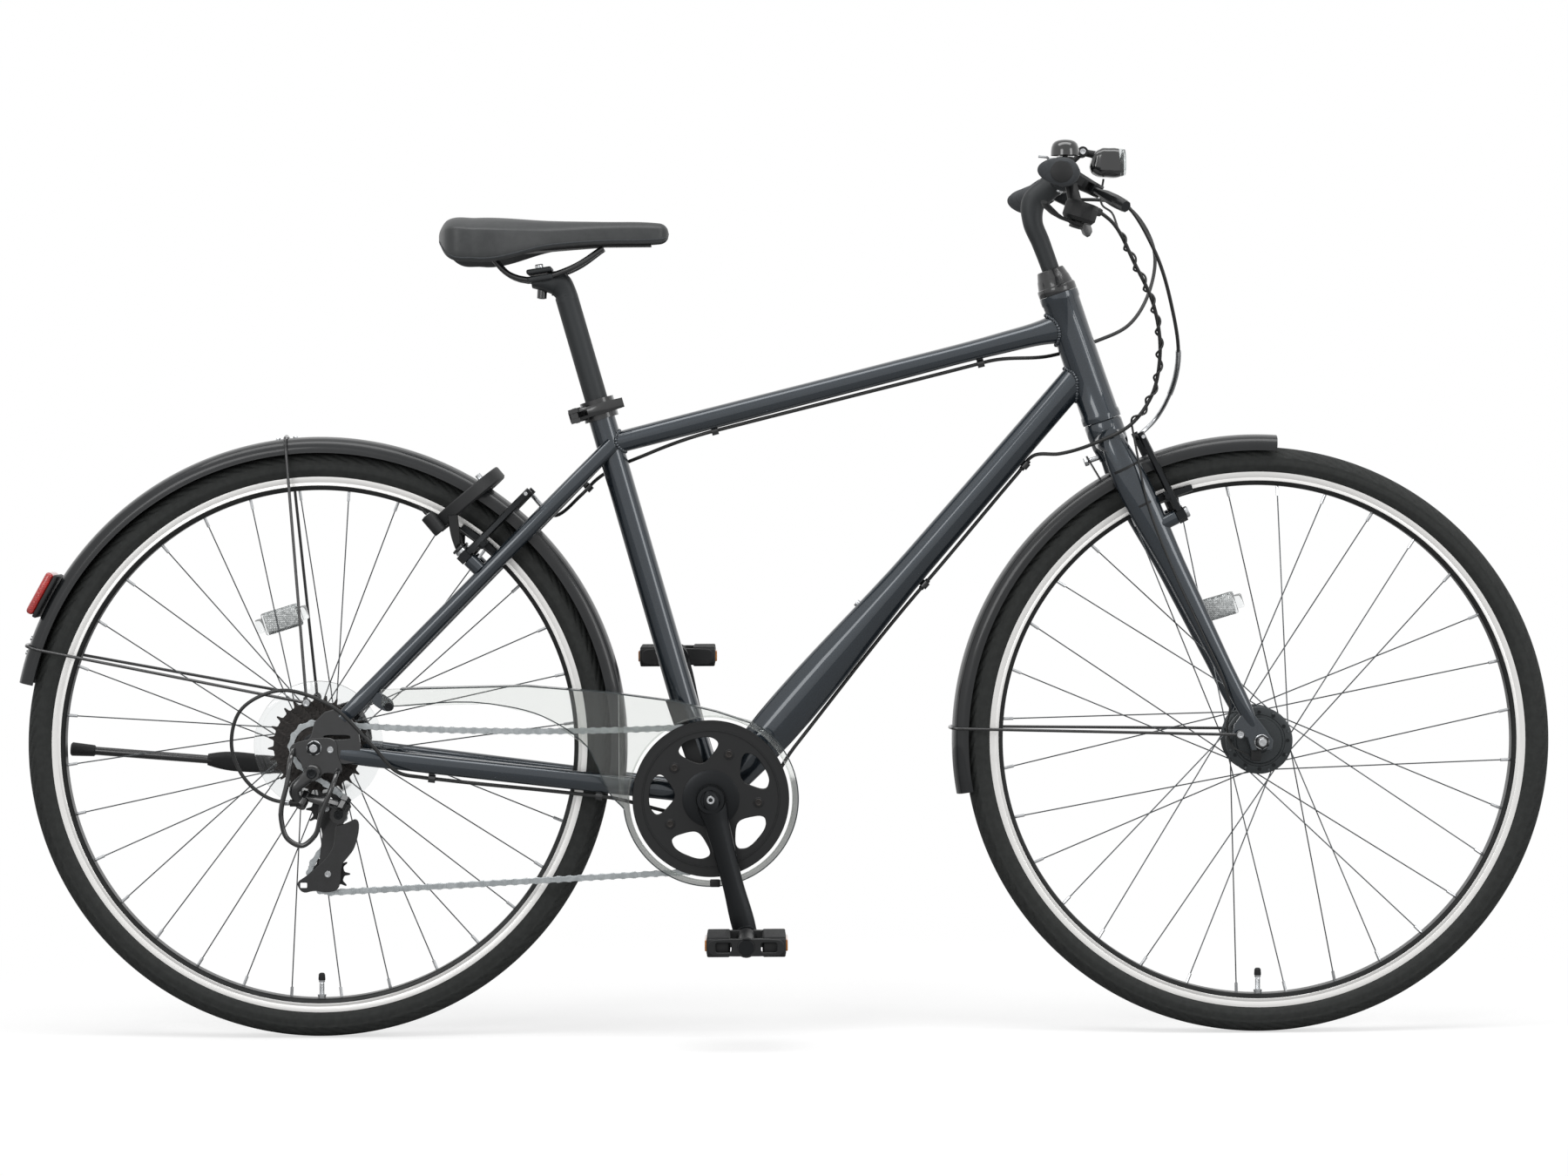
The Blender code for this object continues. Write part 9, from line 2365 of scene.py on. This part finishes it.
@dataclass(frozen=True)
class SeatSizes:
    """The saddle: its sections as x, half width, top, edge, skirt and under, and its rails' corners."""

    rows: tuple[tuple[float, ...], ...] = (
        (0.1440, 0.0480, 0.9560, 0.9450, 0.9350, 0.9370),
        (0.1560, 0.0700, 0.9640, 0.9500, 0.9200, 0.9300),
        (0.1900, 0.0775, 0.9665, 0.9500, 0.9120, 0.9300),
        (0.2800, 0.0430, 0.9630, 0.9490, 0.9290, 0.9360),
        (0.3400, 0.0260, 0.9620, 0.9520, 0.9340, 0.9400),
        (0.3950, 0.0215, 0.9610, 0.9520, 0.9350, 0.9400),
        (0.4160, 0.0170, 0.9590, 0.9510, 0.9365, 0.9410),
    )
    rail: tuple[tuple[float, float], ...] = (
        (0.2050, 0.9240),
        (0.2330, 0.8945),
        (0.2985, 0.9045),
        (0.3380, 0.9310),
    )
    rail_line: float = 0.0215
    fill: float = 0.6


class Seat:
    """Saddle, rails, seat post and clamp."""

    def __init__(self, sizes: SeatSizes) -> None:
        """Keeps the saddle's sizes."""
        self.sizes = sizes

    def cover(self) -> None:
        """The padded cover: rounded sections that close at the tail and the nose, and its welt."""
        rows = np.array([(x, 0, 0, *rest) for x, *rest in self.sizes.rows])
        curve = eased(rows, 14)
        x, half, top, edge, skirt, under = curve[:, [0, 3, 4, 5, 6, 7]].T
        rear, nose = (x - x[0]) / 0.014, (x[-1] - x) / 0.012
        close = np.minimum(np.clip(rear, 0, 1), np.clip(nose, 0, 1))
        close = np.sqrt(1 - (1 - close) ** 2.4) * 0.98 + 0.02
        zero = np.zeros_like(x)
        form = [(zero, top), (half * 0.60, top + 0.0005), (half * 0.97, edge + 0.004), (half, edge - 0.003)]
        form += [(half, skirt + 0.003), (half * 0.90, skirt), (half * 0.78, under), (zero, under)]
        loop = form + [(-a, b) for a, b in reversed(form[1:-1])]
        section = np.stack([np.stack(pair, -1) for pair in loop], 1)
        middle = ((top + skirt) / 2)[:, None]
        section[..., 0] *= close[:, None]
        section[..., 1] = middle + (section[..., 1] - middle) * close[:, None]
        for _ in range(3):
            after = np.roll(section, -1, axis=1)
            cut = np.stack([section * 0.75 + after * 0.25, section * 0.25 + after * 0.75], 2)
            section = cut.reshape(len(x), -1, 2)
        ahead = np.broadcast_to((REAR_X + x)[:, None], section.shape[:2])
        rings = np.concatenate([ahead[..., None], section], -1)
        cover = Piece("saddle_cover").add(SADDLE_VINYL, capped(rings))
        obj = cover.place("seat", "saddle_cover", ("saddle",), 50)
        side = np.stack([REAR_X + x, half * close * 0.985, skirt + 0.0052 + (1 - close) * 0.006], -1)[4:-3]
        other = side * (1, -1, 1)
        tail = eased(np.array([other[0], (REAR_X + x[0] + 0.0010, 0.0, 0.9425), side[0]]), 10)[1:-1]
        welt = np.vstack([other[::-1], tail, side])
        Piece("saddle_welt").add(GRIP_RUBBER, wire(welt, 0.0011, 8)).place("seat", "saddle_cover")

    def rails(self) -> None:
        """Two bent rails and the hard base under the padding."""
        a, b, c, d = (at(x, z) for x, z in self.sizes.rail)
        piece = Piece("saddle_frame")
        for side in (LEFT * self.sizes.rail_line, RIGHT * self.sizes.rail_line):
            path = [a, a + (b - a) * 0.80, b + (c - b) * 0.10, b + (c - b) * 0.90, c + (d - c) * 0.20, d]
            path = [p + side for p in path[:-1]] + [d + side * 0.60]
            piece.add(BLACK_ENAMEL, wire(eased(np.array(path), 6), 0.0035, 16, LEFT))
        rings = []
        for x, half, _, _, _, under in self.sizes.rows[2:6]:
            high = under - 0.0032
            section = rounded(half * 1.12, 0.0040, 0.0015)
            rings.append([at(x, high - 0.0020 + z, y) for y, z in section])
        piece.add(MATT_PLASTIC, capped(np.array(rings)))
        piece.place("seat", "black_paint", ("saddle_rails",))

    def post(self) -> None:
        """The seat post: a tube, a cranked neck, the rails' clamp, its bolt and its collar."""
        top, low = on_seat_tube(0.6160), on_seat_tube(0.3330)
        b, c = (at(x, z) for x, z in self.sizes.rail[1:3])
        neck = [
            (on_seat_tube(0.6100), 0.0268, 0.0268),
            (on_seat_tube(0.6200), 0.0264, 0.0264),
            (at(0.2850, 0.8890), 0.0300, 0.0310),
            (at(0.2680, 0.8905), 0.0420, 0.0200),
            (at(0.2540, 0.8900), 0.0440, 0.0110),
        ]
        rail = unit(c - b)
        up = np.cross(rail, LEFT)
        middle = b + (c - b) * 0.47
        piece = Piece("seat_post").add(POWDER_COAT, rod(low, top, 0.0136, sides=56), swept(neck, 8, 0.85, 40))
        for height, lift in ((0.0060, 0.0055), (0.0070, -0.0035)):
            piece.add(POWDER_COAT, block((0.0300, 0.0550, height), middle + up * lift, rail, LEFT, 0.0022))
        piece.add(PLATED_STEEL, bolt_and_washer(middle + up * 0.0084, up, 0.0050, 0.0055))
        piece.add(BLACK_ENAMEL, rod(at(0.2660, 0.8890), at(0.2650, 0.8722), 0.0058))
        piece.add(PLATED_STEEL, socket_bolt(at(0.2651, 0.8735), unit((-0.001, 0, -0.0168)), 0.0040, 0.0018))
        piece.place("seat", "dark_alloy", ("seatpost",))

    def build(self) -> None:
        """Builds the seat."""
        self.cover()
        self.rails()
        self.post()
        dressed("seat_clamp", BLACK_ENAMEL, 0.0005)
        dressed("seat_release_lever", BLACK_ENAMEL, 0.0008)


# Handlebar and controls

BAR_CENTRE = (0.8840, 1.0140)
BAR_END = (0.8630, 1.0000)
BAR_STRAIGHT = 0.036
BAR_HALF_WIDTH = 0.290
LEVER_REACH = unit((0.87, 0, -0.493))
LAMP = at(0.9335, 1.0255, -0.046)


def bar_at(y: float) -> Array:
    """The middle of the handlebar at a place across the bicycle."""
    share = max(0.0, (abs(y) - BAR_STRAIGHT) / (BAR_HALF_WIDTH - BAR_STRAIGHT))
    x = BAR_CENTRE[0] + (BAR_END[0] - BAR_CENTRE[0]) * share
    z = BAR_CENTRE[1] + (BAR_END[1] - BAR_CENTRE[1]) * share
    return at(x, z, y)


@dataclass(frozen=True)
class CockpitSizes:
    """The handlebar's radii, the grips' ribs, and where the bell stands."""

    bar_radius: float = 0.0111
    middle_radius: float = 0.0126
    rib_depth: float = 0.0005
    rib_pitch: float = 0.0042
    ribbed: tuple[float, float] = (0.170, 0.276)
    bell_line: float = -0.1020
    bell_height: float = 0.0130
    bell_post: float = 0.0030


class Cockpit:
    """Stem, handlebar, grips, bell and lamp."""

    def __init__(self, sizes: CockpitSizes) -> None:
        """Keeps the sizes."""
        self.sizes = sizes

    def stem(self) -> None:
        """The quill stem: a tube that bends forward to the handlebar's clamp."""
        rows = [
            (on_steerer(0.4700), 0.0222, 0.0222),
            (on_steerer(0.6400), 0.0222, 0.0222),
            (on_steerer(0.6660, -0.0010), 0.0232, 0.0240),
            (at(0.8485, 0.9830), 0.0235, 0.0286),
            (at(0.8640, 0.9985), 0.0260, 0.0286),
            (at(0.8770, 1.0090), 0.0330, 0.0300),
        ]
        middle = bar_at(0.0)
        band = even_loop([(0.0128, 0.0232), (0.0172, 0.0235), (0.0188, 0.0222), (0.0190, 0.0200)])
        clamp = lathe(band, middle, LEFT, 56, closed=True)
        piece = Piece("quill_stem").add(POWDER_COAT, swept(rows, 10, 0.9, 48), clamp)
        down = unit((-0.30, 0, -0.95))
        for y in (-0.0130, 0.0130):
            piece.add(PLATED_STEEL, socket_bolt(middle + LEFT * y + down * 0.0180, down, 0.0040, 0.0030))
        plug = [(0, -0.004), (0.0075, -0.004), (0.0075, 0.0006), (0.0060, 0.0016), (0, 0.0018)]
        piece.add(GRIP_RUBBER, lathe(plug, on_steerer(0.6775, 0.0005), STEER_UP, 28))
        piece.place("steering", "dark_alloy", ("stem",))

    def bar(self) -> None:
        """The flat handlebar, thicker where the stem holds it."""
        end = BAR_HALF_WIDTH - 0.0040
        thin, thick = self.sizes.bar_radius, self.sizes.middle_radius
        rows = [(end, thin), (0.150, thin), (0.060, thin), (0.0400, 0.0113), (0.0300, thick), (0.0, thick)]
        rows += [(-y, r) for y, r in reversed(rows[:-1])]
        path = np.array([bar_at(y) for y, _ in rows])
        sizes = np.array([(2 * r, 2 * r) for _, r in rows])
        bar = tube(path, ovals(sizes, 1.0, 40), AHEAD)
        Piece("flat_bar").add(POWDER_COAT, bar).place("steering", "dark_alloy", ("handlebar",))

    def grip(self, side: Array, name: str) -> None:
        """A winged grip: ellipse halves that swell to the rear, fine ribs, an end cap."""
        y_sign = side[1]
        rows = (
            (0.1600, 0, 0, 0.0165, 0.0165, 0.0160),
            (0.1640, 0, 0, 0.0172, 0.0170, 0.0162),
            (0.1720, 0, 0, 0.0180, 0.0175, 0.0160),
            (0.2100, 0, 0, 0.0200, 0.0170, 0.0155),
            (0.2500, 0, 0, 0.0265, 0.0170, 0.0158),
            (0.2800, 0, 0, 0.0280, 0.0173, 0.0156),
            (0.2880, 0, 0, 0.0240, 0.0160, 0.0145),
            (0.2900, 0, 0, 0.0150, 0.0130, 0.0120),
        )
        curve = eased(np.array(rows), 14)
        y, rear, fore, high = curve[:, [0, 3, 4, 5]].T
        back = unit((-1, 0, 0.10))
        along = unit(bar_at(y_sign * 0.25) - bar_at(y_sign * 0.15))
        above = np.cross(back, along)
        above = above if above[2] > 0 else -above
        angle = (np.arange(56) + 0.5) * TAU / 56
        c, s = np.cos(angle), np.sin(angle)
        size = self.sizes
        ribs = size.rib_depth * (np.cos(y * TAU / size.rib_pitch) > 0.3)
        ribs *= (y > size.ribbed[0]) * (y < size.ribbed[1])
        reach = np.where(c[None] > 0, fore[:, None] * c, rear[:, None] * np.sign(c) * np.abs(c) ** 1.15)
        lift = high[:, None] * s
        dip = 1 - ribs[:, None] / np.maximum(np.hypot(reach, lift), 0.004)
        middle = np.array([bar_at(y_sign * v) for v in y])
        rings = middle[:, None] - back * (reach * dip)[..., None] + above * (lift * dip)[..., None]
        end = middle[-1] + back * 0.002
        cap = [(0, -0.001), (0.0125, -0.001), (0.0125, 0.0002), (0.0112, 0.0009), (0, 0.0009)]
        piece = Piece(name + "_moulding").add(GRIP_RUBBER, capped(rings))
        piece.add(MATT_PLASTIC, lathe(cap, end, side, 32))
        piece.place("steering", "grip_rubber", (name,))

    def bell(self) -> None:
        """The bell: a dome on a post over a band round the handlebar."""
        place = bar_at(self.sizes.bell_line)
        base = place + UP * self.sizes.bell_height
        dome = [(0, 0.0266), (0.0040, 0.0264), (0.0085, 0.0256), (0.0120, 0.0240), (0.0145, 0.0212)]
        dome += [(0.0159, 0.0170), (0.0165, 0.0120), (0.0166, 0.0080), (0.0156, 0.0080), (0.0152, 0.0150)]
        dome += [(0.0138, 0.0208), (0, 0.0250)]
        hoop = even_loop([(0.0113, 0.0050), (0.0138, 0.0050), (0.0141, 0.0046)])
        piece = Piece("bell_dome").add(GLOSS_PLASTIC, lathe(dome, base, UP, 64))
        piece.add(GLOSS_PLASTIC, lathe(hoop, place, LEFT, 48, closed=True))
        piece.add(MATT_PLASTIC, rod(base - UP * 0.002, base + UP * 0.0060, 0.0100))
        piece.add(MATT_PLASTIC, rod(base, base + UP * 0.0255, self.sizes.bell_post))
        pin = base + np.array((-0.0130, 0.0, 0.0020))
        lug = block((0.010, 0.006, 0.003), base + np.array((-0.0110, 0, 0.0015)), AHEAD, LEFT, 0.0008)
        piece.add(MATT_PLASTIC, lug)
        piece.add(PLATED_STEEL, rod(pin - LEFT * 0.0058, pin + LEFT * 0.0058, 0.0013))
        piece.place("steering", "black_plastic", ("bell",))
        dressed("bell_striker", PLATED_STEEL, 0.0003)

    def lamp(self) -> None:
        """The lamp: a rounded shell with a clear front, a mirror behind it, and its bracket."""
        rows = [(-20.5, 26, 11, -4), (-18.5, 31, 14, -8), (-12, 36, 17.5, -14.5)]
        rows += [(0, 37.6, 18, -16.6), (8, 38, 18, -17), (12, 37, 17.5, -16)]
        shell = [
            (LAMP + np.array((x, 0, (high + low) / 2)) / 1000, wide / 1000, (high - low) / 1000)
            for x, wide, high, low in rows
        ]
        rows = ((12.1, 36, 32.5), (17, 35, 31), (19.6, 31, 27), (20.5, 22, 18))
        lens = [(LAMP + np.array((x, 0, 0.75)) / 1000, wide / 1000, high / 1000) for x, wide, high in rows]
        knee = at(0.9030, 1.0390, LAMP[1])
        bar = bar_at(LAMP[1])
        piece = Piece("head_lamp").add(GLOSS_PLASTIC, swept(shell, 6, 0.45, 56))
        piece.add(LAMP_CLEAR, swept(lens, 5, 0.45, 56))
        bowl = [(0, 0.0), (0.0060, 0.0002), (0.0120, 0.0018), (0.0150, 0.0045), (0.0146, 0.0046)]
        bowl += [(0.0060, 0.0006), (0, 0.0004)]
        piece.add(MIRROR, lathe(bowl, LAMP + np.array((0.0125, 0, 0.0005)), AHEAD, 40))
        hoop = even_loop([(0.0113, 0.0070), (0.0142, 0.0070), (0.0146, 0.0064)])
        piece.add(MATT_PLASTIC, lathe(hoop, bar, LEFT, 48, closed=True))
        strap = [(bar + np.array((0.004, 0, 0.010)), 0.012, 0.006), (knee, 0.012, 0.007)]
        arm = [(knee, 0.014, 0.008), (LAMP + np.array((-0.014, 0, 0.010)), 0.016, 0.009)]
        piece.add(MATT_PLASTIC, swept(strap, 4, 0.7, 24), swept(arm, 4, 0.7, 24))
        piece.add(MATT_PLASTIC, rod(knee - LEFT * 0.009, knee + LEFT * 0.009, 0.0064))
        piece.add(PLATED_STEEL, socket_bolt(knee - LEFT * 0.0088, RIGHT, 0.0036, 0.0022))
        piece.place("steering", "black_plastic", ("headlight",))

    def build(self) -> None:
        """Builds the handlebar with all that it carries."""
        self.stem()
        self.bar()
        self.grip(RIGHT, "grip_right")
        self.grip(LEFT, "grip_left")
        self.bell()
        self.lamp()
        dressed("shifter_right", MATT_PLASTIC, 0.0008)
        dressed("shift_paddle", MATT_PLASTIC, 0.0006)
        dressed("brake_mount_left", BLACK_ALLOY, 0.0008)
        for side in ("left", "right"):
            dressed("brake_lever_" + side, BLACK_ALLOY, 0.0010)
            for end in ("front", "rear"):
                dressed(f"{end}_brake_arm_{side}", BLACK_ALLOY, 0.0007)


# Cables


@dataclass(frozen=True)
class CableSizes:
    """The cables' radii, the lead's winding, and where two of them bend between the bar and the frame."""

    housing: float = 0.0022
    inner: float = 0.0009
    lead: float = 0.0013
    winding: float = 0.0040
    turns: int = 9
    ties: tuple[float, float] = (0.085, 0.215)
    boot_folds: int = 7
    fold_pitch: float = 0.0034
    rear_bend: tuple = ((0.985, 0.955, 0.090), (0.880, 0.815, 0.030))
    gear_bend: tuple = ((0.962, 0.724, -0.053), (0.885, 0.688, -0.020))


class Cables:
    """The two brake cables, the gear cable and the lamp's lead."""

    def __init__(self, sizes: CableSizes, body: Frame, fork: Fork) -> None:
        """Keeps the sizes and the tubes that carry the cables."""
        self.sizes = sizes
        self.body = body
        self.fork = fork

    def arm_top(self, front: bool, side: Array) -> Array:
        """The hole at the top of a brake arm."""
        if front:
            return self.fork.boss + self.fork.out * 0.0155 + self.fork.up * 0.102 + side * BOSS_REACH
        return REAR_BOSS + STAY_OUT * 0.0175 + STAY_UP * 0.102 + side * BOSS_REACH

    def stop_end(self, side: Array) -> Array:
        """The mouth of a brake mount's cable stop."""
        return bar_at(side[1] * 0.1400) + LEVER_REACH * 0.0340 - side * (0.0300 + 3 * GAP)

    def lay(
        self,
        name: str,
        path: Array,
        radius: float,
        body: str,
        node: str,
        tail: Array,
        bend: tuple | None = None,
    ) -> None:
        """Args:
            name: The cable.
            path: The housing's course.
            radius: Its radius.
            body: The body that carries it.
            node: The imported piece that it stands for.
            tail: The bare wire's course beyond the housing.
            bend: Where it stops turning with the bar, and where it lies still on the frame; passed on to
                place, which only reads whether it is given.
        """
        piece = Piece(name).add(CABLE_COVER, wire(path, radius, 10))
        if len(tail):
            piece.add(SPOKE_WIRE, wire(np.vstack([path[-1:], tail]), self.sizes.inner, 10))
            path = np.vstack([path, tail])
        obj = piece.place(body, "cable_cover", (node,), bend=bend)

    def brake_end(self, name: str, front: bool, body: str) -> tuple[bpy.types.Object, Array]:
        """The boot and end cap on the wire between a brake's arms, and the bare wire's course."""
        near, far = self.arm_top(front, LEFT), self.arm_top(front, RIGHT)
        span = far - near
        boot = [(0, 0), (0.0030, 0), (0.0044, 0.0015)]
        for step in range(self.sizes.boot_folds):
            high, low = 0.0044 - step * 0.00022, 0.0034 - step * 0.00020
            run = step * self.sizes.fold_pitch
            boot += [(high, 0.0028 + run), (low, 0.0044 + run)]
        boot += [(0.0020, 0.0270), (0, 0.0270)]
        piece = Piece(name).add(MATT_PLASTIC, lathe(boot, near + span * 0.22, span, 20))
        piece.add(PLATED_STEEL, rod(far + RIGHT * 0.0058, far + RIGHT * 0.0100, 0.0024, sides=16))
        share = np.linspace(0, 1, 30)[:, None]
        tail = near + LEFT * 0.0040 + (span + RIGHT * 0.0130) * share
        return piece.place(body, "cable_cover"), tail

    def front_brake(self) -> None:
        """The front brake's cable from its stop to the left arm."""
        start = self.stop_end(RIGHT)
        near = self.arm_top(True, LEFT)
        route = [start, start + np.array((0.004, 0.018, 0)), at(0.9500, 0.9780, -0.0640)]
        route += [at(0.9860, 0.9250, -0.0480), at(1.0090, 0.8600, -0.0220), at(1.0200, 0.7890, 0.0200)]
        route += [at(1.0130, 0.7560, 0.0440), near + np.array((0.022, 0.022, 0.018))]
        route += [near + np.array((0.005, 0.0150, 0.003)), near + LEFT * 0.0058]
        path = eased(np.array(route), 12)
        boot, tail = self.brake_end("front_brake_boot", True, "steering")
        sleeve = Piece("front_cable_sleeve").add(PLATED_STEEL, wire(path[-38:], 0.0026, 14))
        sleeve.add(PLATED_STEEL, wire(path[-52:-36], 0.0034, 16))
        pieces = (boot, sleeve.place("steering", "cable_cover"))
        radius = self.sizes.housing
        self.lay("front_brake_housing", path, radius, "steering", "front_brake_cable", tail)

    def rear_brake(self) -> None:
        """The rear brake's cable: under the top tube, along the left seat stay, to the arms."""
        start = self.stop_end(LEFT)
        near = self.arm_top(False, LEFT)
        along, stay = self.body.top * 0.012, STAY_UP * 0.012
        first, second = self.body.top_guides
        guide = self.body.seat_stay_guide
        route = [start, start + np.array((0.004, -0.018, 0)), at(0.9640, 0.9840, 0.0850)]
        route += [at(1.0000, 0.9300, 0.0950), at(0.9910, 0.8760, 0.0800), at(0.9655, 0.8390, 0.0600)]
        route += [at(0.9240, 0.8190, 0.0420), at(0.8700, 0.8020, 0.0240), first + along, first - along]
        route += [(first + second) / 2, second + along, second - along, at(0.3900, 0.6880, 0.0180)]
        route += [guide + stay, guide - stay, at(0.2700, 0.6160, 0.0560)]
        route += [near + np.array((0.012, 0.0180, -0.014)), near + np.array((0.001, 0.0140, -0.001))]
        route += [near + LEFT * 0.0058]
        path = eased(np.array(route), 10)
        boot, tail = self.brake_end("rear_brake_boot", False, "frame")
        sleeve = Piece("rear_cable_sleeve").add(PLATED_STEEL, wire(path[-24:], 0.0027, 14))
        pieces = (boot, sleeve.place("frame", "cable_cover"))
        radius, bend = self.sizes.housing, self.sizes.rear_bend
        self.lay("rear_brake_housing", path, radius, "frame", "rear_brake_cable", tail, bend)

    def gear_route(self) -> tuple[list[Array], list[Array]]:
        """The gear cable's course, before and behind the first guide on the down tube."""
        pod = bar_at(-0.187) + np.array((0.0180, 0, -0.0450))
        start = pod + np.array((0.012, 0.010, 0.002)) + np.array((0.0120, 0.0130, -0.0010)) * 1.06
        down = self.body.down * 0.014
        stay = unit(self.body.chain_stay) * 0.012
        first, second = self.body.down_guides
        third, fourth = self.body.chain_stay_guides
        front = [start, start + np.array((0.014, 0.013, -0.010)), at(0.9570, 0.9040, -0.1240)]
        front += [at(0.9810, 0.8560, -0.1000), at(0.9900, 0.7960, -0.0740), at(0.9820, 0.7530, -0.0580)]
        front += [at(0.9590, 0.7200, -0.0520), at(0.9180, 0.6980, -0.0400), at(0.8760, 0.6850, -0.0130)]
        front += [first + down]
        rear = [first - down, second + down, second - down, at(0.5620, 0.3400, -0.0020)]
        rear += [at(0.5000, 0.2620, -0.0060), at(0.4600, 0.2540, -0.0130), at(0.4100, 0.2660, -0.0260)]
        rear += [third + stay, third - stay]
        rear += [fourth + stay, fourth - stay, at(0.0980, 0.3170, -0.0730), at(0.0700, 0.3480, -0.0850)]
        rear += [at(0.0200, 0.3970, -0.0900), at(-0.0415, 0.4140, -0.0900), at(-0.0850, 0.3900, -0.0880)]
        rear += [at(-0.0950, 0.3500, -0.0850), at(-0.0750, 0.3050, -0.0815), at(-0.0480, 0.2865, -0.0800)]
        rear += [at(-0.0140, 0.2825, -0.0800) - AHEAD * (0.0143 + GAP)]
        return front, rear

    def gear(self) -> None:
        """The gear cable from the shifter to the derailleur."""
        front, rear = self.gear_route()
        path = eased(np.array(front + rear), 10)
        last = path[-1]
        ends = Piece("gear_cable_ends")
        ends.add(PLATED_STEEL, rod(last - AHEAD * 0.0075, last + AHEAD * 0.0002, 0.0029, sides=20))
        half = self.body.down * 0.0070
        for guide in self.body.down_guides:
            ends.add(MATT_PLASTIC, rod(guide - half, guide + half, 0.0031, sides=20))
        pieces = (ends.place("frame", "cable_cover"),)
        radius, bend = self.sizes.housing, self.sizes.gear_bend
        self.lay("gear_housing", path, radius, "frame", "shift_cable", path[:0], bend)

    def lead(self) -> None:
        """The lamp's lead: wound round the gear cable, then down the right fork blade to the hub."""
        front, rear = self.gear_route()
        points = eased(np.array(front + rear), 2)[: 2 * (len(front) - 4) + 1]
        across, above = carried(points, None)
        run = np.concatenate([[0], np.cumsum(np.linalg.norm(np.diff(points, axis=0), axis=1))])
        steps = 24 * self.sizes.turns
        spots = np.linspace(0.040, run[-1], steps + 1)

        def along(values: Array) -> Array:
            """Values at the spots along the course."""
            return np.stack([np.interp(spots, run, values[:, k]) for k in range(3)], -1)

        angle = (TAU * self.sizes.turns * np.arange(steps + 1) / steps)[:, None]
        turned = along(across) * np.cos(angle) + along(above) * np.sin(angle)
        curls = along(points) + turned * self.sizes.winding
        half = self.sizes.lead + GAP
        start = [LAMP + np.array((-0.0060, -0.002, -0.0185)), LAMP + np.array((-0.0100, -0.0100, -0.0400))]
        start += [curls[0] + np.array((-0.004, 0.024, 0.020)), curls[0]]
        beside_blade = [(0.9640, 0.6900, -0.0500), (0.9760, 0.6300, -0.0500), (1.0090, 0.5420, -0.0505)]
        beside_blade += [(1.0400, 0.4740, -0.0530), (1.0660, 0.4130, -0.0560)]
        to_hub = [(1.0720, 0.3860, -0.0530), (1.0690, 0.3640, -0.0480), (1.0760, 0.3400, -0.0450)]
        to_hub += [(1.0950, 0.3300, -0.0450)]
        down = [curls[-1], *[at(x, z, y - half) for x, z, y in beside_blade], *[at(*row) for row in to_hub]]
        path = np.vstack([eased(np.array(start), 8)[:-1], curls, eased(np.array(down), 8)[1:]])
        ties = Piece("lead_ties")
        for share in self.sizes.ties:
            middle = self.fork.top + (self.fork.low - self.fork.top) * share - LEFT * 0.0375
            ring = circle(1.0, 48) * (0.0128, 0.0172)
            reach = ring[:, :1] * LEFT + ring[:, 1:] * self.fork.out
            out = reach / np.linalg.norm(reach, axis=1)[:, None]
            edges = np.array(((-0.0004, -0.0014), (0.0005, -0.0014), (0.0005, 0.0014), (-0.0004, 0.0014)))
            places = (middle + reach)[:, None] + out[:, None] * edges[None, :, :1]
            places = places + self.fork.up * edges[None, :, 1:]
            ties.add(MATT_PLASTIC, Skin(places.reshape(-1, 3), [grid(48, 4, True, True)]))
        pieces = (ties.place("steering", "cable_cover"),)
        self.lay("dynamo_wire", path, self.sizes.lead, "steering", "dynamo_lead", path[:0])

    def build(self) -> None:
        """Lays all the cables."""
        self.front_brake()
        self.rear_brake()
        self.gear()
        self.lead()


# Assembly


def note_size(bounds: tuple, key: str, sizes: dict) -> None:
    sizes[key] = [[float(v) for v in corner] for corner in bounds]


def main() -> None:
    """Dresses the bicycle."""
    sizes: dict = {}
    note_size(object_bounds(), "cad", sizes)
    Stage(StageSizes()).build()
    body, fork = Frame(FrameSizes()), Fork(ForkSizes())
    Cables(CableSizes(), body, fork).build()
    body.build()
    fork.build()
    FrontWheel(FRONT_WHEEL).build()
    RearWheel(REAR_WHEEL).build()
    AxleSet(AxleSizes()).build()
    RearGuard(REAR_GUARD).build()
    FrontGuard(FRONT_GUARD).build()
    drive = Drive(DriveSizes())
    drive.build()
    ChainCase(CaseSizes()).build()
    Derailleur(HangerSizes(), drive.wheels[2][0], drive.wheels[3][0]).build()
    Stand(StandSizes()).build()
    RingLock(LockSizes()).build()
    Seat(SeatSizes()).build()
    Cockpit(CockpitSizes()).build()
    note_size(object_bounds(), "visual", sizes)


if __name__ == "__main__":
    main()
